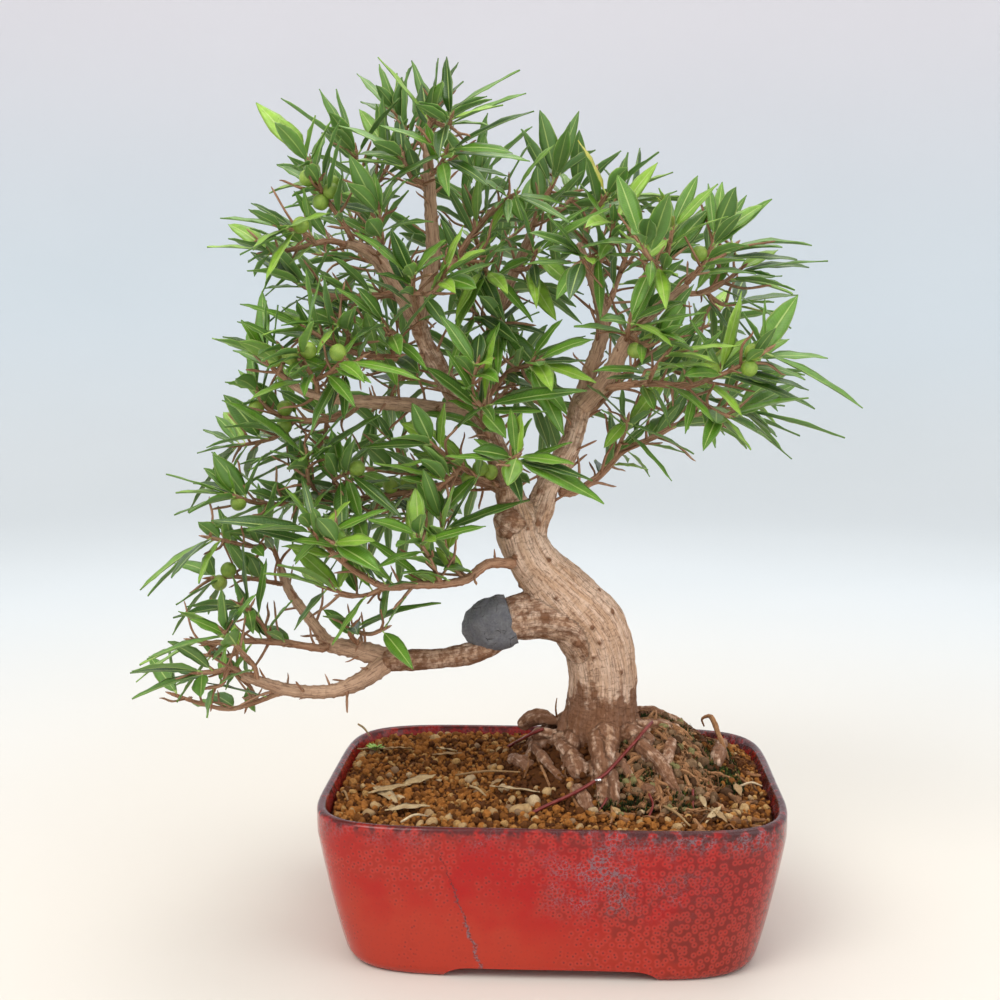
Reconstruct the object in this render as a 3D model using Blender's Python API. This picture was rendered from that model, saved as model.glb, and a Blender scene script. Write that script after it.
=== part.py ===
"""A willow leaf fig grown as a bonsai, standing in its glazed pot.

Lengths are in metres, +Z is up, and the front of the tree faces -Y. The tree's routes are drawn in
its front view: a place is a column and a row of that view, on a grid of 1000 by 1000, with its depth
behind the middle of the pot in millimetres. sight() turns it into metres. Radii and widths beside
them are real sizes in millimetres.

Everything is modelled in the pot's own frame, with its feet on z = 0. Last, one empty carries the
whole model, so that the middle of its footprint stands on the origin.
"""

import math
import random
from dataclasses import dataclass

import bmesh
import bpy
import numpy as np
from mathutils import Vector
from mathutils.bvhtree import BVHTree

MM = 0.001
UP = Vector((0.0, 0.0, 1.0))
MERGE = 0.000002
SHARP_ANGLE = math.radians(35)
GAP = 0.3 * MM

# The front view that the tree is drawn in.
EYE = Vector((-0.0071, -0.6167, 0.2528))
EYE_TURN = math.radians(1.25)
EYE_TILT = math.radians(6.2)
EYE_REACH = 1450.0
EYE_COLUMN = 500.0
EYE_ROW = 495.0

# The pot.
POT_WIDTH = 0.1948
POT_DEPTH = 0.155
POT_HEIGHT = 0.062
POT_CENTRE = Vector((0.0024, 0.0078, 0.0))
POT_TURN = math.radians(-1.8)
POT_SQUARENESS = 5.6
POT_POINTS = 28
FOOT_SCALE = 0.865
FOOT_SCALE_DEEP = 0.960
UPRIGHT_FROM = 0.85
WALL_SWELL = 0.75
WALL = 0.0050
LIP = 0.0036
FOOT_BAND = 0.0095
FOOT_RISE = 0.0050
FLOOR_TOP = 0.0095
ARCH_RISE = 0.0042
ARCH_HALF_FRONT = 0.0425
ARCH_ASIDE = 0.0006
ARCH_HALF_SIDE = 0.030
ARCH_SLOPE = 0.008
DRAIN_RADIUS = 0.0070
DRAIN_X = 0.040

# The screens over the drain holes.
SCREEN_SIDE = 0.024
SCREEN_BAR = 0.0018
SCREEN_THICK = 0.0008
SCREEN_HOLES = 3

# The paste over the sawn limb, from the bark out to its crown: share of the way, and radius.
PASTE_FROM = (511, 618, -5)
PASTE_TO = (462, 633, -7)
PASTE_PROFILE = ((0.0, 0.0094), (0.12, 0.0102), (0.40, 0.0104), (0.62, 0.0095), (0.82, 0.0070), (0.95, 0.0035))
PASTE_SIDES = 14
PASTE_TALL = 1.12

# The soil.
SOIL_LEVEL = 0.0586
SOIL_FLOOR = FLOOR_TOP + SCREEN_THICK + 2 * GAP
SOIL_SPOKES = 28
SOIL_RINGS = 6
GRAIN_RELIEF = 0.0011
STONES = 10

# Wires, blades and fruit.
WIRE_RADIUS = 0.00075
WIRE_SIDES = 4
FALLEN_WIDTH = 0.0066
SOIL_NEAR = -72.0
SOIL_FAR = 45.0
SIGHT_STEP = 0.4
FIG_RADIUS = 0.0034
FIG_SEAT = 0.8
BLADE_THICK = 0.0009
BLADE_REACH = 0.0015
NARROW_LEAF = 0.0066
BROAD_LEAF = 0.0089

# Twigs, and how leaves stand on them.
TWIG_TIP_RADIUS = 0.0008
SIDE_TWIG_RADIUS = 0.00095
NODE_LENGTH = 0.0042
LEAVES_PER_NODE = 3
BUD_LENGTH = 0.0032
SEAT_LEAN = 0.45
SEAT_STEP = 0.0002
BEND_STEP = 0.0008
GOLDEN_TURN = 2.4
LOWEST_LEAF = 0.072
LEAF_GAP = 0.0003
OWN_GAP_CHOSEN = -0.0018
OWN_GAP_RULED = -0.0012
TRIES_CHOSEN = 6

POT_COLOUR = (0.46, 0.050, 0.030)
BARK_COLOUR = (0.36, 0.235, 0.165)
LEAF_COLOUR = (0.085, 0.20, 0.035)
SOIL_COLOUR = (0.20, 0.11, 0.055)
PASTE_COLOUR = (0.16, 0.16, 0.18)
WIRE_COLOUR = (0.20, 0.055, 0.035)
SCREEN_COLOUR = (0.03, 0.03, 0.03)
DRY_COLOUR = (0.42, 0.28, 0.16)


@dataclass(frozen=True)
class Limb:
    """A stretch of trunk, limb or root: places of (column, row, depth, radius)."""

    name: str
    route: tuple
    sides: int = 6


@dataclass(frozen=True)
class Shoot:
    """A twig from its parent out to its leaf cluster.

    leaves counts the leaves that a rule places, and tips lists those whose tips are chosen, each as
    (column, row) or (column, row, width).
    """

    route: tuple
    leaves: int = 3
    tips: tuple = ()


@dataclass(frozen=True)
class Spray:
    """A leafy branch: its first shoot grows from a limb, and the others grow from that shoot."""

    name: str
    limb: str
    shoots: tuple
    radius: float = 1.1
    figs: tuple = ()


@dataclass(frozen=True)
class Hump:
    """A rounded rise in the soil: its middle, how far it reaches each way, and its height."""

    x: float
    y: float
    reach_x: float
    reach_y: float
    height: float


MOUND = (
    Hump(0.028, 0.012, 0.042, 0.042, 0.0205),
    Hump(0.061, 0.014, 0.024, 0.034, 0.0085),
    Hump(0.008, 0.032, 0.018, 0.020, 0.0060),
)


@dataclass(frozen=True)
class Root:
    """A root that runs out from the trunk's foot over the soil: its heading in degrees, and its sizes."""

    heading: float
    reach: float
    radius: float
    swerve: float = 0.0


TREE = (
    Limb("trunk", (
        (600, 812, 12, 18.5), (600, 757, 12, 19.0), (600, 724, 11, 17.4), (602, 690, 10, 15.2),
        (600, 655, 8, 15.0), (589, 622, 4, 14.4), (563, 592, 0, 12.8), (535, 563, -2, 10.6),
        (522, 538, -2, 10.4), (519, 516, -2, 9.4),
    ), 12),
    Limb("stub", (
        (596, 648, 6, 13.0), (574, 622, 1, 12.0), (545, 615, -2, 10.5), (522, 617, -4, 9.8), (508, 619, -5, 9.2),
    ), 9),
    Limb("burr", ((519, 524, -4, 8.0), (504, 520, -8, 6.8), (498, 519, -9, 4.6)), 8),
    Limb("low", (
        (512, 628, -5, 4.4), (497, 642, -6, 4.7), (480, 650, -8, 4.6), (460, 655, -9, 4.4), (437, 658, -10, 4.0),
        (409, 660, -11, 4.3), (384, 660, -12, 4.9),
    ), 8),
    Limb("low_fork", (
        (388, 661, -12, 4.5), (362, 680, -16, 3.7), (337, 690, -20, 2.9), (311, 692, -24, 2.7),
        (285, 689, -26, 2.6), (261, 682, -28, 2.2), (243, 676, -30, 1.9),
    )),
    Limb("high_fork", (
        (388, 658, -11, 4.5), (354, 649, -8, 3.9), (330, 644, -5, 3.2), (318, 630, -3, 2.4),
        (306, 614, 0, 2.2), (290, 592, 2, 2.0), (280, 568, 4, 1.8),
    )),
    Limb("left_stem", (
        (524, 534, -2, 8.6), (512, 506, -2, 6.7), (507, 482, -1, 5.6), (498, 458, 1, 5.2),
        (488, 434, 3, 5.0), (475, 414, 4, 4.8), (456, 397, 5, 4.6), (442, 375, 4, 4.3),
        (428, 348, 2, 4.0), (418, 322, 0, 3.8),
    ), 8),
    Limb("left_arm", (
        (474, 411, 3, 4.0), (448, 411, -1, 3.6), (410, 405, -8, 3.1), (370, 402, -16, 2.6),
        (330, 398, -22, 2.1), (304, 391, -26, 1.8), (286, 380, -29, 1.6),
    )),
    Limb("top_left", (
        (418, 325, 0, 3.6), (406, 303, -1, 3.2), (394, 284, -2, 3.1), (381, 264, -4, 3.0),
        (365, 250, -6, 2.6), (348, 243, -8, 2.1),
    )),
    Limb("leader", (
        (418, 326, 0, 3.8), (427, 288, 4, 3.3), (433, 255, 6, 3.1), (431, 215, 6, 2.7),
        (429, 175, 4, 2.3), (427, 142, 0, 1.8),
    )),
    Limb("mid_stem", (
        (500, 464, 3, 3.6), (488, 425, 12, 3.2), (485, 385, 18, 3.0), (490, 340, 24, 2.8),
        (503, 298, 27, 2.5), (519, 262, 26, 2.2), (531, 234, 22, 1.9),
    )),
    Limb("right_stem", (
        (529, 532, -2, 8.2), (541, 505, -1, 6.0), (549, 485, 0, 5.3), (562, 462, 1, 5.0),
        (572, 440, 2, 4.8), (578, 417, 2, 4.6), (584, 397, 1, 4.5),
    ), 8),
    Limb("right_main", (
        (581, 406, 1, 4.4), (602, 384, -1, 3.8), (614, 366, -3, 3.5), (623, 347, -5, 3.2),
        (633, 331, -7, 2.8), (650, 315, -9, 2.3), (670, 299, -11, 1.9), (687, 286, -13, 1.6),
    )),
    Limb("right_top", (
        (582, 405, 2, 4.2), (589, 374, 5, 3.3), (597, 352, 9, 3.0), (603, 328, 12, 2.7),
        (598, 298, 14, 2.4), (588, 268, 13, 2.0), (579, 244, 11, 1.7),
    )),
)

ROOT_FOOT = Vector((0.0235, 0.0120, 0.0))
ROOT_SHOULDER = 0.0880
ROOT_SIDES = 5
ROOT_START = 0.008
# Along each root: share of its reach, share of its radius, and how many radii it lies sunk in the soil.
ROOT_PROFILE = ((0.42, 0.95, -0.30), (0.62, 0.82, -0.10), (0.82, 0.64, 0.40), (1.0, 0.45, 2.8))
ROOTS = (
    Root(-90, 0.044, 0.0066, 0.002),
    Root(-128, 0.034, 0.0050, -0.004),
    Root(-165, 0.036, 0.0046, 0.005),
    Root(160, 0.038, 0.0040, -0.004),
    Root(112, 0.036, 0.0048, 0.003),
    Root(60, 0.040, 0.0042, -0.003),
    Root(20, 0.046, 0.0048, 0.006),
    Root(-14, 0.042, 0.0044, -0.006),
    Root(-52, 0.040, 0.0050, 0.004),
)

SPRAYS = (
    # The low branch on the left, from the wound out to its tips.
    Spray("spray_low_tip", "low_fork", (
        Shoot(((232, 668, -32), (214, 672, -34), (197, 673, -36)), 2, ((130, 673), (132, 699), (201, 697, 9))),
        Shoot(((222, 684, -30), (208, 688, -29)), 2, ((207, 718), (226, 648))),
    )),
    Spray("spray_low_under", "low_fork", (
        Shoot(((272, 696, -16), (248, 705, -12), (226, 709, -9), (199, 703, -7), (172, 694, -5)), 3, ()),
        Shoot(((252, 690, -6), (246, 680, -2)), 2, ((255, 712),)),
    ), 1.2),
    Spray("spray_low_front", "low_fork", (
        Shoot(((254, 666, -38), (240, 650, -44), (223, 631, -48)), 2, ((190, 619), (256, 594), (212, 660))),
    )),
    Spray("spray_mat", "high_fork", (
        Shoot(((318, 648, -12), (285, 643, -17), (250, 641, -20), (214, 643, -23), (191, 640, -25)), 3, ()),
        Shoot(((262, 624, -22), (248, 610, -26), (236, 603, -28)), 3, ((173, 618),)),
        Shoot(((232, 655, -14), (206, 655, -12)), 3, ()),
    ), 1.9),
    Spray("spray_high_side", "high_fork", (
        Shoot(((270, 582, -3), (240, 577, -7), (210, 578, -10)), 3, ((207, 553),)),
    ), 1.1, ((221, 581), (227, 573))),
    Spray("spray_high_tip", "high_fork", (
        Shoot(((274, 550, 2), (266, 536, 0)), 3, ()),
        Shoot(((250, 546, -8), (226, 541, -14), (206, 537, -18)), 3, ((140, 590, 8.5), (198, 522))),
    )),
    Spray("spray_high_low", "high_fork", (
        Shoot(((350, 634, -16), (355, 624, -20)), 1, ((323, 616, 7), (441, 603, 6), (407, 609, 5))),
        Shoot(((370, 634, -24), (386, 628, -28)), 2, ()),
    )),
    # The thin branch that comes forward from under the fork.
    Spray("spray_front_left", "trunk", (
        Shoot(((488, 564, -20), (467, 579, -25), (443, 584, -30), (414, 585, -34), (386, 587, -37),
               (362, 575, -39), (344, 563, -41), (325, 545, -43), (309, 528, -46)),
              1, ((211, 521, 9.5), (295, 564, 8), (285, 488, 9), (350, 501, 7), (388, 509, 7))),
        Shoot(((344, 550, -50), (330, 541, -54)), 1, ((381, 572, 9), (375, 541, 7.5))),
        Shoot(((360, 596, -32), (322, 587, -29)), 2, ((294, 630, 8), (350, 566, 8))),
        Shoot(((431, 562, -36), (420, 542, -40), (417, 531, -42)), 3, ((486, 526), (368, 520))),
        Shoot(((448, 556, -26), (440, 516, -26)), 2, ((530, 500, 8), (416, 478))),
    ), 2.2),
    # The middle of the left side.
    Spray("spray_left_mid", "left_stem", (
        Shoot(((470, 480, 10), (430, 488, 14), (390, 495, 12), (345, 500, 8), (300, 503, 2),
               (262, 504, -6), (231, 495, -14)),
              2, ((214, 452, 9), (262, 456, 8), (166, 474, 6), (174, 515, 7.5))),
        Shoot(((309, 480, -8), (308, 463, -14), (307, 453, -18)), 1, ((222, 400, 9.5), (382, 414, 7), (270, 451, 6.5))),
        Shoot(((334, 482, -12), (350, 472, -20)), 2, ((332, 430, 10), (362, 522))),
        Shoot(((372, 512, 2), (352, 520, -8)), 4, ()),
        Shoot(((425, 505, 26), (405, 520, 34)), 4, ()),
    ), 1.8, ((238, 503), (377, 457), (392, 452), (401, 457))),
    Spray("spray_centre_left", "left_stem", (
        Shoot(((478, 477, -14), (453, 461, -22), (428, 441, -28)), 1, ((412, 403, 8), (362, 448, 7), (445, 403, 7))),
        Shoot(((448, 480, -28), (434, 492, -32)), 3, ((400, 478),)),
    ), 1.4, ((482, 461), (491, 466), (502, 464), (473, 478))),
    Spray("spray_centre_front", "left_stem", (
        Shoot(((506, 466, -20), (513, 459, -32), (519, 455, -38)), 0,
              ((473, 451, 10), (522, 413, 10), (508, 486, 9), (574, 464, 8), (604, 504, 11))),
    )),
    Spray("spray_centre_up", "left_stem", (
        Shoot(((483, 424, -14), (483, 411, -22), (484, 403, -27)), 1,
              ((423, 366, 8), (587, 391, 8.5), (547, 412, 6), (506, 438, 8), (452, 432))),
        Shoot(((472, 392, -24), (478, 362, -28)), 3, ((440, 315, 7), (500, 322))),
    )),
    Spray("spray_centre_high", "mid_stem", (
        Shoot(((508, 372, 2), (526, 366, -10), (540, 361, -17)), 2, ((596, 383, 7.5), (557, 384, 8), (564, 436, 9))),
    )),
    # The long arm on the left and the branches under and over it.
    Spray("spray_arm_tip", "left_arm", (
        Shoot(((273, 368, -32), (262, 353, -34)), 2, ((212, 338, 6), (241, 320, 6))),
        Shoot(((286, 356, -38), (280, 346, -42)), 2, ((338, 359, 6.5),)),
    ), 1.2, ((274, 359), (290, 350))),
    Spray("spray_arm_side", "left_arm", (
        Shoot(((316, 382, -32), (306, 366, -38), (300, 352, -42)), 3, ()),
        Shoot(((330, 372, -40), (342, 360, -46)), 3, ()),
    ), 1.1, ((314, 349), (330, 338))),
    Spray("spray_arm_low", "left_arm", (
        Shoot(((342, 416, -10), (312, 421, -6), (284, 417, -3), (264, 405, -4), (255, 386, -8)), 2,
              ((225, 382, 6), (238, 408))),
        Shoot(((278, 436, 3), (254, 443, 6), (232, 446, 8)), 2, ((203, 430, 5), (197, 453, 5))),
        Shoot(((322, 442, 4), (300, 462, 8)), 4, ()),
    ), 1.8, ((286, 399), (263, 404), (293, 395))),
    Spray("spray_high_arm", "left_stem", (
        Shoot(((406, 358, -5), (381, 357, -12), (354, 352, -18), (328, 341, -24), (306, 328, -29)), 3,
              ((240, 304, 5), (296, 300))),
        Shoot(((348, 334, -26), (336, 321, -30)), 3, ()),
        Shoot(((352, 368, -26), (336, 376, -30)), 3, ()),
        Shoot(((392, 338, -20), (384, 322, -28)), 3, ()),
    ), 1.8),
    Spray("spray_high_left", "top_left", (
        Shoot(((376, 296, -8), (340, 297, -11), (314, 291, -13), (297, 283, -15)), 2,
              ((265, 288, 6), (271, 266, 5), (331, 246, 5.5))),
        Shoot(((346, 316, -2), (330, 326, 2)), 4, ()),
    ), 1.6),
    # The crown's top left.
    Spray("spray_top_left_tip", "top_left", (
        Shoot(((328, 241, -11), (302, 247, -15), (280, 252, -18), (264, 253, -20)), 2,
              ((207, 247, 6), (254, 276, 6))),
        Shoot(((306, 234, -22), (280, 227, -28)), 2, ((220, 218, 6), (251, 203, 4.5), (330, 213))),
    ), 1.4, ((297, 228),)),
    Spray("spray_top_left_high", "top_left", (
        Shoot(((346, 228, -14), (330, 204, -18), (316, 184, -20)), 2, ((277, 165, 6.5), (292, 196, 8))),
        Shoot(((310, 166, -26), (301, 150, -26)), 1, ((256, 103, 8.5), (278, 118, 8), (331, 121, 5))),
    ), 1.3, ((322, 197), (307, 178), (335, 190))),
    Spray("spray_top_left_mid", "top_left", (
        Shoot(((382, 240, -12), (380, 222, -16), (379, 209, -18)), 3, ((332, 204, 5), (366, 162, 7))),
    )),
    Spray("spray_top_left_back", "top_left", (
        Shoot(((378, 232, 10), (366, 195, 15), (358, 168, 14), (356, 150, 12)), 2,
              ((281, 98, 6), (319, 89, 6), (336, 89, 6))),
        Shoot(((352, 210, 26), (330, 190, 34)), 4, ()),
        Shoot(((385, 172, 26), (392, 152, 32)), 4, ()),
    ), 1.4, ((361, 186), (357, 201), (336, 173))),
    Spray("spray_knob", "left_stem", (
        Shoot(((414, 302, -14), (413, 286, -20), (414, 273, -24)), 1, ((391, 229, 7), (446, 240, 9), (376, 273, 6))),
        Shoot(((432, 292, -22), (448, 270, -26)), 3, ((497, 262),)),
    ), 1.2),
    # The apex.
    Spray("spray_apex", "leader", (
        Shoot(((430, 122, -3), (437, 109, -6)), 2, ((438, 58, 7.5), (449, 76, 8), (378, 57, 5.5), (520, 70, 6.5))),
        Shoot(((447, 126, -10), (452, 116, -15)), 2, ((526, 93, 6), (503, 105, 5.5))),
    ), 1.3),
    Spray("spray_apex_front", "leader", (
        Shoot(((438, 168, -8), (444, 158, -14), (447, 149, -18)), 1,
              ((534, 111, 6.5), (379, 126, 6.5), (383, 184, 8), (530, 161, 7), (415, 103, 9))),
    )),
    Spray("spray_apex_left", "leader", (
        Shoot(((412, 178, -6), (405, 164, -10), (402, 152, -12)), 2, ((359, 154, 6), (311, 140, 6), (337, 125, 7))),
    )),
    Spray("spray_apex_back", "leader", (
        Shoot(((416, 178, 18), (404, 135, 28), (396, 106, 28)), 2, ((379, 64, 5), (376, 85, 5), (402, 77, 9))),
        Shoot(((430, 135, 36), (440, 116, 40)), 3, ((487, 96),)),
    ), 1.2),
    Spray("spray_leader_right", "leader", (
        Shoot(((452, 264, 10), (470, 238, 13), (490, 213, 9), (506, 200, 4), (517, 193, -3)), 1,
              ((522, 221, 7), (487, 238, 8), (477, 178), (566, 205))),
        Shoot(((480, 262, -2), (488, 277, -9)), 4, ()),
        Shoot(((478, 200, 22), (480, 176, 28)), 4, ()),
    ), 1.7),
    # The crown's middle and right.
    Spray("spray_mid_top", "mid_stem", (
        Shoot(((540, 206, 21), (552, 186, 22), (558, 172, 22)), 1, ((540, 110, 9), (579, 111, 7), (521, 129, 7))),
        Shoot(((560, 208, 32), (580, 190, 40)), 4, ()),
    ), 1.3),
    Spray("spray_mid_front", "mid_stem", (
        Shoot(((528, 268, 10), (533, 260, 2), (536, 252, -5)), 2, ((611, 208, 7), (497, 276, 8), (577, 290, 8))),
    )),
    Spray("spray_mid_centre", "mid_stem", (
        Shoot(((494, 328, 10), (503, 322, -2)), 4, ((530, 300), (548, 336))),
        Shoot(((480, 318, 4), (471, 309, -4)), 4, ()),
    )),
    Spray("spray_right_top_tip", "right_top", (
        Shoot(((588, 222, 9), (602, 202, 6), (610, 191, 4)), 1, ((659, 152, 8.5), (578, 140, 7), (673, 172, 8))),
        Shoot(((612, 212, 18), (634, 196, 26)), 4, ()),
    ), 1.2),
    Spray("spray_right_top_side", "right_top", (
        Shoot(((606, 254, 2), (612, 232, -6), (614, 218, -9)), 2, ((580, 183, 4.5), (652, 228, 7))),
        Shoot(((592, 256, -10), (577, 264, -16)), 3, ((556, 300, 7),)),
    ), 1.1),
    Spray("spray_right_main_tip", "right_main", (
        Shoot(((702, 266, -16), (712, 246, -18), (716, 233, -19)), 1, ((763, 205, 8), (772, 199, 6), (736, 187, 9))),
        Shoot(((722, 256, -8), (736, 244, -2)), 3, ()),
    ), 1.2, ((691, 252),)),
    Spray("spray_right_main_mid", "right_main", (
        Shoot(((660, 282, -18), (669, 248, -22), (673, 224, -24)), 1, ((657, 197, 10), (718, 184, 6), (640, 262, 8))),
        Shoot(((650, 258, -30), (640, 240, -36)), 3, ()),
    ), 1.2),
    Spray("spray_right_main_side", "right_main", (
        Shoot(((706, 292, -4), (726, 281, -3), (742, 268, -4)), 1, ((828, 261, 4), (775, 276, 6), (778, 250, 6))),
        Shoot(((722, 304, 4), (738, 304, 8)), 2, ((798, 295, 5.5), (785, 318, 5.5))),
    ), 1.2),
    Spray("spray_right_up", "right_main", (
        Shoot(((628, 332, -20), (630, 318, -26)), 2, ((684, 301, 7), (600, 320, 8))),
        Shoot(((646, 346, -22), (664, 338, -28)), 3, ()),
    ), 1.1, ((634, 359),)),
    Spray("spray_right_arm", "right_stem", (
        Shoot(((612, 388, -6), (636, 384, -11), (663, 384, -16), (689, 386, -20), (715, 377, -27),
               (736, 368, -30)), 0, ((690, 320, 7.5), (809, 390, 7.5), (815, 409, 7), (684, 376, 8))),
        Shoot(((752, 360, -32), (769, 349, -34)), 0,
              ((798, 295, 9.5), (743, 313, 9), (791, 335, 11), (863, 408, 8), (828, 358, 7))),
        Shoot(((704, 404, -20), (722, 414, -24), (734, 418, -25)), 2, ((751, 450, 4.5), (757, 431, 7))),
        Shoot(((655, 368, -26), (668, 352, -32)), 3, ()),
    ), 1.8, ((756, 353), (750, 363), (753, 375), (704, 351))),
    Spray("spray_right_low", "right_stem", (
        Shoot(((574, 492, 5), (598, 477, 11), (622, 452, 19), (652, 438, 25), (680, 423, 30),
               (706, 412, 34), (742, 407, 32)),
              2, ((845, 438, 6.5), (800, 436, 5.5), (792, 459, 4.5), (782, 450, 5))),
        Shoot(((624, 434, 8), (628, 418, 4)), 1, ((694, 454, 8), (672, 481, 7), (604, 448, 6))),
        Shoot(((668, 408, 38), (690, 390, 46)), 4, ()),
        Shoot(((730, 392, 44), (752, 378, 50)), 4, ()),
    ), 1.9),
    # The back of the crown.
    Spray("spray_back_left", "left_stem", (
        Shoot(((462, 392, 22), (430, 384, 36), (390, 372, 48), (350, 360, 57), (322, 350, 62)), 3, ()),
        Shoot(((408, 350, 54), (396, 318, 62)), 3, ()),
        Shoot(((392, 396, 58), (370, 412, 64)), 3, ()),
        Shoot(((352, 340, 64), (338, 318, 70)), 3, ()),
    ), 1.9),
    Spray("spray_back_right", "right_stem", (
        Shoot(((598, 404, 18), (624, 376, 36), (654, 352, 48), (684, 336, 57), (712, 324, 62)), 3, ()),
        Shoot(((640, 338, 56), (650, 306, 64)), 3, ()),
        Shoot(((668, 368, 58), (690, 376, 64)), 3, ()),
    ), 1.9),
    Spray("spray_back_high", "mid_stem", (
        Shoot(((492, 300, 44), (482, 258, 56), (470, 222, 62), (462, 196, 64)), 3, ()),
        Shoot(((458, 262, 62), (430, 246, 68)), 3, ()),
        Shoot(((508, 240, 66), (528, 222, 72)), 3, ()),
        Shoot(((506, 290, 60), (532, 280, 68)), 3, ()),
    ), 1.8),
    Spray("spray_back_top_right", "right_top", (
        Shoot(((612, 296, 32), (624, 262, 46), (632, 238, 54)), 3, ()),
        Shoot(((650, 266, 54), (676, 250, 60)), 3, ()),
        Shoot(((598, 258, 52), (584, 236, 60)), 3, ()),
    ), 1.5),
    Spray("spray_back_low_left", "left_stem", (
        Shoot(((484, 484, 22), (450, 478, 36), (405, 473, 46), (362, 468, 52), (334, 462, 54)), 3, ()),
        Shoot(((396, 446, 56), (380, 430, 62)), 3, ()),
        Shoot(((410, 500, 56), (386, 512, 62)), 3, ()),
    ), 1.7),
    Spray("spray_back_centre", "mid_stem", (
        Shoot(((500, 398, 34), (512, 380, 50), (520, 362, 60)), 3, ()),
        Shoot(((530, 398, 56), (548, 410, 64)), 3, ()),
        Shoot(((484, 372, 58), (466, 362, 66)), 3, ()),
    ), 1.4),
    Spray("spray_back_top_left", "top_left", (
        Shoot(((392, 272, 24), (372, 262, 40), (346, 256, 48), (318, 254, 52)), 3, ()),
        Shoot(((360, 236, 52), (350, 214, 58)), 3, ()),
        Shoot(((384, 290, 46), (376, 300, 54)), 3, ()),
    ), 1.4),
)

# The crown's outline in the front view: leaves that a rule places stay inside it.
CROWN = (
    (375, 58), (438, 55), (520, 68), (536, 108), (580, 108), (600, 140), (640, 143), (676, 170), (738, 184),
    (764, 200), (828, 258), (800, 292), (865, 408), (845, 440), (793, 462), (752, 455), (695, 456), (672, 483),
    (606, 507), (576, 560), (442, 606), (407, 612), (420, 678), (345, 715), (208, 718), (132, 700), (128, 672),
    (188, 620), (138, 592), (195, 540), (165, 474), (196, 452), (203, 430), (222, 400), (212, 338), (240, 305),
    (265, 288), (207, 247), (220, 218), (251, 200), (275, 160), (255, 103), (281, 97), (319, 88),
)

# Along each wire: column and row of the front view, and how high it passes over the soil there.
WIRES = (
    ("tie_wire_front", ((652, 722, 1.6), (644, 731, 1.8), (634, 743, 1.8), (624, 754, 1.8), (614, 765, 1.8),
                        (604, 775, 1.8), (590, 784, 1.8), (578, 791, 1.6), (566, 797, 1.5), (546, 806, 1.0),
                        (526, 816, -1.2))),
    ("tie_wire_back", ((508, 747, -0.6), (515, 743, 1.4), (524, 738, 1.6), (533, 733, 1.6), (543, 729, 1.6))),
)

# Each leaf that lies on the soil: where its stalk and its tip show, and how far its grains hold it up.
FALLEN_LEAVES = (
    ("fallen_leaf_left", (372, 786), (398, 806), 0.0009),
    ("fallen_leaf_front", (386, 817), (430, 812), 0.0025),
    ("fallen_leaf_middle", (402, 792), (436, 781), 0.0025),
)


def sight(column, row, depth):
    """The point in metres that shows at this column and row of the front view, at this depth."""
    turn = Vector((math.cos(EYE_TURN), math.sin(EYE_TURN), 0.0))
    level = Vector((-math.sin(EYE_TURN), math.cos(EYE_TURN), 0.0))
    ahead = level * math.cos(EYE_TILT) - UP * math.sin(EYE_TILT)
    above = level * math.sin(EYE_TILT) + UP * math.cos(EYE_TILT)
    ray = ahead + turn * (column - EYE_COLUMN) / EYE_REACH + above * (EYE_ROW - row) / EYE_REACH
    return EYE + ray * (depth * MM - EYE.y) / ray.y


def seen_at(point):
    """The column and row of the front view where a point shows."""
    turn = Vector((math.cos(EYE_TURN), math.sin(EYE_TURN), 0.0))
    level = Vector((-math.sin(EYE_TURN), math.cos(EYE_TURN), 0.0))
    ahead = level * math.cos(EYE_TILT) - UP * math.sin(EYE_TILT)
    above = level * math.sin(EYE_TILT) + UP * math.cos(EYE_TILT)
    offset = point - EYE
    scale = EYE_REACH / offset.dot(ahead)
    return EYE_COLUMN + offset.dot(turn) * scale, EYE_ROW - offset.dot(above) * scale


def in_crown(point):
    """Whether a point shows inside the crown's outline in the front view."""
    column, row = seen_at(point)
    inside = False
    for (x0, y0), (x1, y1) in zip(CROWN, CROWN[1:] + CROWN[:1]):
        if (y0 > row) != (y1 > row) and column < x0 + (x1 - x0) * (row - y0) / (y1 - y0):
            inside = not inside
    return inside


def smooth(knots, steps):
    """Points on a Catmull-Rom curve through rows of numbers, steps of them to each span."""
    knots = np.asarray(knots, float)
    ends = np.vstack([2 * knots[0] - knots[1], knots, 2 * knots[-1] - knots[-2]])
    rows = []
    for a, b, c, d in zip(ends, ends[1:], ends[2:], ends[3:]):
        for step in range(steps):
            t = step / steps
            bend = 2 * a - 5 * b + 4 * c - d
            rows.append(b + 0.5 * t * ((c - a) + t * (bend + t * (3 * b - a - 3 * c + d))))
    rows.append(knots[-1])
    return np.array(rows)


class Axis:
    """The middle line of a round stem, with its radius at each point."""

    def __init__(self, rows):
        self.points = [Vector(row[:3]) for row in rows]
        self.radii = [float(row[3]) for row in rows]
        self.along = [0.0]
        for a, b in zip(self.points, self.points[1:]):
            self.along.append(self.along[-1] + (b - a).length)

    @property
    def length(self):
        return self.along[-1]

    def at(self, distance):
        """The point, direction and radius at this distance from the start."""
        distance = min(max(distance, 0.0), self.length)
        i = 0
        while i < len(self.along) - 2 and self.along[i + 1] < distance:
            i += 1
        span = self.points[i + 1] - self.points[i]
        t = (distance - self.along[i]) / max(span.length, 1e-9)
        radius = self.radii[i] + (self.radii[i + 1] - self.radii[i]) * t
        return self.points[i] + span * t, span.normalized(), radius

    def nearest(self, target):
        """How far along the axis lies its nearest point to the target."""
        best = (math.inf, 0.0)
        for a, b, start in zip(self.points, self.points[1:], self.along):
            span = b - a
            t = min(max((target - a).dot(span) / span.length_squared, 0.0), 1.0)
            best = min(best, ((a + span * t - target).length, start + t * span.length))
        return best[1]


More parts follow.
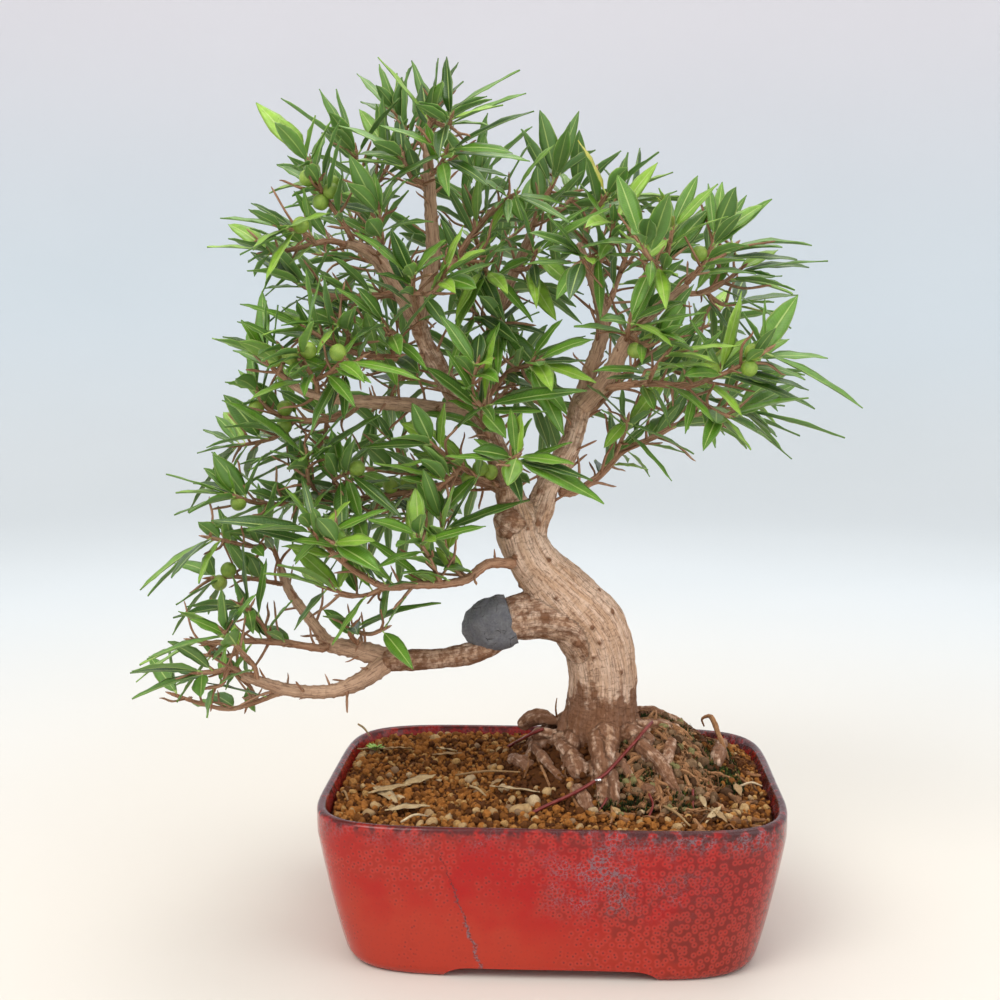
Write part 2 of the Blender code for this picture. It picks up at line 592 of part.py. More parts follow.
@dataclass
class Leaf:
    """A blade that leaves its base along reach and sags, with its upper face towards face."""

    base: Vector
    reach: Vector
    face: Vector
    width: float
    sag: float
    fold: float

    def spine(self, t):
        return self.base + self.reach * t - UP * (self.sag * t * t)

    def cross(self, t):
        """The direction across the blade and its upper normal, at t from base to tip."""
        tangent = (self.reach - UP * (2 * self.sag * t)).normalized()
        side = tangent.cross(self.face).normalized()
        return side, side.cross(tangent)

    def half_width(self, t):
        u = max((t - 0.07) / 0.93, 0.0)
        return self.width / 2 * math.sin(math.pi * min(u, 1.0) ** 0.8) ** 0.85


class Clearance:
    """Round samples of what is placed already, which later growth stays clear of."""

    def __init__(self):
        self.points = np.empty((0, 3))
        self.radii = np.empty(0)
        self.owners = np.empty(0, int)

    def add(self, owner, points, radii):
        self.points = np.vstack([self.points, points])
        self.radii = np.concatenate([self.radii, radii])
        self.owners = np.concatenate([self.owners, np.full(len(points), owner)])

    def free(self, owner, points, radii, gap=0.0004, own_gap=None):
        """Whether the samples keep the gap to all other owners' samples, and own_gap to their own."""
        points, radii = np.array(points), np.array(radii)
        margin = self.radii.max(initial=0.0) + radii.max() + gap
        near = ((self.points > points.min(0) - margin) & (self.points < points.max(0) + margin)).all(1)
        for mine in (False, True):
            if mine and own_gap is None:
                continue
            chosen = near & ((self.owners == owner) == mine)
            apart = np.linalg.norm(points[:, None] - self.points[chosen][None], axis=2)
            reach = radii[:, None] + self.radii[chosen][None] + (own_gap if mine else gap)
            if (apart < reach).any():
                return False
        return True


def axis_samples(axis, skip=0.0):
    """Samples down an axis, closer than its radius, from skip onwards."""
    points, radii = [], []
    distance = skip
    while distance <= axis.length:
        point, _, radius = axis.at(distance)
        points.append(tuple(point))
        radii.append(radius)
        distance += max(0.8 * radius, 0.0008)
    return points, radii


def leaf_samples(leaf):
    """Samples in three rows over a blade, from past its stalk to its tip."""
    points, radii = [], []
    for step in range(2, 11):
        t = step / 10
        middle = leaf.spine(t)
        side, _ = leaf.cross(t)
        for row in (-0.75, 0.0, 0.75):
            points.append(tuple(middle + side * (row * leaf.half_width(t))))
            radii.append(BLADE_REACH)
    return points, radii


def limb_axis(limb, steps):
    return Axis(smooth([(*sight(c, r, d), radius * MM) for c, r, d, radius in limb.route], steps))


def bark_distance(point, limbs):
    """How far a point lies outside the bark of every limb, whose ends are flat."""
    nearest = math.inf
    for axis in limbs.values():
        distance = axis.nearest(point)
        middle, direction, radius = axis.at(distance)
        offset = point - middle
        along = offset.dot(direction)
        beside = (offset - direction * along).length
        if distance in (0.0, axis.length):
            outside = math.hypot(max(beside - radius, 0.0), along)
        else:
            outside = offset.length - radius
        nearest = min(nearest, outside)
    return nearest


def seat(limbs, name, target, radius):
    """Where a twig towards the target starts: on its limb, with its end GAP clear of all bark."""
    axis = limbs[name]
    distance = axis.nearest(target)
    lean = SEAT_LEAN * (target - axis.at(distance)[0]).length
    point = axis.at(max(distance - lean, 0.05 * axis.length))[0]
    heading = (target - point).normalized()
    across = heading.orthogonal().normalized() * radius
    rim = [across, -across, heading.cross(across), across.cross(heading)]
    while min(bark_distance(point + offset, limbs) for offset in rim) < GAP:
        point = point + heading * SEAT_STEP
    return point


def shoot_axis(start, shoot, radius, end_radius, bend=Vector()):
    """The axis of a shoot from its start through its route, with the route's middle moved by bend."""
    places = [sight(*place) for place in shoot.route]
    knots = [start, *[place + bend for place in places[:-1]], places[-1] + bend * 0.4]
    count = len(knots) - 1
    radii = [radius + (end_radius - radius) * i / count for i in range(count + 1)]
    return Axis(smooth([(*knot, r) for knot, r in zip(knots, radii)], 2))


def bends():
    """No bend first, then wider and wider ones all round, to try in turn."""
    yield Vector()
    for turn in range(1, 26):
        angle = turn * GOLDEN_TURN
        yield Vector((math.cos(angle) * 0.5, math.sin(angle), math.sin(angle * 1.7) * 0.6)) * (BEND_STEP * turn)


def grow_axis(owner, start, shoot, radius, clearance, skip):
    """A shoot's axis, bent until it keeps clear of all that other sprays and limbs hold."""
    for bend in bends():
        axis = shoot_axis(start, shoot, radius, TWIG_TIP_RADIUS, bend)
        if clearance.free(owner, *axis_samples(axis, skip)):
            return axis
    return shoot_axis(start, shoot, radius, TWIG_TIP_RADIUS)


def grow_twigs(spray, owner, limbs, clearance):
    """The axes of a spray's shoots: the first from its limb, the others from the first."""
    radius = spray.radius * MM
    first = spray.shoots[0]
    start = seat(limbs, spray.limb, sight(*first.route[0]), radius)
    main = grow_axis(owner, start, first, radius, clearance, 0.003)
    axes = [main]
    for shoot in spray.shoots[1:]:
        target = sight(*shoot.route[0])
        distance = main.nearest(target)
        reach = (target - main.at(distance)[0]).length
        root = main.at(max(distance - 0.5 * reach, 0.1 * main.length))[0]
        axes.append(grow_axis(owner, root, shoot, SIDE_TWIG_RADIUS, clearance, 0.002))
    for axis in axes:
        clearance.add(owner, *axis_samples(axis))
    return axes


def leaf_face(place, heading):
    """The upward side of a leaf: up, and out from the middle of the crown."""
    outward = Vector((place.x * 0.6, place.y - 0.012, 0.0))
    outward = outward.normalized() if outward.length > 0.001 else Vector((0, -1, 0))
    face = UP * 0.85 + outward * 0.55
    face -= heading * face.dot(heading)
    return face.normalized()


def frames_along(points):
    """A direction, and two directions square to it, at each point, without needless turning."""
    tangents = []
    for i in range(len(points)):
        tangents.append((points[min(i + 1, len(points) - 1)] - points[max(i - 1, 0)]).normalized())
    side = tangents[0].cross(Vector((0.3, 0.9, 0.2))).normalized()
    rows = []
    for tangent in tangents:
        side = (side - tangent * side.dot(tangent)).normalized()
        rows.append((tangent, side, tangent.cross(side)))
    return rows


class Stem:
    """A shoot's tube of rings. Any side face of its last rings can carry one leaf."""

    def __init__(self, axis, shoot, sides):
        self.sides = sides
        self.nodes = max(math.ceil((shoot.leaves + len(shoot.tips)) / LEAVES_PER_NODE), 1)
        leafy = min(self.nodes * NODE_LENGTH, 0.6 * axis.length)
        marks = [mark for mark in axis.along[::2] if mark < axis.length - leafy - 0.002]
        marks += [axis.length - leafy * i / self.nodes for i in range(self.nodes, -1, -1)]
        rows = [axis.at(mark) for mark in marks]
        self.points = [row[0] for row in rows]
        self.radii = [row[2] for row in rows]
        self.leaves = {}
        self.verts = []
        frames = frames_along(self.points)
        for point, radius, (_, side, other) in zip(self.points, self.radii, frames):
            for i in range(sides):
                angle = math.tau * (i + 0.5) / sides
                self.verts.append(point + (side * math.cos(angle) + other * math.sin(angle)) * radius)
        self.tip = self.points[-1] + frames[-1][0] * BUD_LENGTH

    def spots(self):
        """The faces that can carry a leaf, from the tip back, in an order that goes round the stem."""
        last = len(self.points) - 2
        for back in range(self.nodes):
            for turn in range(self.sides):
                spot = (last - back, (2 * turn + turn // 2 + back) % self.sides)
                if spot not in self.leaves:
                    yield spot

    def corners(self, spot):
        """The four corners of a side face, anticlockwise from outside."""
        a = spot[0] * self.sides + spot[1]
        b = spot[0] * self.sides + (spot[1] + 1) % self.sides
        return (a, b, b + self.sides, a + self.sides)

    def outward(self, spot):
        """The middle of a side face, the direction out of it, and the one along the stem."""
        corners = [self.verts[i] for i in self.corners(spot)]
        middle = sum(corners, Vector()) / 4
        along = (corners[2] + corners[3] - corners[0] - corners[1]).normalized()
        return middle, (corners[1] - corners[0]).cross(along).normalized(), along

    def shell(self):
        """The tube with its leaves drawn out of their faces, ending in a pointed bud."""
        verts, faces = list(self.verts), [tuple(reversed(range(self.sides)))]
        for ring in range(len(self.points) - 1):
            for turn in range(self.sides):
                leaf = self.leaves.get((ring, turn))
                if leaf:
                    draw_out(verts, faces, self.corners((ring, turn)), leaf)
                else:
                    faces.append(self.corners((ring, turn)))
        end = (len(self.points) - 1) * self.sides
        verts.append(self.tip)
        for i in range(self.sides):
            faces.append((end + i, end + (i + 1) % self.sides, len(verts) - 1))
        return verts, faces


def stations(width):
    """Where along a blade its sections stand, more of them on a broad one."""
    if width < NARROW_LEAF:
        return (0.42,)
    return (0.33, 0.68) if width < BROAD_LEAF else (0.17, 0.42, 0.74)


def blade_rings(leaf):
    """The sections of a blade as rings of four corners, and its tip."""
    rings = []
    for t in stations(leaf.width):
        middle = leaf.spine(t)
        side, normal = leaf.cross(t)
        half = leaf.half_width(t)
        lift = normal * half * math.tan(leaf.fold)
        rib = normal * BLADE_THICK / 2
        rings.append([middle + side * half + lift, middle - rib, middle - side * half + lift, middle + rib])
    return rings, leaf.spine(1.0)


def draw_out(verts, faces, corners, leaf):
    """Draws a blade out of the face with these corners."""
    rings, tip = blade_rings(leaf)
    middle = sum((verts[i] for i in corners), Vector()) / 4
    centre = sum(rings[0], Vector()) / 4
    misfits = []
    for shift in range(4):
        pairs = zip(corners, rings[0][shift:] + rings[0][:shift])
        misfits.append(sum(((verts[i] - middle) - (place - centre) * 0.3).length for i, place in pairs))
    shift = misfits.index(min(misfits))
    last = corners
    for ring in rings:
        first = len(verts)
        verts.extend(ring[shift:] + ring[:shift])
        now = tuple(range(first, first + 4))
        faces.extend(band(last, now))
        last = now
    verts.append(tip)
    for i in range(4):
        faces.append((last[i], last[(i + 1) % 4], len(verts) - 1))


def band(low, high):
    """Two triangles between each pair of corners of two rings."""
    for i in range(4):
        j = (i + 1) % 4
        yield (low[i], low[j], high[j])
        yield (low[i], high[j], high[i])


class Growth:
    """Grows the leaves of one spray on its stems, clear of everything else."""

    def __init__(self, owner, stems, clearance):
        self.owner = owner
        self.stems = stems
        self.clearance = clearance
        self.random = random.Random(100 + owner)
        self.trees = [BVHTree.FromPolygons(*stem.shell()) for stem in stems]

    def fits(self, leaf, own_gap):
        """Whether a leaf is off the soil, clear of other pieces and crosses nothing of its own spray."""
        if leaf.spine(1.0).z < LOWEST_LEAF:
            return False
        if not self.clearance.free(self.owner, *leaf_samples(leaf), LEAF_GAP, own_gap):
            return False
        tree = BVHTree.FromPolygons(*trial_shell(leaf))
        return not any(tree.overlap(other) for other in self.trees)

    def keep(self, stem, spot, leaf):
        stem.leaves[spot] = leaf
        self.clearance.add(self.owner, *leaf_samples(leaf))
        self.trees.append(BVHTree.FromPolygons(*trial_shell(leaf)))

    def chosen_leaf(self, stem, tip):
        """A leaf whose tip shows at a chosen place, on the face that looks towards it best."""
        width = (tip[2] if len(tip) > 2 else self.random.uniform(5.6, 7.0)) * MM
        sag = self.random.uniform(0.04, 0.14)
        fold = self.random.uniform(0.15, 0.4)
        depth = self.random.uniform(-7, 5)
        for _ in range(TRIES_CHOSEN):
            end = sight(tip[0], tip[1], stem.tip.y / MM + depth)
            scored = []
            for spot in stem.spots():
                base, outward, along = stem.outward(spot)
                heading = (end - base).normalized()
                near = (stem.tip - base).length
                scored.append((heading.dot(outward) + 0.5 * heading.dot(along) - 25 * near, spot, base))
            for _, spot, base in sorted(scored, reverse=True)[:4]:
                chord = end - base
                drop = chord.length * sag
                reach = chord + UP * drop
                leaf = Leaf(base, reach, leaf_face(base, reach.normalized()), width, drop, fold)
                if self.fits(leaf, OWN_GAP_CHOSEN):
                    self.keep(stem, spot, leaf)
                    return
            depth = self.random.uniform(-16, 14)

    def ruled_leaf(self, stem):
        """A leaf on the next face round the stem that has room for one."""
        length = self.random.uniform(0.025, 0.037)
        width = self.random.uniform(0.0058, 0.0078)
        sag = self.random.uniform(0.06, 0.22)
        fold = self.random.uniform(0.15, 0.45)
        for spot in list(stem.spots()):
            base, outward, along = stem.outward(spot)
            back = len(stem.points) - 2 - spot[0]
            for attempt in range(3):
                opening = math.radians(38 + 9 * back + 14 * attempt)
                swing = self.random.uniform(-0.35, 0.35)
                twist = outward.cross(along) * swing
                heading = (along * math.cos(opening) + (outward + twist) * math.sin(opening)).normalized()
                reach = heading * (length * (1 - 0.06 * attempt))
                leaf = Leaf(base, reach, leaf_face(base, heading), width, length * sag, fold)
                if in_crown(leaf.spine(1.0)) and self.fits(leaf, OWN_GAP_RULED):
                    self.keep(stem, spot, leaf)
                    return

    def grow(self, shoots):
        for stem, shoot in zip(self.stems, shoots):
            for tip in shoot.tips:
                self.chosen_leaf(stem, tip)
        for stem, shoot in zip(self.stems, shoots):
            for _ in range(shoot.leaves):
                self.ruled_leaf(stem)


def trial_shell(leaf):
    """A blade by itself, from just off its stem to its tip, to test where it crosses others."""
    rings, tip = blade_rings(leaf)
    start = leaf.spine(0.05)
    rings.insert(0, [start + (place - leaf.spine(0.3)) * 0.15 for place in rings[0]])
    verts = [place for ring in rings for place in ring] + [tip]
    faces = []
    for ring in range(len(rings) - 1):
        faces.extend(band(range(4 * ring, 4 * ring + 4), range(4 * ring + 4, 4 * ring + 8)))
    last = len(verts) - 5
    for i in range(4):
        faces.append((last + i, last + (i + 1) % 4, len(verts) - 1))
    return verts, faces


def fig_places(spray, owner, axes, clearance):
    """The middle of each fig, seated against the nearest twig of its spray, where there is room."""
    places = []
    for column, row in spray.figs:
        best = None
        for axis in axes:
            for point, radius in zip(axis.points, axis.radii):
                offset = sight(column, row, point.y / MM) - point
                if best is None or offset.length < best[0]:
                    best = (offset.length, point, offset, radius)
        _, point, offset, radius = best
        toward = offset.normalized() if offset.length > 0.0005 else -UP
        for way in (toward, toward - UP, toward - Vector((0, 1, 0)), toward + UP, -UP):
            place = point + way.normalized() * (radius + FIG_SEAT * FIG_RADIUS)
            if clearance.free(owner, [tuple(place)], [FIG_RADIUS], GAP, -0.6 * FIG_RADIUS):
                clearance.add(owner, [tuple(place)], [FIG_RADIUS])
                places.append(place)
                break
    return places


def tube(axis, sides, grow=0.0):
    """A closed tube round an axis, with flat ends."""
    verts, faces = [], []
    for point, radius, (_, side, other) in zip(axis.points, axis.radii, frames_along(axis.points)):
        for i in range(sides):
            angle = math.tau * i / sides
            verts.append(point + (side * math.cos(angle) + other * math.sin(angle)) * (radius + grow))
    rings = len(axis.points)
    for ring in range(rings - 1):
        for i in range(sides):
            a, b = ring * sides + i, ring * sides + (i + 1) % sides
            faces.append((a, b, b + sides, a + sides))
    faces.append(tuple(reversed(range(sides))))
    faces.append(tuple(range((rings - 1) * sides, rings * sides)))
    return verts, faces


def blade(leaf):
    """A loose thin blade, closed at its stalk."""
    verts, faces = trial_shell(leaf)
    return verts, [(3, 2, 1, 0), *faces]


def ball(centre, radius, stretch=1.0):
    """A faceted ball."""
    mesh = bmesh.new()
    bmesh.ops.create_icosphere(mesh, subdivisions=1, radius=radius)
    verts = [centre + Vector((v.co.x, v.co.y, v.co.z * stretch)) for v in mesh.verts]
    faces = [tuple(v.index for v in face.verts) for face in mesh.faces]
    mesh.free()
    return verts, faces


def material(name, colour, roughness, metallic=0.0):
    """A plain surface in the piece's own colour."""
    made = bpy.data.materials.new(name)
    made.use_nodes = True
    shader = made.node_tree.nodes["Principled BSDF"]
    shader.inputs["Base Color"].default_value = (*colour, 1.0)
    shader.inputs["Roughness"].default_value = roughness
    shader.inputs["Metallic"].default_value = metallic
    return made


def add_object(name, shell, surface=None):
    """An object with this shell as its mesh, its faces turned outwards."""
    mesh = bpy.data.meshes.new(name)
    mesh.from_pydata([tuple(v) for v in shell[0]], [], shell[1])
    work = bmesh.new()
    work.from_mesh(mesh)
    bmesh.ops.recalc_face_normals(work, faces=work.faces)
    work.to_mesh(mesh)
    work.free()
    if surface:
        mesh.materials.append(surface)
    obj = bpy.data.objects.new(name, mesh)
    bpy.context.scene.collection.objects.link(obj)
    return obj


def remove(obj):
    mesh = obj.data
    bpy.data.objects.remove(obj)
    bpy.data.meshes.remove(mesh)


def combine(obj, shells, operation):
    """Joins the shells to an object, or cuts them from it, by one Boolean, and applies it."""
    group = bpy.data.collections.new(obj.name + "_repeats")
    bpy.context.scene.collection.children.link(group)
    for index, shell in enumerate(shells):
        repeat = add_object(f"{obj.name}_repeat_{index}", shell)
        bpy.context.scene.collection.objects.unlink(repeat)
        group.objects.link(repeat)
    step = obj.modifiers.new("combine", "BOOLEAN")
    step.operation = operation
    step.operand_type = "COLLECTION"
    step.collection = group
    for solver in ("EXACT", "MANIFOLD"):
        step.solver = solver
        graph = bpy.context.evaluated_depsgraph_get()
        graph.update()
        mesh = bpy.data.meshes.new_from_object(obj.evaluated_get(graph))
        if largest_body(mesh):
            break
    obj.modifiers.remove(step)
    for repeat in list(group.objects):
        remove(repeat)
    bpy.data.collections.remove(group)
    old = obj.data
    obj.data = mesh
    mesh.name = old.name
    bpy.data.meshes.remove(old)


def signed_volume(faces):
    total = 0.0
    for face in faces:
        corners = [vert.co for vert in face.verts]
        for b, c in zip(corners[1:], corners[2:]):
            total += corners[0].dot(b.cross(c))
    return total / 6


def largest_body(mesh):
    """Drops loose scraps and sealed hollows that a Boolean leaves. False if what is left isn't closed."""
    work = bmesh.new()
    work.from_mesh(mesh)
    bmesh.ops.dissolve_degenerate(work, dist=MERGE, edges=work.edges)
    bmesh.ops.triangulate(work, faces=work.faces)
    left = set(work.faces)
    bodies = []
    while left:
        stack = [left.pop()]
        body = set(stack)
        while stack:
            for edge in stack.pop().edges:
                for face in edge.link_faces if len(edge.link_faces) == 2 else ():
                    if face in left:
                        left.remove(face)
                        body.add(face)
                        stack.append(face)
        bodies.append(body)
    largest = max(bodies, key=signed_volume)
    scraps = [face for body in bodies if body is not largest for face in body]
    bmesh.ops.delete(work, geom=scraps, context="FACES")
    whole = all(len(edge.link_faces) == 2 for edge in work.edges)
    work.to_mesh(mesh)
    work.free()
    return whole


def in_pot(x, y, z):
    """A place in the pot's own, turned frame as one in the model's."""
    return Vector((
        POT_CENTRE.x + x * math.cos(POT_TURN) - y * math.sin(POT_TURN),
        POT_CENTRE.y + x * math.sin(POT_TURN) + y * math.cos(POT_TURN),
        z,
    ))


def plan_ring(height, inset):
    """One level ring of the pot: its outer plan at this height, a squared oval, moved in by inset."""
    rise = min(height / (UPRIGHT_FROM * POT_HEIGHT), 1.0) ** WALL_SWELL
    half_x = POT_WIDTH / 2 * (FOOT_SCALE + (1 - FOOT_SCALE) * rise) - inset
    half_y = POT_DEPTH / 2 * (FOOT_SCALE_DEEP + (1 - FOOT_SCALE_DEEP) * rise) - inset
    ring = []
    for i in range(POT_POINTS):
        angle = math.tau * i / POT_POINTS
        x, y = math.cos(angle), math.sin(angle)
        power = 2 / POT_SQUARENESS
        x = math.copysign(abs(x) ** power, x) * half_x
        y = math.copysign(abs(y) ** power, y) * half_y
        ring.append(in_pot(x, y, height))
    return ring


def loft(rings):
    """A closed shell through rings of equal count, with flat ends."""
    count = len(rings[0])
    verts = [vert for ring in rings for vert in ring]
    faces = []
    for ring in range(len(rings) - 1):
        for i in range(count):
            a, b = ring * count + i, ring * count + (i + 1) % count
            faces.append((a, b, b + count, a + count))
    faces.append(tuple(reversed(range(count))))
    faces.append(tuple(range((len(rings) - 1) * count, len(rings) * count)))
    return verts, faces


def inner_wall(height, gap=0.0):
    """The pot's inner plan at a height, with a gap kept to it."""
    return plan_ring(height, WALL + gap)


def pot():
    """The pot: a footed box with drawn-in sides, a thin rounded lip and two drain holes."""
    top = POT_HEIGHT
    rings = [
        plan_ring(FOOT_RISE, FOOT_BAND),
        plan_ring(0.0, FOOT_BAND - 0.0012),
        plan_ring(0.0, 0.0030),
        plan_ring(0.0012, 0.0009),
        plan_ring(0.0038, 0.0),
        plan_ring(0.014, 0.0),
        plan_ring(0.028, 0.0),
        plan_ring(0.042, 0.0),
        plan_ring(top - 0.0060, 0.0002),
        plan_ring(top - 0.0016, -0.0004),
        plan_ring(top, 0.0012),
        plan_ring(top - 0.0004, LIP - 0.0006),
        plan_ring(top - 0.0022, WALL - 0.0004),
        inner_wall(top - 0.0060),
        inner_wall(0.022),
        inner_wall(FLOOR_TOP + 0.0015, 0.0012),
        inner_wall(FLOOR_TOP, 0.0035),
    ]
    obj = add_object("pot", loft(rings), material("glazed_red", POT_COLOUR, 0.18))
    cutters = [arch(ARCH_HALF_FRONT, POT_DEPTH, False), arch(ARCH_HALF_SIDE, POT_WIDTH, True)]
    combine(obj, cutters, "DIFFERENCE")
    drains = []
    for side in (-1, 1):
        low, high = in_pot(side * DRAIN_X, 0, -0.01), in_pot(side * DRAIN_X, 0, 0.02)
        drains.append(tube(Axis([(*low, DRAIN_RADIUS), (*high, DRAIN_RADIUS)]), 12))
    combine(obj, drains, "DIFFERENCE")
    return obj


def arch(half, reach, turned):
    """The low opening between two feet, as a cutter that runs right under the pot."""
    profile = [
        (-half, -0.002), (-half, 0.0005), (-half + ARCH_SLOPE, ARCH_RISE),
        (half - ARCH_SLOPE, ARCH_RISE), (half, 0.0005), (half, -0.002),
    ]
    rings = []
    for end in (-reach, reach):
        rings.append([in_pot(end, a, z) if turned else in_pot(a + ARCH_ASIDE, end, z) for a, z in profile])
    return loft(rings)


def screen(name, x):
    """The plastic mesh that lies over a drain hole inside the pot, with a grid of square holes."""
    low = FLOOR_TOP + GAP
    half = SCREEN_SIDE / 2
    pitch = (SCREEN_SIDE - SCREEN_BAR) / SCREEN_HOLES
    marks = []
    for i in range(SCREEN_HOLES + 1):
        marks += [-half + pitch * i, -half + pitch * i + SCREEN_BAR]
    count = len(marks)
    verts = [in_pot(x + a, b, z) for z in (low, low + SCREEN_THICK) for b in marks for a in marks]
    solid = {(i, j) for i in range(count - 1) for j in range(count - 1) if i % 2 == 0 or j % 2 == 0}
    faces = []
    for i, j in solid:
        corner = j * count + i
        flat = (corner, corner + 1, corner + 1 + count, corner + count)
        faces.append(tuple(reversed(flat)))
        faces.append(tuple(k + count * count for k in flat))
        for step, a, b in (((0, -1), 0, 1), ((1, 0), 1, 2), ((0, 1), 2, 3), ((-1, 0), 3, 0)):
            if (i + step[0], j + step[1]) not in solid:
                up = count * count
                faces.append((flat[a], flat[b], flat[b] + up, flat[a] + up))
    return add_object(name, (verts, faces), material("black_plastic_" + name, SCREEN_COLOUR, 0.6))


def soil_height(x, y):
    """The height of the soil's surface, without its grains: level, with the root ball's mound."""
    level = SOIL_LEVEL + 0.0010 * math.sin(x * 55 + 1) * math.cos(y * 62)
    for hump in MOUND:
        near = ((x - hump.x) / hump.reach_x) ** 2 + ((y - hump.y) / hump.reach_y) ** 2
        level += hump.height * math.exp(-near ** 1.5)
    return level


def soil_shell():
    """The bed of soil, from the screens up to its uneven, mounded surface."""
    rng = random.Random(31)
    wall_height = POT_HEIGHT - 0.0062
    wall = rounded_ring(inner_wall(wall_height, GAP + 0.0002), SOIL_SPOKES)
    middle = POT_CENTRE + Vector((0.004, 0.0, 0.0))
    rings = [
        rounded_ring(inner_wall(SOIL_FLOOR, 0.006), SOIL_SPOKES),
        rounded_ring(inner_wall(0.024, GAP + 0.0004), SOIL_SPOKES),
        wall,
    ]
    for ring in range(1, SOIL_RINGS):
        share = 1 - ring / SOIL_RINGS
        row = []
        for point in wall:
            flat = middle + (Vector((point.x, point.y, 0)) - middle) * share
            flat.x += rng.uniform(-0.0008, 0.0008)
            flat.y += rng.uniform(-0.0008, 0.0008)
            flat.z = soil_height(flat.x, flat.y) + rng.uniform(-GRAIN_RELIEF, GRAIN_RELIEF)
            row.append(flat)
        rings.append(row)
    return loft(rings)


def rounded_ring(points, count):
    """The same outline with its points spread evenly."""
    closed = points + [points[0]]
    lengths = [0.0]
    for a, b in zip(closed, closed[1:]):
        lengths.append(lengths[-1] + (b - a).length)
    ring = []
    for i in range(count):
        target = lengths[-1] * i / count
        k = max(j for j, length in enumerate(lengths[:-1]) if length <= target)
        t = (target - lengths[k]) / (lengths[k + 1] - lengths[k])
        ring.append(closed[k].lerp(closed[k + 1], t))
    return ring


def stones():
    """The larger stones that lie in the soil's surface, fused to it."""
    rng = random.Random(7)
    shells = []
    while len(shells) < STONES:
        x = rng.uniform(-0.078, 0.082)
        y = rng.uniform(-0.060, 0.060)
        size = rng.uniform(0.0022, 0.0042)
        if (Vector((x, y, 0)) - ROOT_FOOT).length < 0.046:
            continue
        shells.append(ball(Vector((x, y, soil_height(x, y) + 0.15 * size)), size, 0.75))
    return shells


def soil(holes):
    """The soil with its stones, and the holes that trunk, roots and wires stand in."""
    obj = add_object("soil", soil_shell(), material("soil_mix", SOIL_COLOUR, 0.95))
    combine(obj, stones(), "UNION")
    combine(obj, holes, "DIFFERENCE")
    return obj


def paste(holes):
    """The grey paste that seals the sawn end of the thick limb, cut clear of the bark."""
    start, end = sight(*PASTE_FROM), sight(*PASTE_TO)
    middle = (end - start).normalized()
    side = middle.cross(UP).normalized()
    other = side.cross(middle)
    rings = []
    for share, radius in PASTE_PROFILE:
        at = start + (end - start) * share
        ring = []
        for i in range(PASTE_SIDES):
            angle = math.tau * i / PASTE_SIDES
            wave = 1 + 0.05 * math.sin(3 * angle + 1) + 0.03 * math.sin(5 * angle)
            ring.append(at + (side * math.cos(angle) + other * math.sin(angle) * PASTE_TALL) * radius * wave)
        rings.append(ring)
    obj = add_object("wound_paste", loft(rings), material("paste_grey", PASTE_COLOUR, 0.75))
    combine(obj, holes, "DIFFERENCE")


def on_soil(column, row, lift, roots):
    """The point that shows at this place of the front view, at a height of lift over soil and roots."""
    depth = SOIL_NEAR
    while True:
        point = sight(column, row, depth)
        rests = point.z <= soil_height(point.x, point.y) + lift
        if rests or bark_distance(point, roots) < lift or depth > SOIL_FAR:
            return point
        depth += SIGHT_STEP


def wire_axis(route, roots):
    knots = [on_soil(column, row, lift * MM, roots) for column, row, lift in route]
    return Axis(smooth([(*knot, WIRE_RADIUS) for knot in knots], 2))


def fallen_leaf(name, start, end, lift):
    """A dry leaf that lies on the soil, raised to clear its grains."""
    base, tip = on_soil(*start, 0.0, {}), on_soil(*end, 0.0, {})
    leaf = Leaf(base, tip - base, UP, FALLEN_WIDTH, 0.0, 0.2)
    base.z = tip.z = max(soil_height(*leaf.spine(t / 8).xy) for t in range(9)) + lift
    leaf = Leaf(base, tip - base, UP, FALLEN_WIDTH, 0.0, 0.2)
    return add_object(name, blade(leaf), material("dry_leaf_" + name, DRY_COLOUR, 0.8))


def shade(obj):
    """Shades a piece smooth, with its edges kept sharp."""
    obj.data.shade_smooth()
    obj.data.set_sharp_from_angle(angle=SHARP_ANGLE)


def spray_object(spray, stems, figs, surface):
    """A leafy branch as one body: its stems with their leaves, and its figs, joined."""
    shells = [stem.shell() for stem in stems]
    shells += [ball(place, FIG_RADIUS) for place in figs]
    obj = add_object(spray.name, shells[0], surface)
    if len(shells) > 1:
        combine(obj, shells[1:], "UNION")
    return obj


def root_axis(root):
    """A root's axis: out of the trunk's foot, half sunk over the soil, and down into it at its end."""
    heading = math.radians(root.heading)
    ahead = Vector((math.cos(heading), math.sin(heading), 0.0))
    aside = Vector((-ahead.y, ahead.x, 0.0))
    rows = [(*(ROOT_FOOT + ahead * ROOT_START + UP * ROOT_SHOULDER), root.radius)]
    for share, thick, sunk in ROOT_PROFILE:
        place = ROOT_FOOT + ahead * (root.reach * share) + aside * (root.swerve * math.sin(share * 5))
        place.z = soil_height(place.x, place.y) - sunk * root.radius * thick
        rows.append((*place, root.radius * thick))
    return Axis(smooth(rows, 1))


def tree():
    """The grown wood: trunk, main limbs and roots as one body."""
    axes = {limb.name: limb_axis(limb, 2 if limb.name == "trunk" else 1) for limb in TREE}
    sides = {limb.name: limb.sides for limb in TREE}
    for number, root in enumerate(ROOTS):
        axes[f"root_{number}"] = root_axis(root)
        sides[f"root_{number}"] = ROOT_SIDES
    shells = [tube(axes[name], sides[name]) for name in axes]
    obj = add_object("trunk", shells[0], material("bark", BARK_COLOUR, 0.85))
    combine(obj, shells[1:], "UNION")
    return obj, axes, sides


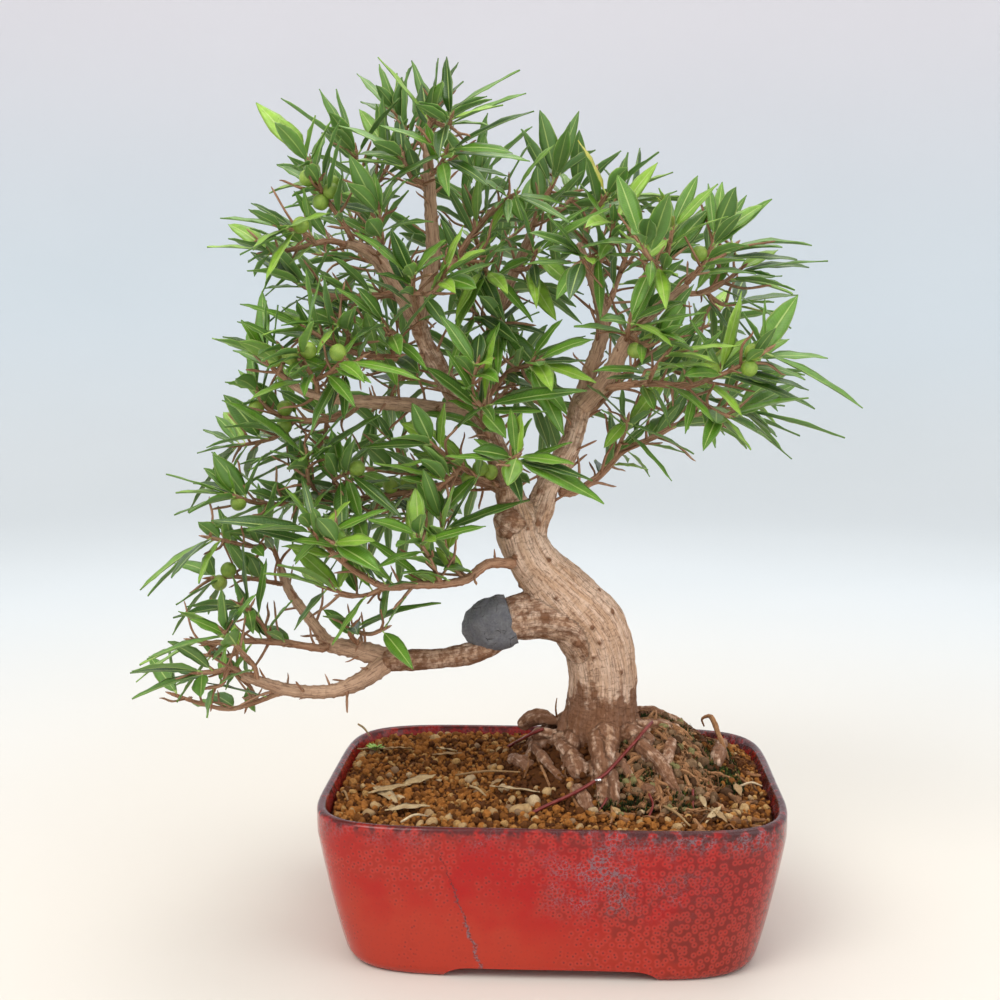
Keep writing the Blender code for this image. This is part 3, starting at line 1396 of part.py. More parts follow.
def main():
    for old in list(bpy.data.objects):
        bpy.data.objects.remove(old)
    pot()
    screen("drain_screen_left", -DRAIN_X)
    screen("drain_screen_right", DRAIN_X)
    _, axes, sides = tree()
    wires = {name: wire_axis(route, axes) for name, route in WIRES}
    for name, axis in wires.items():
        add_object(name, tube(axis, WIRE_SIDES), material("wire_" + name, WIRE_COLOUR, 0.4, 0.8))
    buried = [name for name in axes if name.startswith(("trunk", "root"))]
    holes = [tube(axes[name], sides[name], GAP) for name in buried]
    holes += [tube(axis, WIRE_SIDES, GAP) for axis in wires.values()]
    soil(holes)
    paste([tube(axes[name], sides[name], GAP) for name in ("trunk", "stub", "low")])
    for name, start, end, lift in FALLEN_LEAVES:
        fallen_leaf(name, start, end, lift)
    sprays()
    for obj in bpy.context.scene.objects:
        shade(obj)
    centre_on_origin()


def sprays():
    """Grows every spray's twigs, then its figs, then its leaves, each clear of what is there."""
    clearance = Clearance()
    limbs = {limb.name: limb_axis(limb, 1) for limb in TREE}
    for number, axis in enumerate(limbs.values()):
        clearance.add(-1 - number, *axis_samples(axis))
    grown = [grow_twigs(spray, owner, limbs, clearance) for owner, spray in enumerate(SPRAYS)]
    fruit = []
    for owner, (spray, axes) in enumerate(zip(SPRAYS, grown)):
        fruit.append(fig_places(spray, owner, axes, clearance))
    green = material("leaf_green", LEAF_COLOUR, 0.4)
    for owner, (spray, axes) in enumerate(zip(SPRAYS, grown)):
        stems = []
        for axis, shoot in zip(axes, spray.shoots):
            stems.append(Stem(axis, shoot, 4 if axis is axes[0] else 3))
        Growth(owner, stems, clearance).grow(spray.shoots)
        spray_object(spray, stems, fruit[owner], green)


def centre_on_origin():
    """Parents every piece to one empty that sets the middle of the footprint over the origin."""
    corners = []
    for obj in bpy.context.scene.objects:
        corners += [obj.matrix_world @ vert.co for vert in obj.data.vertices]
    middle_x = (min(c.x for c in corners) + max(c.x for c in corners)) / 2
    middle_y = (min(c.y for c in corners) + max(c.y for c in corners)) / 2
    carrier = bpy.data.objects.new("bonsai", None)
    for obj in list(bpy.context.scene.objects):
        obj.parent = carrier
    bpy.context.scene.collection.objects.link(carrier)
    carrier.location = (-middle_x, -middle_y, 0.0)
    bpy.context.view_layer.update()


main()
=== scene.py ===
"""The looks of a willow leaf fig bonsai in its glazed pot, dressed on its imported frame.

Lengths are in metres, +Z is up, and the front of the tree faces -Y. The tree's routes are those of the
part's own source: a place is a column and a row of the front view, on a grid of 1000 by 1000, with its
depth behind the middle of the pot in millimetres. Radii and widths beside them are real sizes in
millimetres. Twigs, figs and leaves grow by the same rules and the same random draws as the solids, so
that each finer piece keeps the form of the node that it replaces, and more leaves are added to them.

Everything is worked out in the pot's own frame and moved by one shift when its mesh is made.
"""

from __future__ import annotations

import logging
import math
import random
from dataclasses import dataclass, field
from enum import Enum
from typing import Iterable, Iterator

import bmesh
import bpy
import numpy as np
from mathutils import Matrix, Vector, noise
from mathutils.bvhtree import BVHTree

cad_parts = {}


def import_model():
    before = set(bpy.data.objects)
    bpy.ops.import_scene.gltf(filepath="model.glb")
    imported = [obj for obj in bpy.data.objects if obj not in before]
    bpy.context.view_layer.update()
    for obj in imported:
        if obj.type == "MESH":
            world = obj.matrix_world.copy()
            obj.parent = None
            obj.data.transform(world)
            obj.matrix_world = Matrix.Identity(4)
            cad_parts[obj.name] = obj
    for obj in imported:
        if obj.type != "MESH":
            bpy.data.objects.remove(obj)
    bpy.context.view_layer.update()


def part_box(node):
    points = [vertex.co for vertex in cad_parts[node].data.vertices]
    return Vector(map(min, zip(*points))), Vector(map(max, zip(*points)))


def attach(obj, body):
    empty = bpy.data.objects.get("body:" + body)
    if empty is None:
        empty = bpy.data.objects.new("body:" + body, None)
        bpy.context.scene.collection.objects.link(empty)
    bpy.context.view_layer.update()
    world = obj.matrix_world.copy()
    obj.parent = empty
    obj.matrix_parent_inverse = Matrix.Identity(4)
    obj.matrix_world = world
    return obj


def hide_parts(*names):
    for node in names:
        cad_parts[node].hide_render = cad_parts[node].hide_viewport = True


LOG = logging.getLogger("bonsai")

MM = 0.001
UP = Vector((0.0, 0.0, 1.0))
GAP = 0.3 * MM

# The front view that the tree is drawn in.
EYE = Vector((-0.0071, -0.6167, 0.2528))
EYE_TURN = math.radians(1.25)
EYE_TILT = math.radians(6.2)
EYE_REACH = 1450.0
EYE_COLUMN = 500.0
EYE_ROW = 495.0

# The pot.
POT_WIDTH = 0.1948
POT_DEPTH = 0.155
POT_HEIGHT = 0.062
POT_CENTRE = Vector((0.0024, 0.0078, 0.0))
POT_TURN = math.radians(-1.8)
POT_SQUARENESS = 5.6
FOOT_SCALE = 0.865
FOOT_SCALE_DEEP = 0.960
UPRIGHT_FROM = 0.85
WALL_SWELL = 0.75
WALL = 0.0050
FOOT_BAND = 0.0095
FOOT_RISE = 0.0050
FLOOR_TOP = 0.0095
ARCH_RISE = 0.0042
ARCH_HALF_FRONT = 0.0425
ARCH_ASIDE = 0.0006
ARCH_HALF_SIDE = 0.030
ARCH_SLOPE = 0.008
DRAIN_RADIUS = 0.0070
DRAIN_X = 0.040

# The screens over the drain holes.
SCREEN_THICK = 0.0008

# The paste over the sawn limb, from the bark out to its crown: share of the way, and radius.
PASTE_FROM = (511, 618, -5)
PASTE_TO = (462, 633, -7)
PASTE_PROFILE = ((0.0, 0.0094), (0.12, 0.0102), (0.40, 0.0104), (0.62, 0.0095), (0.82, 0.0070), (0.95, 0.0035))
PASTE_TALL = 1.12

# The soil.
SOIL_LEVEL = 0.0586
SOIL_FLOOR = FLOOR_TOP + SCREEN_THICK + 2 * GAP

# Wires, blades and fruit.
WIRE_RADIUS = 0.00075
SOIL_NEAR = -72.0
SOIL_FAR = 45.0
SIGHT_STEP = 0.4
FIG_RADIUS = 0.0034
FIG_SEAT = 0.8
BLADE_THICK = 0.0009
BLADE_REACH = 0.0015
NARROW_LEAF = 0.0066
BROAD_LEAF = 0.0089

# Twigs, and how leaves stand on them.
TWIG_TIP_RADIUS = 0.0008
SIDE_TWIG_RADIUS = 0.00095
NODE_LENGTH = 0.0042
LEAVES_PER_NODE = 3
BUD_LENGTH = 0.0032
SEAT_LEAN = 0.45
SEAT_STEP = 0.0002
BEND_STEP = 0.0008
GOLDEN_TURN = 2.4
LOWEST_LEAF = 0.072
LEAF_GAP = 0.0003
OWN_GAP_CHOSEN = -0.0018
OWN_GAP_RULED = -0.0012
TRIES_CHOSEN = 6


@dataclass(frozen=True)
class Limb:
    """A stretch of trunk, limb or root: places of (column, row, depth, radius)."""

    name: str
    route: tuple
    sides: int = 6


@dataclass(frozen=True)
class Shoot:
    """A twig from its parent out to its leaf cluster.

    leaves counts the leaves that a rule places, and tips lists those whose tips are chosen, each as
    (column, row) or (column, row, width).
    """

    route: tuple
    leaves: int = 3
    tips: tuple = ()


@dataclass(frozen=True)
class Spray:
    """A leafy branch: its first shoot grows from a limb, and the others grow from that shoot."""

    name: str
    limb: str
    shoots: tuple
    radius: float = 1.1
    figs: tuple = ()


@dataclass(frozen=True)
class Hump:
    """A rounded rise in the soil: its middle, how far it reaches each way, and its height."""

    x: float
    y: float
    reach_x: float
    reach_y: float
    height: float


@dataclass(frozen=True)
class Root:
    """A root that runs out from the trunk's foot over the soil: its heading in degrees, and its sizes."""

    heading: float
    reach: float
    radius: float
    swerve: float = 0.0


MOUND = (
    Hump(0.028, 0.012, 0.042, 0.042, 0.0205),
    Hump(0.061, 0.014, 0.024, 0.034, 0.0085),
    Hump(0.008, 0.032, 0.018, 0.020, 0.0060),
)

TREE = (
    Limb("trunk", (
        (600, 812, 12, 18.5), (600, 757, 12, 19.0), (600, 724, 11, 17.4), (602, 690, 10, 15.2),
        (600, 655, 8, 15.0), (589, 622, 4, 14.4), (563, 592, 0, 12.8), (535, 563, -2, 10.6),
        (522, 538, -2, 10.4), (519, 516, -2, 9.4),
    ), 12),
    Limb("stub", (
        (596, 648, 6, 13.0), (574, 622, 1, 12.0), (545, 615, -2, 10.5), (522, 617, -4, 9.8), (508, 619, -5, 9.2),
    ), 9),
    Limb("burr", ((519, 524, -4, 8.0), (504, 520, -8, 6.8), (498, 519, -9, 4.6)), 8),
    Limb("low", (
        (512, 628, -5, 4.4), (497, 642, -6, 4.7), (480, 650, -8, 4.6), (460, 655, -9, 4.4), (437, 658, -10, 4.0),
        (409, 660, -11, 4.3), (384, 660, -12, 4.9),
    ), 8),
    Limb("low_fork", (
        (388, 661, -12, 4.5), (362, 680, -16, 3.7), (337, 690, -20, 2.9), (311, 692, -24, 2.7),
        (285, 689, -26, 2.6), (261, 682, -28, 2.2), (243, 676, -30, 1.9),
    )),
    Limb("high_fork", (
        (388, 658, -11, 4.5), (354, 649, -8, 3.9), (330, 644, -5, 3.2), (318, 630, -3, 2.4),
        (306, 614, 0, 2.2), (290, 592, 2, 2.0), (280, 568, 4, 1.8),
    )),
    Limb("left_stem", (
        (524, 534, -2, 8.6), (512, 506, -2, 6.7), (507, 482, -1, 5.6), (498, 458, 1, 5.2),
        (488, 434, 3, 5.0), (475, 414, 4, 4.8), (456, 397, 5, 4.6), (442, 375, 4, 4.3),
        (428, 348, 2, 4.0), (418, 322, 0, 3.8),
    ), 8),
    Limb("left_arm", (
        (474, 411, 3, 4.0), (448, 411, -1, 3.6), (410, 405, -8, 3.1), (370, 402, -16, 2.6),
        (330, 398, -22, 2.1), (304, 391, -26, 1.8), (286, 380, -29, 1.6),
    )),
    Limb("top_left", (
        (418, 325, 0, 3.6), (406, 303, -1, 3.2), (394, 284, -2, 3.1), (381, 264, -4, 3.0),
        (365, 250, -6, 2.6), (348, 243, -8, 2.1),
    )),
    Limb("leader", (
        (418, 326, 0, 3.8), (427, 288, 4, 3.3), (433, 255, 6, 3.1), (431, 215, 6, 2.7),
        (429, 175, 4, 2.3), (427, 142, 0, 1.8),
    )),
    Limb("mid_stem", (
        (500, 464, 3, 3.6), (488, 425, 12, 3.2), (485, 385, 18, 3.0), (490, 340, 24, 2.8),
        (503, 298, 27, 2.5), (519, 262, 26, 2.2), (531, 234, 22, 1.9),
    )),
    Limb("right_stem", (
        (529, 532, -2, 8.2), (541, 505, -1, 6.0), (549, 485, 0, 5.3), (562, 462, 1, 5.0),
        (572, 440, 2, 4.8), (578, 417, 2, 4.6), (584, 397, 1, 4.5),
    ), 8),
    Limb("right_main", (
        (581, 406, 1, 4.4), (602, 384, -1, 3.8), (614, 366, -3, 3.5), (623, 347, -5, 3.2),
        (633, 331, -7, 2.8), (650, 315, -9, 2.3), (670, 299, -11, 1.9), (687, 286, -13, 1.6),
    )),
    Limb("right_top", (
        (582, 405, 2, 4.2), (589, 374, 5, 3.3), (597, 352, 9, 3.0), (603, 328, 12, 2.7),
        (598, 298, 14, 2.4), (588, 268, 13, 2.0), (579, 244, 11, 1.7),
    )),
)

ROOT_FOOT = Vector((0.0235, 0.0120, 0.0))
ROOT_SHOULDER = 0.0880
ROOT_START = 0.008
# Along each root: share of its reach, share of its radius, and how many radii it lies sunk in the soil.
ROOT_PROFILE = ((0.42, 0.95, -0.30), (0.62, 0.82, -0.10), (0.82, 0.64, 0.40), (1.0, 0.45, 2.8))
ROOTS = (
    Root(-90, 0.044, 0.0066, 0.002),
    Root(-128, 0.034, 0.0050, -0.004),
    Root(-165, 0.036, 0.0046, 0.005),
    Root(160, 0.038, 0.0040, -0.004),
    Root(112, 0.036, 0.0048, 0.003),
    Root(60, 0.040, 0.0042, -0.003),
    Root(20, 0.046, 0.0048, 0.006),
    Root(-14, 0.042, 0.0044, -0.006),
    Root(-52, 0.040, 0.0050, 0.004),
)

SPRAYS = (
    # The low branch on the left, from the wound out to its tips.
    Spray("spray_low_tip", "low_fork", (
        Shoot(((232, 668, -32), (214, 672, -34), (197, 673, -36)), 2, ((130, 673), (132, 699), (201, 697, 9))),
        Shoot(((222, 684, -30), (208, 688, -29)), 2, ((207, 718), (226, 648))),
    )),
    Spray("spray_low_under", "low_fork", (
        Shoot(((272, 696, -16), (248, 705, -12), (226, 709, -9), (199, 703, -7), (172, 694, -5)), 3, ()),
        Shoot(((252, 690, -6), (246, 680, -2)), 2, ((255, 712),)),
    ), 1.2),
    Spray("spray_low_front", "low_fork", (
        Shoot(((254, 666, -38), (240, 650, -44), (223, 631, -48)), 2, ((190, 619), (256, 594), (212, 660))),
    )),
    Spray("spray_mat", "high_fork", (
        Shoot(((318, 648, -12), (285, 643, -17), (250, 641, -20), (214, 643, -23), (191, 640, -25)), 3, ()),
        Shoot(((262, 624, -22), (248, 610, -26), (236, 603, -28)), 3, ((173, 618),)),
        Shoot(((232, 655, -14), (206, 655, -12)), 3, ()),
    ), 1.9),
    Spray("spray_high_side", "high_fork", (
        Shoot(((270, 582, -3), (240, 577, -7), (210, 578, -10)), 3, ((207, 553),)),
    ), 1.1, ((221, 581), (227, 573))),
    Spray("spray_high_tip", "high_fork", (
        Shoot(((274, 550, 2), (266, 536, 0)), 3, ()),
        Shoot(((250, 546, -8), (226, 541, -14), (206, 537, -18)), 3, ((140, 590, 8.5), (198, 522))),
    )),
    Spray("spray_high_low", "high_fork", (
        Shoot(((350, 634, -16), (355, 624, -20)), 1, ((323, 616, 7), (441, 603, 6), (407, 609, 5))),
        Shoot(((370, 634, -24), (386, 628, -28)), 2, ()),
    )),
    # The thin branch that comes forward from under the fork.
    Spray("spray_front_left", "trunk", (
        Shoot(((488, 564, -20), (467, 579, -25), (443, 584, -30), (414, 585, -34), (386, 587, -37),
               (362, 575, -39), (344, 563, -41), (325, 545, -43), (309, 528, -46)),
              1, ((211, 521, 9.5), (295, 564, 8), (285, 488, 9), (350, 501, 7), (388, 509, 7))),
        Shoot(((344, 550, -50), (330, 541, -54)), 1, ((381, 572, 9), (375, 541, 7.5))),
        Shoot(((360, 596, -32), (322, 587, -29)), 2, ((294, 630, 8), (350, 566, 8))),
        Shoot(((431, 562, -36), (420, 542, -40), (417, 531, -42)), 3, ((486, 526), (368, 520))),
        Shoot(((448, 556, -26), (440, 516, -26)), 2, ((530, 500, 8), (416, 478))),
    ), 2.2),
    # The middle of the left side.
    Spray("spray_left_mid", "left_stem", (
        Shoot(((470, 480, 10), (430, 488, 14), (390, 495, 12), (345, 500, 8), (300, 503, 2),
               (262, 504, -6), (231, 495, -14)),
              2, ((214, 452, 9), (262, 456, 8), (166, 474, 6), (174, 515, 7.5))),
        Shoot(((309, 480, -8), (308, 463, -14), (307, 453, -18)), 1, ((222, 400, 9.5), (382, 414, 7), (270, 451, 6.5))),
        Shoot(((334, 482, -12), (350, 472, -20)), 2, ((332, 430, 10), (362, 522))),
        Shoot(((372, 512, 2), (352, 520, -8)), 4, ()),
        Shoot(((425, 505, 26), (405, 520, 34)), 4, ()),
    ), 1.8, ((238, 503), (377, 457), (392, 452), (401, 457))),
    Spray("spray_centre_left", "left_stem", (
        Shoot(((478, 477, -14), (453, 461, -22), (428, 441, -28)), 1, ((412, 403, 8), (362, 448, 7), (445, 403, 7))),
        Shoot(((448, 480, -28), (434, 492, -32)), 3, ((400, 478),)),
    ), 1.4, ((482, 461), (491, 466), (502, 464), (473, 478))),
    Spray("spray_centre_front", "left_stem", (
        Shoot(((506, 466, -20), (513, 459, -32), (519, 455, -38)), 0,
              ((473, 451, 10), (522, 413, 10), (508, 486, 9), (574, 464, 8), (604, 504, 11))),
    )),
    Spray("spray_centre_up", "left_stem", (
        Shoot(((483, 424, -14), (483, 411, -22), (484, 403, -27)), 1,
              ((423, 366, 8), (587, 391, 8.5), (547, 412, 6), (506, 438, 8), (452, 432))),
        Shoot(((472, 392, -24), (478, 362, -28)), 3, ((440, 315, 7), (500, 322))),
    )),
    Spray("spray_centre_high", "mid_stem", (
        Shoot(((508, 372, 2), (526, 366, -10), (540, 361, -17)), 2, ((596, 383, 7.5), (557, 384, 8), (564, 436, 9))),
    )),
    # The long arm on the left and the branches under and over it.
    Spray("spray_arm_tip", "left_arm", (
        Shoot(((273, 368, -32), (262, 353, -34)), 2, ((212, 338, 6), (241, 320, 6))),
        Shoot(((286, 356, -38), (280, 346, -42)), 2, ((338, 359, 6.5),)),
    ), 1.2, ((274, 359), (290, 350))),
    Spray("spray_arm_side", "left_arm", (
        Shoot(((316, 382, -32), (306, 366, -38), (300, 352, -42)), 3, ()),
        Shoot(((330, 372, -40), (342, 360, -46)), 3, ()),
    ), 1.1, ((314, 349), (330, 338))),
    Spray("spray_arm_low", "left_arm", (
        Shoot(((342, 416, -10), (312, 421, -6), (284, 417, -3), (264, 405, -4), (255, 386, -8)), 2,
              ((225, 382, 6), (238, 408))),
        Shoot(((278, 436, 3), (254, 443, 6), (232, 446, 8)), 2, ((203, 430, 5), (197, 453, 5))),
        Shoot(((322, 442, 4), (300, 462, 8)), 4, ()),
    ), 1.8, ((286, 399), (263, 404), (293, 395))),
    Spray("spray_high_arm", "left_stem", (
        Shoot(((406, 358, -5), (381, 357, -12), (354, 352, -18), (328, 341, -24), (306, 328, -29)), 3,
              ((240, 304, 5), (296, 300))),
        Shoot(((348, 334, -26), (336, 321, -30)), 3, ()),
        Shoot(((352, 368, -26), (336, 376, -30)), 3, ()),
        Shoot(((392, 338, -20), (384, 322, -28)), 3, ()),
    ), 1.8),
    Spray("spray_high_left", "top_left", (
        Shoot(((376, 296, -8), (340, 297, -11), (314, 291, -13), (297, 283, -15)), 2,
              ((265, 288, 6), (271, 266, 5), (331, 246, 5.5))),
        Shoot(((346, 316, -2), (330, 326, 2)), 4, ()),
    ), 1.6),
    # The crown's top left.
    Spray("spray_top_left_tip", "top_left", (
        Shoot(((328, 241, -11), (302, 247, -15), (280, 252, -18), (264, 253, -20)), 2,
              ((207, 247, 6), (254, 276, 6))),
        Shoot(((306, 234, -22), (280, 227, -28)), 2, ((220, 218, 6), (251, 203, 4.5), (330, 213))),
    ), 1.4, ((297, 228),)),
    Spray("spray_top_left_high", "top_left", (
        Shoot(((346, 228, -14), (330, 204, -18), (316, 184, -20)), 2, ((277, 165, 6.5), (292, 196, 8))),
        Shoot(((310, 166, -26), (301, 150, -26)), 1, ((256, 103, 8.5), (278, 118, 8), (331, 121, 5))),
    ), 1.3, ((322, 197), (307, 178), (335, 190))),
    Spray("spray_top_left_mid", "top_left", (
        Shoot(((382, 240, -12), (380, 222, -16), (379, 209, -18)), 3, ((332, 204, 5), (366, 162, 7))),
    )),
    Spray("spray_top_left_back", "top_left", (
        Shoot(((378, 232, 10), (366, 195, 15), (358, 168, 14), (356, 150, 12)), 2,
              ((281, 98, 6), (319, 89, 6), (336, 89, 6))),
        Shoot(((352, 210, 26), (330, 190, 34)), 4, ()),
        Shoot(((385, 172, 26), (392, 152, 32)), 4, ()),
    ), 1.4, ((361, 186), (357, 201), (336, 173))),
    Spray("spray_knob", "left_stem", (
        Shoot(((414, 302, -14), (413, 286, -20), (414, 273, -24)), 1, ((391, 229, 7), (446, 240, 9), (376, 273, 6))),
        Shoot(((432, 292, -22), (448, 270, -26)), 3, ((497, 262),)),
    ), 1.2),
    # The apex.
    Spray("spray_apex", "leader", (
        Shoot(((430, 122, -3), (437, 109, -6)), 2, ((438, 58, 7.5), (449, 76, 8), (378, 57, 5.5), (520, 70, 6.5))),
        Shoot(((447, 126, -10), (452, 116, -15)), 2, ((526, 93, 6), (503, 105, 5.5))),
    ), 1.3),
    Spray("spray_apex_front", "leader", (
        Shoot(((438, 168, -8), (444, 158, -14), (447, 149, -18)), 1,
              ((534, 111, 6.5), (379, 126, 6.5), (383, 184, 8), (530, 161, 7), (415, 103, 9))),
    )),
    Spray("spray_apex_left", "leader", (
        Shoot(((412, 178, -6), (405, 164, -10), (402, 152, -12)), 2, ((359, 154, 6), (311, 140, 6), (337, 125, 7))),
    )),
    Spray("spray_apex_back", "leader", (
        Shoot(((416, 178, 18), (404, 135, 28), (396, 106, 28)), 2, ((379, 64, 5), (376, 85, 5), (402, 77, 9))),
        Shoot(((430, 135, 36), (440, 116, 40)), 3, ((487, 96),)),
    ), 1.2),
    Spray("spray_leader_right", "leader", (
        Shoot(((452, 264, 10), (470, 238, 13), (490, 213, 9), (506, 200, 4), (517, 193, -3)), 1,
              ((522, 221, 7), (487, 238, 8), (477, 178), (566, 205))),
        Shoot(((480, 262, -2), (488, 277, -9)), 4, ()),
        Shoot(((478, 200, 22), (480, 176, 28)), 4, ()),
    ), 1.7),
    # The crown's middle and right.
    Spray("spray_mid_top", "mid_stem", (
        Shoot(((540, 206, 21), (552, 186, 22), (558, 172, 22)), 1, ((540, 110, 9), (579, 111, 7), (521, 129, 7))),
        Shoot(((560, 208, 32), (580, 190, 40)), 4, ()),
    ), 1.3),
    Spray("spray_mid_front", "mid_stem", (
        Shoot(((528, 268, 10), (533, 260, 2), (536, 252, -5)), 2, ((611, 208, 7), (497, 276, 8), (577, 290, 8))),
    )),
    Spray("spray_mid_centre", "mid_stem", (
        Shoot(((494, 328, 10), (503, 322, -2)), 4, ((530, 300), (548, 336))),
        Shoot(((480, 318, 4), (471, 309, -4)), 4, ()),
    )),
    Spray("spray_right_top_tip", "right_top", (
        Shoot(((588, 222, 9), (602, 202, 6), (610, 191, 4)), 1, ((659, 152, 8.5), (578, 140, 7), (673, 172, 8))),
        Shoot(((612, 212, 18), (634, 196, 26)), 4, ()),
    ), 1.2),
    Spray("spray_right_top_side", "right_top", (
        Shoot(((606, 254, 2), (612, 232, -6), (614, 218, -9)), 2, ((580, 183, 4.5), (652, 228, 7))),
        Shoot(((592, 256, -10), (577, 264, -16)), 3, ((556, 300, 7),)),
    ), 1.1),
    Spray("spray_right_main_tip", "right_main", (
        Shoot(((702, 266, -16), (712, 246, -18), (716, 233, -19)), 1, ((763, 205, 8), (772, 199, 6), (736, 187, 9))),
        Shoot(((722, 256, -8), (736, 244, -2)), 3, ()),
    ), 1.2, ((691, 252),)),
    Spray("spray_right_main_mid", "right_main", (
        Shoot(((660, 282, -18), (669, 248, -22), (673, 224, -24)), 1, ((657, 197, 10), (718, 184, 6), (640, 262, 8))),
        Shoot(((650, 258, -30), (640, 240, -36)), 3, ()),
    ), 1.2),
    Spray("spray_right_main_side", "right_main", (
        Shoot(((706, 292, -4), (726, 281, -3), (742, 268, -4)), 1, ((828, 261, 4), (775, 276, 6), (778, 250, 6))),
        Shoot(((722, 304, 4), (738, 304, 8)), 2, ((798, 295, 5.5), (785, 318, 5.5))),
    ), 1.2),
    Spray("spray_right_up", "right_main", (
        Shoot(((628, 332, -20), (630, 318, -26)), 2, ((684, 301, 7), (600, 320, 8))),
        Shoot(((646, 346, -22), (664, 338, -28)), 3, ()),
    ), 1.1, ((634, 359),)),
    Spray("spray_right_arm", "right_stem", (
        Shoot(((612, 388, -6), (636, 384, -11), (663, 384, -16), (689, 386, -20), (715, 377, -27),
               (736, 368, -30)), 0, ((690, 320, 7.5), (809, 390, 7.5), (815, 409, 7), (684, 376, 8))),
        Shoot(((752, 360, -32), (769, 349, -34)), 0,
              ((798, 295, 9.5), (743, 313, 9), (791, 335, 11), (863, 408, 8), (828, 358, 7))),
        Shoot(((704, 404, -20), (722, 414, -24), (734, 418, -25)), 2, ((751, 450, 4.5), (757, 431, 7))),
        Shoot(((655, 368, -26), (668, 352, -32)), 3, ()),
    ), 1.8, ((756, 353), (750, 363), (753, 375), (704, 351))),
    Spray("spray_right_low", "right_stem", (
        Shoot(((574, 492, 5), (598, 477, 11), (622, 452, 19), (652, 438, 25), (680, 423, 30),
               (706, 412, 34), (742, 407, 32)),
              2, ((845, 438, 6.5), (800, 436, 5.5), (792, 459, 4.5), (782, 450, 5))),
        Shoot(((624, 434, 8), (628, 418, 4)), 1, ((694, 454, 8), (672, 481, 7), (604, 448, 6))),
        Shoot(((668, 408, 38), (690, 390, 46)), 4, ()),
        Shoot(((730, 392, 44), (752, 378, 50)), 4, ()),
    ), 1.9),
    # The back of the crown.
    Spray("spray_back_left", "left_stem", (
        Shoot(((462, 392, 22), (430, 384, 36), (390, 372, 48), (350, 360, 57), (322, 350, 62)), 3, ()),
        Shoot(((408, 350, 54), (396, 318, 62)), 3, ()),
        Shoot(((392, 396, 58), (370, 412, 64)), 3, ()),
        Shoot(((352, 340, 64), (338, 318, 70)), 3, ()),
    ), 1.9),
    Spray("spray_back_right", "right_stem", (
        Shoot(((598, 404, 18), (624, 376, 36), (654, 352, 48), (684, 336, 57), (712, 324, 62)), 3, ()),
        Shoot(((640, 338, 56), (650, 306, 64)), 3, ()),
        Shoot(((668, 368, 58), (690, 376, 64)), 3, ()),
    ), 1.9),
    Spray("spray_back_high", "mid_stem", (
        Shoot(((492, 300, 44), (482, 258, 56), (470, 222, 62), (462, 196, 64)), 3, ()),
        Shoot(((458, 262, 62), (430, 246, 68)), 3, ()),
        Shoot(((508, 240, 66), (528, 222, 72)), 3, ()),
        Shoot(((506, 290, 60), (532, 280, 68)), 3, ()),
    ), 1.8),
    Spray("spray_back_top_right", "right_top", (
        Shoot(((612, 296, 32), (624, 262, 46), (632, 238, 54)), 3, ()),
        Shoot(((650, 266, 54), (676, 250, 60)), 3, ()),
        Shoot(((598, 258, 52), (584, 236, 60)), 3, ()),
    ), 1.5),
    Spray("spray_back_low_left", "left_stem", (
        Shoot(((484, 484, 22), (450, 478, 36), (405, 473, 46), (362, 468, 52), (334, 462, 54)), 3, ()),
        Shoot(((396, 446, 56), (380, 430, 62)), 3, ()),
        Shoot(((410, 500, 56), (386, 512, 62)), 3, ()),
    ), 1.7),
    Spray("spray_back_centre", "mid_stem", (
        Shoot(((500, 398, 34), (512, 380, 50), (520, 362, 60)), 3, ()),
        Shoot(((530, 398, 56), (548, 410, 64)), 3, ()),
        Shoot(((484, 372, 58), (466, 362, 66)), 3, ()),
    ), 1.4),
    Spray("spray_back_top_left", "top_left", (
        Shoot(((392, 272, 24), (372, 262, 40), (346, 256, 48), (318, 254, 52)), 3, ()),
        Shoot(((360, 236, 52), (350, 214, 58)), 3, ()),
        Shoot(((384, 290, 46), (376, 300, 54)), 3, ()),
    ), 1.4),
)

# The crown's outline in the front view: leaves that a rule places stay inside it.
CROWN = (
    (375, 58), (438, 55), (520, 68), (536, 108), (580, 108), (600, 140), (640, 143), (676, 170), (738, 184),
    (764, 200), (828, 258), (800, 292), (865, 408), (845, 440), (793, 462), (752, 455), (695, 456), (672, 483),
    (606, 507), (576, 560), (442, 606), (407, 612), (420, 678), (345, 715), (208, 718), (132, 700), (128, 672),
    (188, 620), (138, 592), (195, 540), (165, 474), (196, 452), (203, 430), (222, 400), (212, 338), (240, 305),
    (265, 288), (207, 247), (220, 218), (251, 200), (275, 160), (255, 103), (281, 97), (319, 88),
)

# Along each wire: column and row of the front view, and how high it passes over the soil there.
WIRES = (
    ("tie_wire_front", ((652, 722, 1.6), (644, 731, 1.8), (634, 743, 1.8), (624, 754, 1.8), (614, 765, 1.8),
                        (604, 775, 1.8), (590, 784, 1.8), (578, 791, 1.6), (566, 797, 1.5), (546, 806, 1.0),
                        (526, 816, -1.2))),
    ("tie_wire_back", ((508, 747, -0.6), (515, 743, 1.4), (524, 738, 1.6), (533, 733, 1.6), (543, 729, 1.6))),
)

# Each leaf that lies on the soil: where its stalk and its tip show, and how far its grains hold it up.
FALLEN_LEAVES = (
    ("fallen_leaf_left", (372, 786), (398, 806), 0.0009),
    ("fallen_leaf_front", (386, 817), (430, 812), 0.0025),
    ("fallen_leaf_middle", (402, 792), (436, 781), 0.0025),
)

# The photograph's frame, and a camera's own width for it.
VIEW_SIDE = 1000
SENSOR = 36.0

# The crack in the glaze, as places of the front view on the pot's front.
CRACK_TOP = (437, 846, -69.0)
CRACK_FOOT = (480, 966, -69.0)

# Where the wire's cut end shows.
CUT_END = (598, 784)

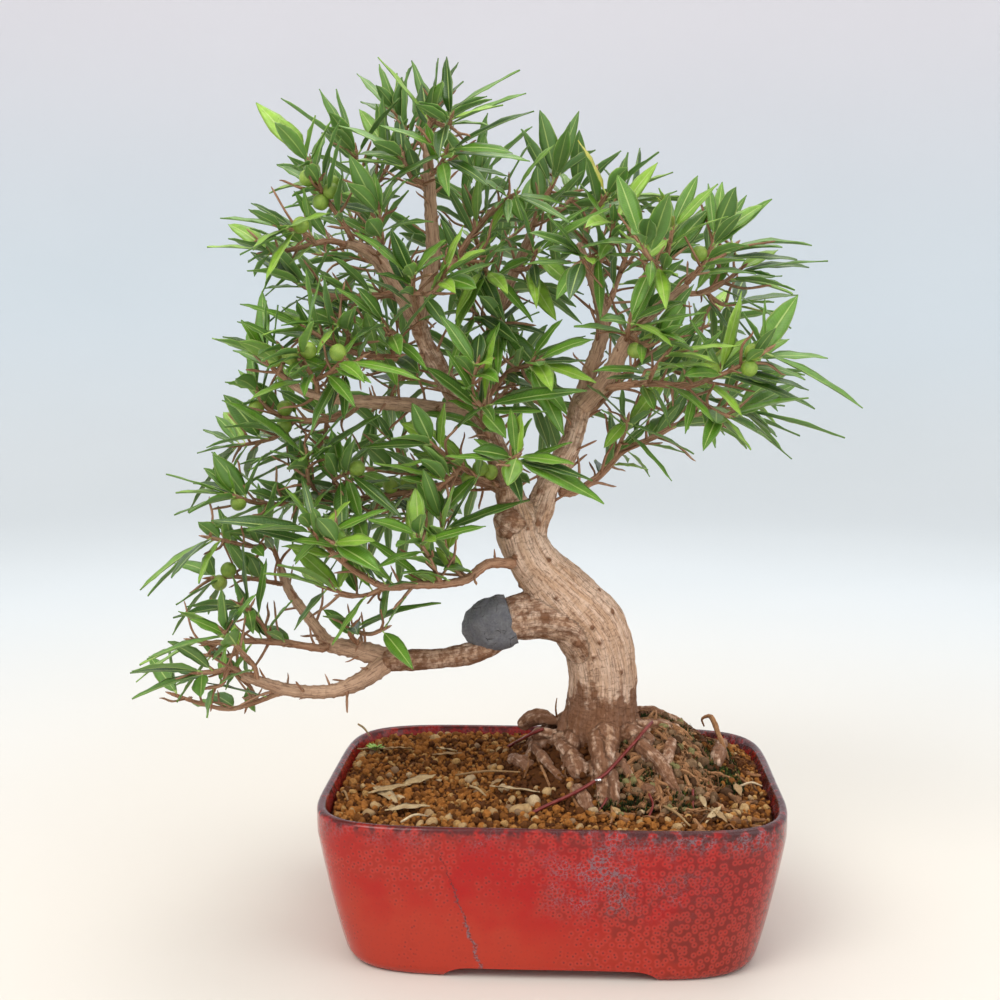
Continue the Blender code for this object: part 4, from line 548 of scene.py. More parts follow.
# Short ends of wire that stand in the soil: places of (column, row, lift, radius).
WIRE_ENDS = (
    ((693, 790, 3.0, 0.6), (693, 806, 1.2, 0.6), (694, 820, -1.0, 0.6)),
    ((649, 794, 3.2, 0.5), (653, 804, 2.6, 0.5), (650, 814, 1.2, 0.5), (645, 824, -1.0, 0.5)),
    ((607, 798, 2.6, 0.5), (603, 805, 1.8, 0.5), (599, 811, 0.2, 0.5)),
)

# Small knots on the trunk's front, as places of the front view.
KNOTS = (
    (592, 627), (594, 657), (599, 590), (615, 704), (578, 645), (556, 598), (621, 672), (611, 612),
    (512, 514), (509, 536), (515, 556), (527, 529), (538, 522), (508, 570), (549, 560), (521, 585),
    (546, 618), (583, 570), (600, 642), (624, 706), (583, 716), (570, 700), (540, 491), (547, 470),
)

# How brown the bark is on the other thick limbs: 0 is as pale as the trunk's.
BROWNED = {"low": 0.55, "left_stem": 0.40, "right_stem": 0.25, "burr": 0.50, "stub": 0.45}

# Up to this height the trunk is soiled, and over this height the soiling fades.
SOILED_TOP = 0.1040
SOILED_FADE = 0.010
SOILED_SWAY = 0.007

# How much deeper than the last place the soil may lie before a root stands clear of it, in millimetres.
DEPTH_JUMP = 9.0
ROOT_BALL_MIDDLE = Vector((0.052, -0.006, 0.0))
MOSS_TRIES = 13000
CHIPS = 9

# Where few leaves are added: under a slanting line of the front view, on the left.
THIN_SHARE = 0.16
THIN_ROW = 555
THIN_COLUMN = 200
THIN_SLOPE = -0.12
THIN_END = 470

# Swellings at the trunk's foot: places of (column, row, depth, radius).
FLARES = (
    ((579, 694, 9, 3.0), (575, 710, 8, 5.2), (571, 728, 7, 6.4), (575, 742, 5, 6.0)),
    ((592, 700, 9, 6.0), (588, 738, 4, 6.4)),
    ((618, 694, 10, 4.0), (622, 708, 9, 5.8), (627, 726, 6, 6.6), (631, 738, 5, 5.6)),
)

# Stout roots over the soil: places of (column, row, lift, radius).
STOUT_ROOTS = (
    ((600, 722, 5.0, 5.2), (599, 745, 3.0, 4.8), (601, 768, 2.0, 4.0), (604, 788, 1.2, 3.4), (603, 806, -1.0, 2.6)),
    ((556, 735, 3.0, 2.4), (540, 733, 3.4, 2.2), (532, 740, 2.6, 2.2), (541, 755, 1.8, 2.1), (552, 768, 1.2, 1.9),
     (563, 779, -1.0, 1.6)),
    ((573, 757, 0.6, 4.0), (577, 768, 0.6, 4.4), (580, 778, -0.5, 3.2)),
    ((560, 742, 3.0, 2.8), (568, 752, 1.6, 3.4), (578, 760, 0.6, 3.2)),
    ((512, 759, -0.4, 2.6), (522, 762, 0.2, 3.2), (530, 770, -1.2, 2.6)),
    ((556, 722, 5.0, 2.6), (543, 716, 6.0, 3.6), (530, 719, 5.0, 3.8), (521, 726, 1.0, 3.2)),
    ((576, 788, 0.4, 3.0), (584, 800, 0.6, 3.5), (588, 812, -1.2, 2.8)),
    ((610, 772, 2.2, 2.6), (614, 786, 2.2, 2.9), (616, 800, 1.0, 2.4), (617, 806, -1.0, 1.8)),
    ((640, 744, 4.0, 3.8), (652, 756, 3.0, 3.4), (663, 770, 2.6, 3.0), (672, 784, 2.0, 2.3), (686, 801, 0.4, 1.2)),
    ((672, 741, 3.4, 2.2), (670, 750, 3.2, 2.8), (665, 764, 0.6, 2.6)),
    ((722, 742, 4.0, 2.2), (719, 752, 3.4, 2.8), (716, 766, 0.2, 2.6)),
    ((628, 733, 3.0, 4.4), (640, 737, 2.0, 4.2), (652, 744, 0.6, 3.6)),
    ((642, 790, 1.6, 2.2), (650, 788, 1.8, 2.6), (656, 794, -0.2, 2.0)),
    ((612, 752, 2.2, 1.8), (621, 762, 2.2, 2.0), (629, 773, 1.2, 1.8), (634, 786, -0.4, 1.3)),
)

# Thin roots that run over the mound or stand up from it: places of (column, row, lift, radius).
THIN_ROOTS = (
    ((643, 728, 1.0, 1.0), (650, 717, 3.0, 0.9), (655, 711, 4.0, 0.7), (656, 716, 4.0, 0.5), (654, 722, 3.0, 0.3)),
    ((649, 726, 1.0, 1.0), (660, 735, 2.2, 1.1), (672, 746, 1.8, 1.3), (680, 758, 0.8, 0.9), (684, 766, -0.5, 0.6)),
    ((728, 762, 0.6, 0.9), (724, 748, 3.0, 0.9), (718, 733, 5.0, 1.1), (713, 720, 6.0, 1.2), (709, 716, 6.0, 0.9),
     (702, 719, 5.0, 0.5), (704, 726, 4.0, 0.35)),
    ((712, 717, 6.0, 0.5), (717, 724, 5.5, 0.45), (719, 732, 5.0, 0.35)),
    ((645, 751, 2.0, 0.9), (655, 753, 2.2, 0.8), (667, 750, 2.0, 0.6)),
    ((640, 757, 2.2, 1.2), (633, 760, 2.4, 1.1), (625, 766, 1.8, 0.9), (618, 764, 1.0, 0.7)),
    ((667, 722, 1.0, 0.8), (674, 727, 2.0, 1.2), (683, 732, 1.6, 1.4), (692, 741, 0.8, 1.0)),
    ((530, 752, 1.4, 0.6), (528, 766, 1.4, 0.5), (524, 778, 0.4, 0.4)),
    ((536, 754, 1.4, 0.6), (542, 768, 1.4, 0.6), (548, 782, 0.8, 0.5), (552, 792, -0.4, 0.4)),
    ((559, 726, 0.4, 0.5), (556, 712, 1.0, 0.4), (556, 704, 1.6, 0.35), (557, 698, 1.6, 0.2)),
    ((572, 782, 1.6, 0.7), (572, 794, 1.2, 0.8), (578, 808, 0.6, 0.7), (583, 818, -0.4, 0.4)),
    ((612, 806, 1.8, 0.6), (612, 818, 1.2, 0.6), (610, 826, 0.2, 0.4)),
    ((655, 783, 2.2, 0.8), (660, 796, 1.8, 0.8), (668, 808, 1.0, 0.7), (675, 816, -0.2, 0.5)),
    ((699, 770, 1.0, 0.7), (706, 776, 1.4, 0.7), (711, 784, 1.2, 0.6), (706, 796, 0.6, 0.4)),
    ((690, 752, 1.6, 1.1), (700, 757, 1.8, 1.4), (708, 766, 1.0, 1.0)),
    ((676, 760, 1.4, 0.8), (684, 768, 1.8, 0.9), (694, 772, 1.2, 0.7)),
    ((735, 770, 0.8, 0.6), (740, 778, 1.2, 0.6), (752, 786, 0.6, 0.4)),
)

# Stones that show in front view: column, row and half size in millimetres.
STONE_PLACES = (
    (345, 748, 2.2), (352, 741, 2.0), (341, 757, 2.4), (350, 764, 2.2), (360, 756, 2.0), (372, 745, 1.8),
    (395, 770, 2.2), (389, 776, 1.8), (352, 812, 2.4), (369, 813, 3.0), (376, 806, 2.2), (392, 808, 2.6),
    (400, 798, 2.0), (504, 788, 2.2), (509, 807, 2.0), (517, 808, 3.6), (525, 808, 3.0), (533, 802, 3.2),
    (547, 792, 2.2), (536, 788, 1.8), (363, 786, 1.6), (640, 822, 1.8), (736, 812, 2.4), (745, 808, 2.6),
    (728, 818, 2.2), (750, 798, 2.2), (668, 820, 1.8), (421, 822, 2.0), (448, 818, 1.8), (476, 812, 2.0),
)

# Dry leaves and stalks that lie on the soil, past the three of the solids: their two ends, and a width.
DRY_LEAVES = (
    ((410, 791), (368, 798), 5.0), ((433, 760), (462, 758), 3.0), ((491, 797), (540, 797), 3.2),
    ((735, 788), (741, 806), 3.6), ((706, 829), (721, 811), 3.4), ((712, 813), (727, 829), 3.2),
    ((358, 728), (392, 738), 3.4), ((386, 735), (412, 736), 3.0), ((437, 744), (457, 756), 2.4),
    ((503, 784), (491, 795), 3.6), ((700, 800), (706, 818), 2.6),
)
DRY_STALKS = (
    ((358, 724), (370, 736)), ((456, 775), (520, 772)), ((342, 792), (348, 800)), ((401, 822), (428, 816)),
    ((740, 786), (762, 786)), ((664, 806), (690, 826)), ((470, 786), (486, 796)),
)
SEEDLING = (375, 752)


def eye_axes() -> tuple[Vector, Vector, Vector]:
    """The front view's own directions: across it, ahead of it and up in it."""
    across = Vector((math.cos(EYE_TURN), math.sin(EYE_TURN), 0.0))
    level = Vector((-math.sin(EYE_TURN), math.cos(EYE_TURN), 0.0))
    ahead = level * math.cos(EYE_TILT) - UP * math.sin(EYE_TILT)
    above = level * math.sin(EYE_TILT) + UP * math.cos(EYE_TILT)
    return across, ahead, above


def sight(column: float, row: float, depth: float) -> Vector:
    """Finds the point that shows at a place of the front view.

    Args:
        column: the place's column, from the left.
        row: its row, from the top.
        depth: millimetres behind the middle of the pot.

    Returns:
        The point in the pot's frame, in metres.
    """
    across, ahead, above = eye_axes()
    ray = ahead + across * (column - EYE_COLUMN) / EYE_REACH + above * (EYE_ROW - row) / EYE_REACH
    return EYE + ray * (depth * MM - EYE.y) / ray.y


def seen_at(point: Vector) -> tuple[float, float]:
    """The column and row of the front view where a point shows."""
    across, ahead, above = eye_axes()
    offset = point - EYE
    scale = EYE_REACH / offset.dot(ahead)
    return EYE_COLUMN + offset.dot(across) * scale, EYE_ROW - offset.dot(above) * scale


def in_crown(point: Vector) -> bool:
    """Whether a point shows inside the crown's outline in the front view."""
    column, row = seen_at(point)
    inside = False
    for (x0, y0), (x1, y1) in zip(CROWN, CROWN[1:] + CROWN[:1]):
        if (y0 > row) != (y1 > row) and column < x0 + (x1 - x0) * (row - y0) / (y1 - y0):
            inside = not inside
    return inside


def smooth(knots: Iterable, steps: int) -> np.ndarray:
    """Rounds a route.

    Args:
        knots: rows of numbers, such as places with their radii.
        steps: points to each span between two knots.

    Returns:
        Points on the Catmull-Rom curve through the knots.
    """
    knots = np.asarray(knots, float)
    ends = np.vstack([2 * knots[0] - knots[1], knots, 2 * knots[-1] - knots[-2]])
    rows = []
    for a, b, c, d in zip(ends, ends[1:], ends[2:], ends[3:]):
        for step in range(steps):
            t = step / steps
            bend = 2 * a - 5 * b + 4 * c - d
            rows.append(b + 0.5 * t * ((c - a) + t * (bend + t * (3 * b - a - 3 * c + d))))
    rows.append(knots[-1])
    return np.array(rows)


class Axis:
    """The middle line of a round stem, with its radius at each point."""

    def __init__(self, knots: Iterable, steps: int) -> None:
        """Rounds the knots, each a place with a radius, and measures along them."""
        self.knots = np.asarray(knots, float)
        rows = smooth(self.knots, steps)
        self.points = [Vector(row[:3]) for row in rows]
        self.radii = [float(row[3]) for row in rows]
        self.along = [0.0]
        for a, b in zip(self.points, self.points[1:]):
            self.along.append(self.along[-1] + (b - a).length)

    @property
    def length(self) -> float:
        """How long the stem is."""
        return self.along[-1]

    def finer(self, steps: int) -> Axis:
        """The same route with other steps."""
        return Axis(self.knots, steps)

    def at(self, distance: float) -> tuple[Vector, Vector, float]:
        """Reads the axis at a distance from its start.

        Args:
            distance: metres from the start.

        Returns:
            The point, the direction and the radius there.
        """
        distance = min(max(distance, 0.0), self.length)
        i = 0
        while i < len(self.along) - 2 and self.along[i + 1] < distance:
            i += 1
        span = self.points[i + 1] - self.points[i]
        t = (distance - self.along[i]) / max(span.length, 1e-9)
        radius = self.radii[i] + (self.radii[i + 1] - self.radii[i]) * t
        return self.points[i] + span * t, span.normalized(), radius

    def nearest(self, target: Vector) -> float:
        """How far along the axis lies its nearest point to the target."""
        best = (math.inf, 0.0)
        for a, b, start in zip(self.points, self.points[1:], self.along):
            span = b - a
            t = min(max((target - a).dot(span) / span.length_squared, 0.0), 1.0)
            best = min(best, ((a + span * t - target).length, start + t * span.length))
        return best[1]


@dataclass
class Leaf:
    """A blade that leaves its base along reach and sags, with its upper face towards face."""

    base: Vector
    reach: Vector
    face: Vector
    width: float
    sag: float
    fold: float

    def spine(self, t: float) -> Vector:
        """The point on the midrib at t from base to tip."""
        return self.base + self.reach * t - UP * (self.sag * t * t)

    def cross(self, t: float) -> tuple[Vector, Vector]:
        """The direction across the blade and its upper normal, at t from base to tip."""
        tangent = (self.reach - UP * (2 * self.sag * t)).normalized()
        side = tangent.cross(self.face).normalized()
        return side, side.cross(tangent)

    def half_width(self, t: float) -> float:
        """Half the blade's width at t from base to tip."""
        u = max((t - 0.07) / 0.93, 0.0)
        return self.width / 2 * math.sin(math.pi * min(u, 1.0) ** 0.8) ** 0.85


class Clearance:
    """Round samples of what is placed already, which later growth stays clear of."""

    def __init__(self) -> None:
        """Starts with nothing placed."""
        self.points = np.empty((0, 3))
        self.radii = np.empty(0)
        self.owners = np.empty(0, int)

    def add(self, owner: int, points: list, radii: list) -> None:
        """Takes in an owner's samples."""
        self.points = np.vstack([self.points, points])
        self.radii = np.concatenate([self.radii, radii])
        self.owners = np.concatenate([self.owners, np.full(len(points), owner)])

    def free(self, owner: int, points: list, radii: list, gap: float = 0.0004,
             own_gap: float | None = None) -> bool:
        """Tests whether samples are clear of what is placed.

        Args:
            owner: the spray that the samples belong to.
            points: their middles.
            radii: their radii.
            gap: what they keep to other owners' samples.
            own_gap: what they keep to their own owner's samples, or None for no test.

        Returns:
            True if both gaps are kept.
        """
        points, radii = np.array(points), np.array(radii)
        margin = self.radii.max(initial=0.0) + radii.max() + gap
        near = ((self.points > points.min(0) - margin) & (self.points < points.max(0) + margin)).all(1)
        for mine in (False, True):
            if mine and own_gap is None:
                continue
            chosen = near & ((self.owners == owner) == mine)
            apart = np.linalg.norm(points[:, None] - self.points[chosen][None], axis=2)
            reach = radii[:, None] + self.radii[chosen][None] + (own_gap if mine else gap)
            if (apart < reach).any():
                return False
        return True


def axis_samples(axis: Axis, skip: float = 0.0) -> tuple[list, list]:
    """Samples down an axis, closer than its radius, from skip onwards."""
    points, radii = [], []
    distance = skip
    while distance <= axis.length:
        point, _, radius = axis.at(distance)
        points.append(tuple(point))
        radii.append(radius)
        distance += max(0.8 * radius, 0.0008)
    return points, radii


def leaf_samples(leaf: Leaf) -> tuple[list, list]:
    """Samples in three rows over a blade, from past its stalk to its tip."""
    points, radii = [], []
    for step in range(2, 11):
        t = step / 10
        middle = leaf.spine(t)
        side, _ = leaf.cross(t)
        for row in (-0.75, 0.0, 0.75):
            points.append(tuple(middle + side * (row * leaf.half_width(t))))
            radii.append(BLADE_REACH)
    return points, radii


def limb_axis(limb: Limb, steps: int) -> Axis:
    """The axis of a limb, with this many steps to each span of its route."""
    return Axis([(*sight(c, r, d), radius * MM) for c, r, d, radius in limb.route], steps)


def bark_distance(point: Vector, limbs: dict[str, Axis]) -> float:
    """How far a point lies outside the bark of every limb, whose ends are flat."""
    nearest = math.inf
    for axis in limbs.values():
        distance = axis.nearest(point)
        middle, direction, radius = axis.at(distance)
        offset = point - middle
        along = offset.dot(direction)
        beside = (offset - direction * along).length
        if distance in (0.0, axis.length):
            outside = math.hypot(max(beside - radius, 0.0), along)
        else:
            outside = offset.length - radius
        nearest = min(nearest, outside)
    return nearest


def seat(limbs: dict[str, Axis], name: str, target: Vector, radius: float) -> Vector:
    """Finds where a twig starts on its limb.

    Args:
        limbs: every limb's axis.
        name: the limb that carries the twig.
        target: the first place of the twig's route.
        radius: the twig's radius.

    Returns:
        The twig's start, with its end GAP clear of all bark.
    """
    axis = limbs[name]
    distance = axis.nearest(target)
    lean = SEAT_LEAN * (target - axis.at(distance)[0]).length
    point = axis.at(max(distance - lean, 0.05 * axis.length))[0]
    heading = (target - point).normalized()
    across = heading.orthogonal().normalized() * radius
    rim = [across, -across, heading.cross(across), across.cross(heading)]
    while min(bark_distance(point + offset, limbs) for offset in rim) < GAP:
        point = point + heading * SEAT_STEP
    return point


def shoot_axis(start: Vector, shoot: Shoot, radius: float, end_radius: float, bend: Vector) -> Axis:
    """The axis of a shoot from its start through its route, with the route's middle moved by bend."""
    places = [sight(*place) for place in shoot.route]
    knots = [start, *[place + bend for place in places[:-1]], places[-1] + bend * 0.4]
    count = len(knots) - 1
    radii = [radius + (end_radius - radius) * i / count for i in range(count + 1)]
    return Axis([(*knot, r) for knot, r in zip(knots, radii)], 2)


def bends() -> Iterator[Vector]:
    """No bend first, then wider and wider ones all round, to try in turn."""
    yield Vector()
    for turn in range(1, 26):
        angle = turn * GOLDEN_TURN
        yield Vector((math.cos(angle) * 0.5, math.sin(angle), math.sin(angle * 1.7) * 0.6)) * (BEND_STEP * turn)


def grow_axis(owner: int, start: Vector, shoot: Shoot, radius: float, clearance: Clearance,
              skip: float) -> Axis:
    """A shoot's axis, bent until it keeps clear of all that other sprays and limbs hold."""
    for bend in bends():
        axis = shoot_axis(start, shoot, radius, TWIG_TIP_RADIUS, bend)
        if clearance.free(owner, *axis_samples(axis, skip)):
            return axis
    return shoot_axis(start, shoot, radius, TWIG_TIP_RADIUS, Vector())


def grow_twigs(spray: Spray, owner: int, limbs: dict[str, Axis], clearance: Clearance) -> list[Axis]:
    """The axes of a spray's shoots: the first from its limb, the others from the first."""
    radius = spray.radius * MM
    first = spray.shoots[0]
    start = seat(limbs, spray.limb, sight(*first.route[0]), radius)
    main_axis = grow_axis(owner, start, first, radius, clearance, 0.003)
    axes = [main_axis]
    for shoot in spray.shoots[1:]:
        target = sight(*shoot.route[0])
        distance = main_axis.nearest(target)
        reach = (target - main_axis.at(distance)[0]).length
        root = main_axis.at(max(distance - 0.5 * reach, 0.1 * main_axis.length))[0]
        axes.append(grow_axis(owner, root, shoot, SIDE_TWIG_RADIUS, clearance, 0.002))
    for axis in axes:
        clearance.add(owner, *axis_samples(axis))
    return axes


def leaf_face(place: Vector, heading: Vector) -> Vector:
    """The upward side of a leaf: up, and out from the middle of the crown."""
    outward = Vector((place.x * 0.6, place.y - 0.012, 0.0))
    outward = outward.normalized() if outward.length > 0.001 else Vector((0, -1, 0))
    face = UP * 0.85 + outward * 0.55
    face -= heading * face.dot(heading)
    return face.normalized()


def frames_along(points: list[Vector]) -> list[tuple[Vector, Vector, Vector]]:
    """A direction, and two directions square to it, at each point, without needless turning."""
    tangents = []
    for i in range(len(points)):
        tangents.append((points[min(i + 1, len(points) - 1)] - points[max(i - 1, 0)]).normalized())
    side = tangents[0].cross(Vector((0.3, 0.9, 0.2))).normalized()
    rows = []
    for tangent in tangents:
        side = (side - tangent * side.dot(tangent)).normalized()
        rows.append((tangent, side, tangent.cross(side)))
    return rows


class Stem:
    """A shoot's tube of rings. Any side face of its last rings can carry one leaf."""

    def __init__(self, axis: Axis, shoot: Shoot, sides: int) -> None:
        """Lays out the rings, a denser row of them where leaves stand."""
        self.axis = axis
        self.sides = sides
        self.nodes = max(math.ceil((shoot.leaves + len(shoot.tips)) / LEAVES_PER_NODE), 1)
        self.leafy = min(self.nodes * NODE_LENGTH, 0.6 * axis.length)
        marks = [mark for mark in axis.along[::2] if mark < axis.length - self.leafy - 0.002]
        marks += [axis.length - self.leafy * i / self.nodes for i in range(self.nodes, -1, -1)]
        rows = [axis.at(mark) for mark in marks]
        self.points = [row[0] for row in rows]
        self.radii = [row[2] for row in rows]
        self.leaves: dict[tuple[int, int], Leaf] = {}
        self.verts: list[Vector] = []
        frames = frames_along(self.points)
        for point, radius, (_, side, other) in zip(self.points, self.radii, frames):
            for i in range(sides):
                angle = math.tau * (i + 0.5) / sides
                self.verts.append(point + (side * math.cos(angle) + other * math.sin(angle)) * radius)
        self.tip = self.points[-1] + frames[-1][0] * BUD_LENGTH

    def spots(self) -> Iterator[tuple[int, int]]:
        """The faces that can carry a leaf, from the tip back, in an order that goes round the stem."""
        last = len(self.points) - 2
        for back in range(self.nodes):
            for turn in range(self.sides):
                spot = (last - back, (2 * turn + turn // 2 + back) % self.sides)
                if spot not in self.leaves:
                    yield spot

    def corners(self, spot: tuple[int, int]) -> tuple[int, int, int, int]:
        """The four corners of a side face, anticlockwise from outside."""
        a = spot[0] * self.sides + spot[1]
        b = spot[0] * self.sides + (spot[1] + 1) % self.sides
        return (a, b, b + self.sides, a + self.sides)

    def outward(self, spot: tuple[int, int]) -> tuple[Vector, Vector, Vector]:
        """The middle of a side face, the direction out of it, and the one along the stem."""
        corners = [self.verts[i] for i in self.corners(spot)]
        middle = sum(corners, Vector()) / 4
        along = (corners[2] + corners[3] - corners[0] - corners[1]).normalized()
        return middle, (corners[1] - corners[0]).cross(along).normalized(), along

    def bare_shell(self) -> tuple[list, list]:
        """The tube without its leaves, ending in a pointed bud, to test what crosses it."""
        verts, faces = list(self.verts), [tuple(reversed(range(self.sides)))]
        for ring in range(len(self.points) - 1):
            for turn in range(self.sides):
                faces.append(self.corners((ring, turn)))
        end = (len(self.points) - 1) * self.sides
        verts.append(self.tip)
        for i in range(self.sides):
            faces.append((end + i, end + (i + 1) % self.sides, len(verts) - 1))
        return verts, faces


def stations(width: float) -> tuple[float, ...]:
    """Where along a blade of the solids its sections stand, more of them on a broad one."""
    if width < NARROW_LEAF:
        return (0.42,)
    return (0.33, 0.68) if width < BROAD_LEAF else (0.17, 0.42, 0.74)


def blade_rings(leaf: Leaf) -> tuple[list, Vector]:
    """The sections of a solid's blade as rings of four corners, and its tip."""
    rings = []
    for t in stations(leaf.width):
        middle = leaf.spine(t)
        side, normal = leaf.cross(t)
        half = leaf.half_width(t)
        lift = normal * half * math.tan(leaf.fold)
        rib = normal * BLADE_THICK / 2
        rings.append([middle + side * half + lift, middle - rib, middle - side * half + lift, middle + rib])
    return rings, leaf.spine(1.0)


def band(low: range, high: range) -> Iterator[tuple[int, int, int]]:
    """Two triangles between each pair of corners of two rings."""
    for i in range(4):
        j = (i + 1) % 4
        yield (low[i], low[j], high[j])
        yield (low[i], high[j], high[i])


def trial_shell(leaf: Leaf) -> tuple[list, list]:
    """A blade by itself, from just off its stem to its tip, to test where it crosses others."""
    rings, tip = blade_rings(leaf)
    start = leaf.spine(0.05)
    rings.insert(0, [start + (place - leaf.spine(0.3)) * 0.15 for place in rings[0]])
    verts = [place for ring in rings for place in ring] + [tip]
    faces: list[tuple[int, int, int]] = []
    for ring in range(len(rings) - 1):
        faces.extend(band(range(4 * ring, 4 * ring + 4), range(4 * ring + 4, 4 * ring + 8)))
    last = len(verts) - 5
    for i in range(4):
        faces.append((last + i, last + (i + 1) % 4, len(verts) - 1))
    return verts, faces


class Growth:
    """Grows the leaves of one spray on its stems, clear of everything else."""

    def __init__(self, owner: int, stems: list[Stem], clearance: Clearance) -> None:
        """Takes the stems, with a draw of random numbers of this spray's own."""
        self.owner = owner
        self.stems = stems
        self.clearance = clearance
        self.random = random.Random(100 + owner)
        self.trees = [BVHTree.FromPolygons(*stem.bare_shell()) for stem in stems]

    def fits(self, leaf: Leaf, own_gap: float) -> bool:
        """Whether a leaf is off the soil, clear of other pieces and crosses nothing of its own spray."""
        if leaf.spine(1.0).z < LOWEST_LEAF:
            return False
        if not self.clearance.free(self.owner, *leaf_samples(leaf), LEAF_GAP, own_gap):
            return False
        tree = BVHTree.FromPolygons(*trial_shell(leaf))
        return not any(tree.overlap(other) for other in self.trees)

    def keep(self, stem: Stem, spot: tuple[int, int], leaf: Leaf) -> None:
        """Puts a leaf on a face of a stem."""
        stem.leaves[spot] = leaf
        self.clearance.add(self.owner, *leaf_samples(leaf))
        self.trees.append(BVHTree.FromPolygons(*trial_shell(leaf)))

    def chosen_leaf(self, stem: Stem, tip: tuple) -> None:
        """A leaf whose tip shows at a chosen place, on the face that looks towards it best."""
        width = (tip[2] if len(tip) > 2 else self.random.uniform(5.6, 7.0)) * MM
        sag = self.random.uniform(0.04, 0.14)
        fold = self.random.uniform(0.15, 0.4)
        depth = self.random.uniform(-7, 5)
        for _ in range(TRIES_CHOSEN):
            end = sight(tip[0], tip[1], stem.tip.y / MM + depth)
            scored = []
            for spot in stem.spots():
                base, outward, along = stem.outward(spot)
                heading = (end - base).normalized()
                near = (stem.tip - base).length
                scored.append((heading.dot(outward) + 0.5 * heading.dot(along) - 25 * near, spot, base))
            for _, spot, base in sorted(scored, reverse=True)[:4]:
                chord = end - base
                drop = chord.length * sag
                reach = chord + UP * drop
                leaf = Leaf(base, reach, leaf_face(base, reach.normalized()), width, drop, fold)
                if self.fits(leaf, OWN_GAP_CHOSEN):
                    self.keep(stem, spot, leaf)
                    return
            depth = self.random.uniform(-16, 14)

    def ruled_leaf(self, stem: Stem) -> None:
        """A leaf on the next face round the stem that has room for one."""
        length = self.random.uniform(0.025, 0.037)
        width = self.random.uniform(0.0058, 0.0078)
        sag = self.random.uniform(0.06, 0.22)
        fold = self.random.uniform(0.15, 0.45)
        for spot in list(stem.spots()):
            base, outward, along = stem.outward(spot)
            back = len(stem.points) - 2 - spot[0]
            for attempt in range(3):
                opening = math.radians(38 + 9 * back + 14 * attempt)
                swing = self.random.uniform(-0.35, 0.35)
                twist = outward.cross(along) * swing
                heading = (along * math.cos(opening) + (outward + twist) * math.sin(opening)).normalized()
                reach = heading * (length * (1 - 0.06 * attempt))
                leaf = Leaf(base, reach, leaf_face(base, heading), width, length * sag, fold)
                if in_crown(leaf.spine(1.0)) and self.fits(leaf, OWN_GAP_RULED):
                    self.keep(stem, spot, leaf)
                    return

    def grow(self, shoots: tuple[Shoot, ...]) -> None:
        """Places the chosen leaves of all shoots, then those that a rule places."""
        for stem, shoot in zip(self.stems, shoots):
            for tip in shoot.tips:
                self.chosen_leaf(stem, tip)
        for stem, shoot in zip(self.stems, shoots):
            for _ in range(shoot.leaves):
                self.ruled_leaf(stem)


def fig_places(spray: Spray, owner: int, axes: list[Axis], clearance: Clearance) -> list[tuple[Vector, Vector]]:
    """Seats the figs of a spray against its nearest twigs.

    Args:
        spray: the spray that carries them.
        owner: its number.
        axes: the axes of its twigs.
        clearance: what is placed already.

    Returns:
        The middle of each fig that has room, with the direction from its twig.
    """
    places = []
    for column, row in spray.figs:
        best = None
        for axis in axes:
            for point, radius in zip(axis.points, axis.radii):
                offset = sight(column, row, point.y / MM) - point
                if best is None or offset.length < best[0]:
                    best = (offset.length, point, offset, radius)
        _, point, offset, radius = best
        toward = offset.normalized() if offset.length > 0.0005 else -UP
        for way in (toward, toward - UP, toward - Vector((0, 1, 0)), toward + UP, -UP):
            place = point + way.normalized() * (radius + FIG_SEAT * FIG_RADIUS)
            if clearance.free(owner, [tuple(place)], [FIG_RADIUS], GAP, -0.6 * FIG_RADIUS):
                clearance.add(owner, [tuple(place)], [FIG_RADIUS])
                places.append((place, way.normalized()))
                break
    return places


@dataclass
class GrownSpray:
    """A spray with its grown stems, figs and the leaves that are added past those of the solids."""

    spray: Spray
    owner: int
    axes: list[Axis]
    stems: list[Stem]
    figs: list[tuple[Vector, Vector]]
    added: list[Leaf] = field(default_factory=list)


def grow_crown(limbs: dict[str, Axis], clearance: Clearance) -> list[GrownSpray]:
    """Grows every spray's twigs, then its figs, then its leaves, each clear of what is there."""
    for number, axis in enumerate(limbs.values()):
        clearance.add(-1 - number, *axis_samples(axis))
    grown = [grow_twigs(spray, owner, limbs, clearance) for owner, spray in enumerate(SPRAYS)]
    fruit = []
    for owner, (spray, axes) in enumerate(zip(SPRAYS, grown)):
        fruit.append(fig_places(spray, owner, axes, clearance))
    crown = []
    for owner, (spray, axes) in enumerate(zip(SPRAYS, grown)):
        stems = []
        for axis, shoot in zip(axes, spray.shoots):
            stems.append(Stem(axis, shoot, 4 if axis is axes[0] else 3))
        Growth(owner, stems, clearance).grow(spray.shoots)
        crown.append(GrownSpray(spray, owner, axes, stems, fruit[owner]))
    return crown


def in_pot(x: float, y: float, z: float) -> Vector:
    """A place in the pot's own, turned frame as one in the model's."""
    return Vector((
        POT_CENTRE.x + x * math.cos(POT_TURN) - y * math.sin(POT_TURN),
        POT_CENTRE.y + x * math.sin(POT_TURN) + y * math.cos(POT_TURN),
        z,
    ))


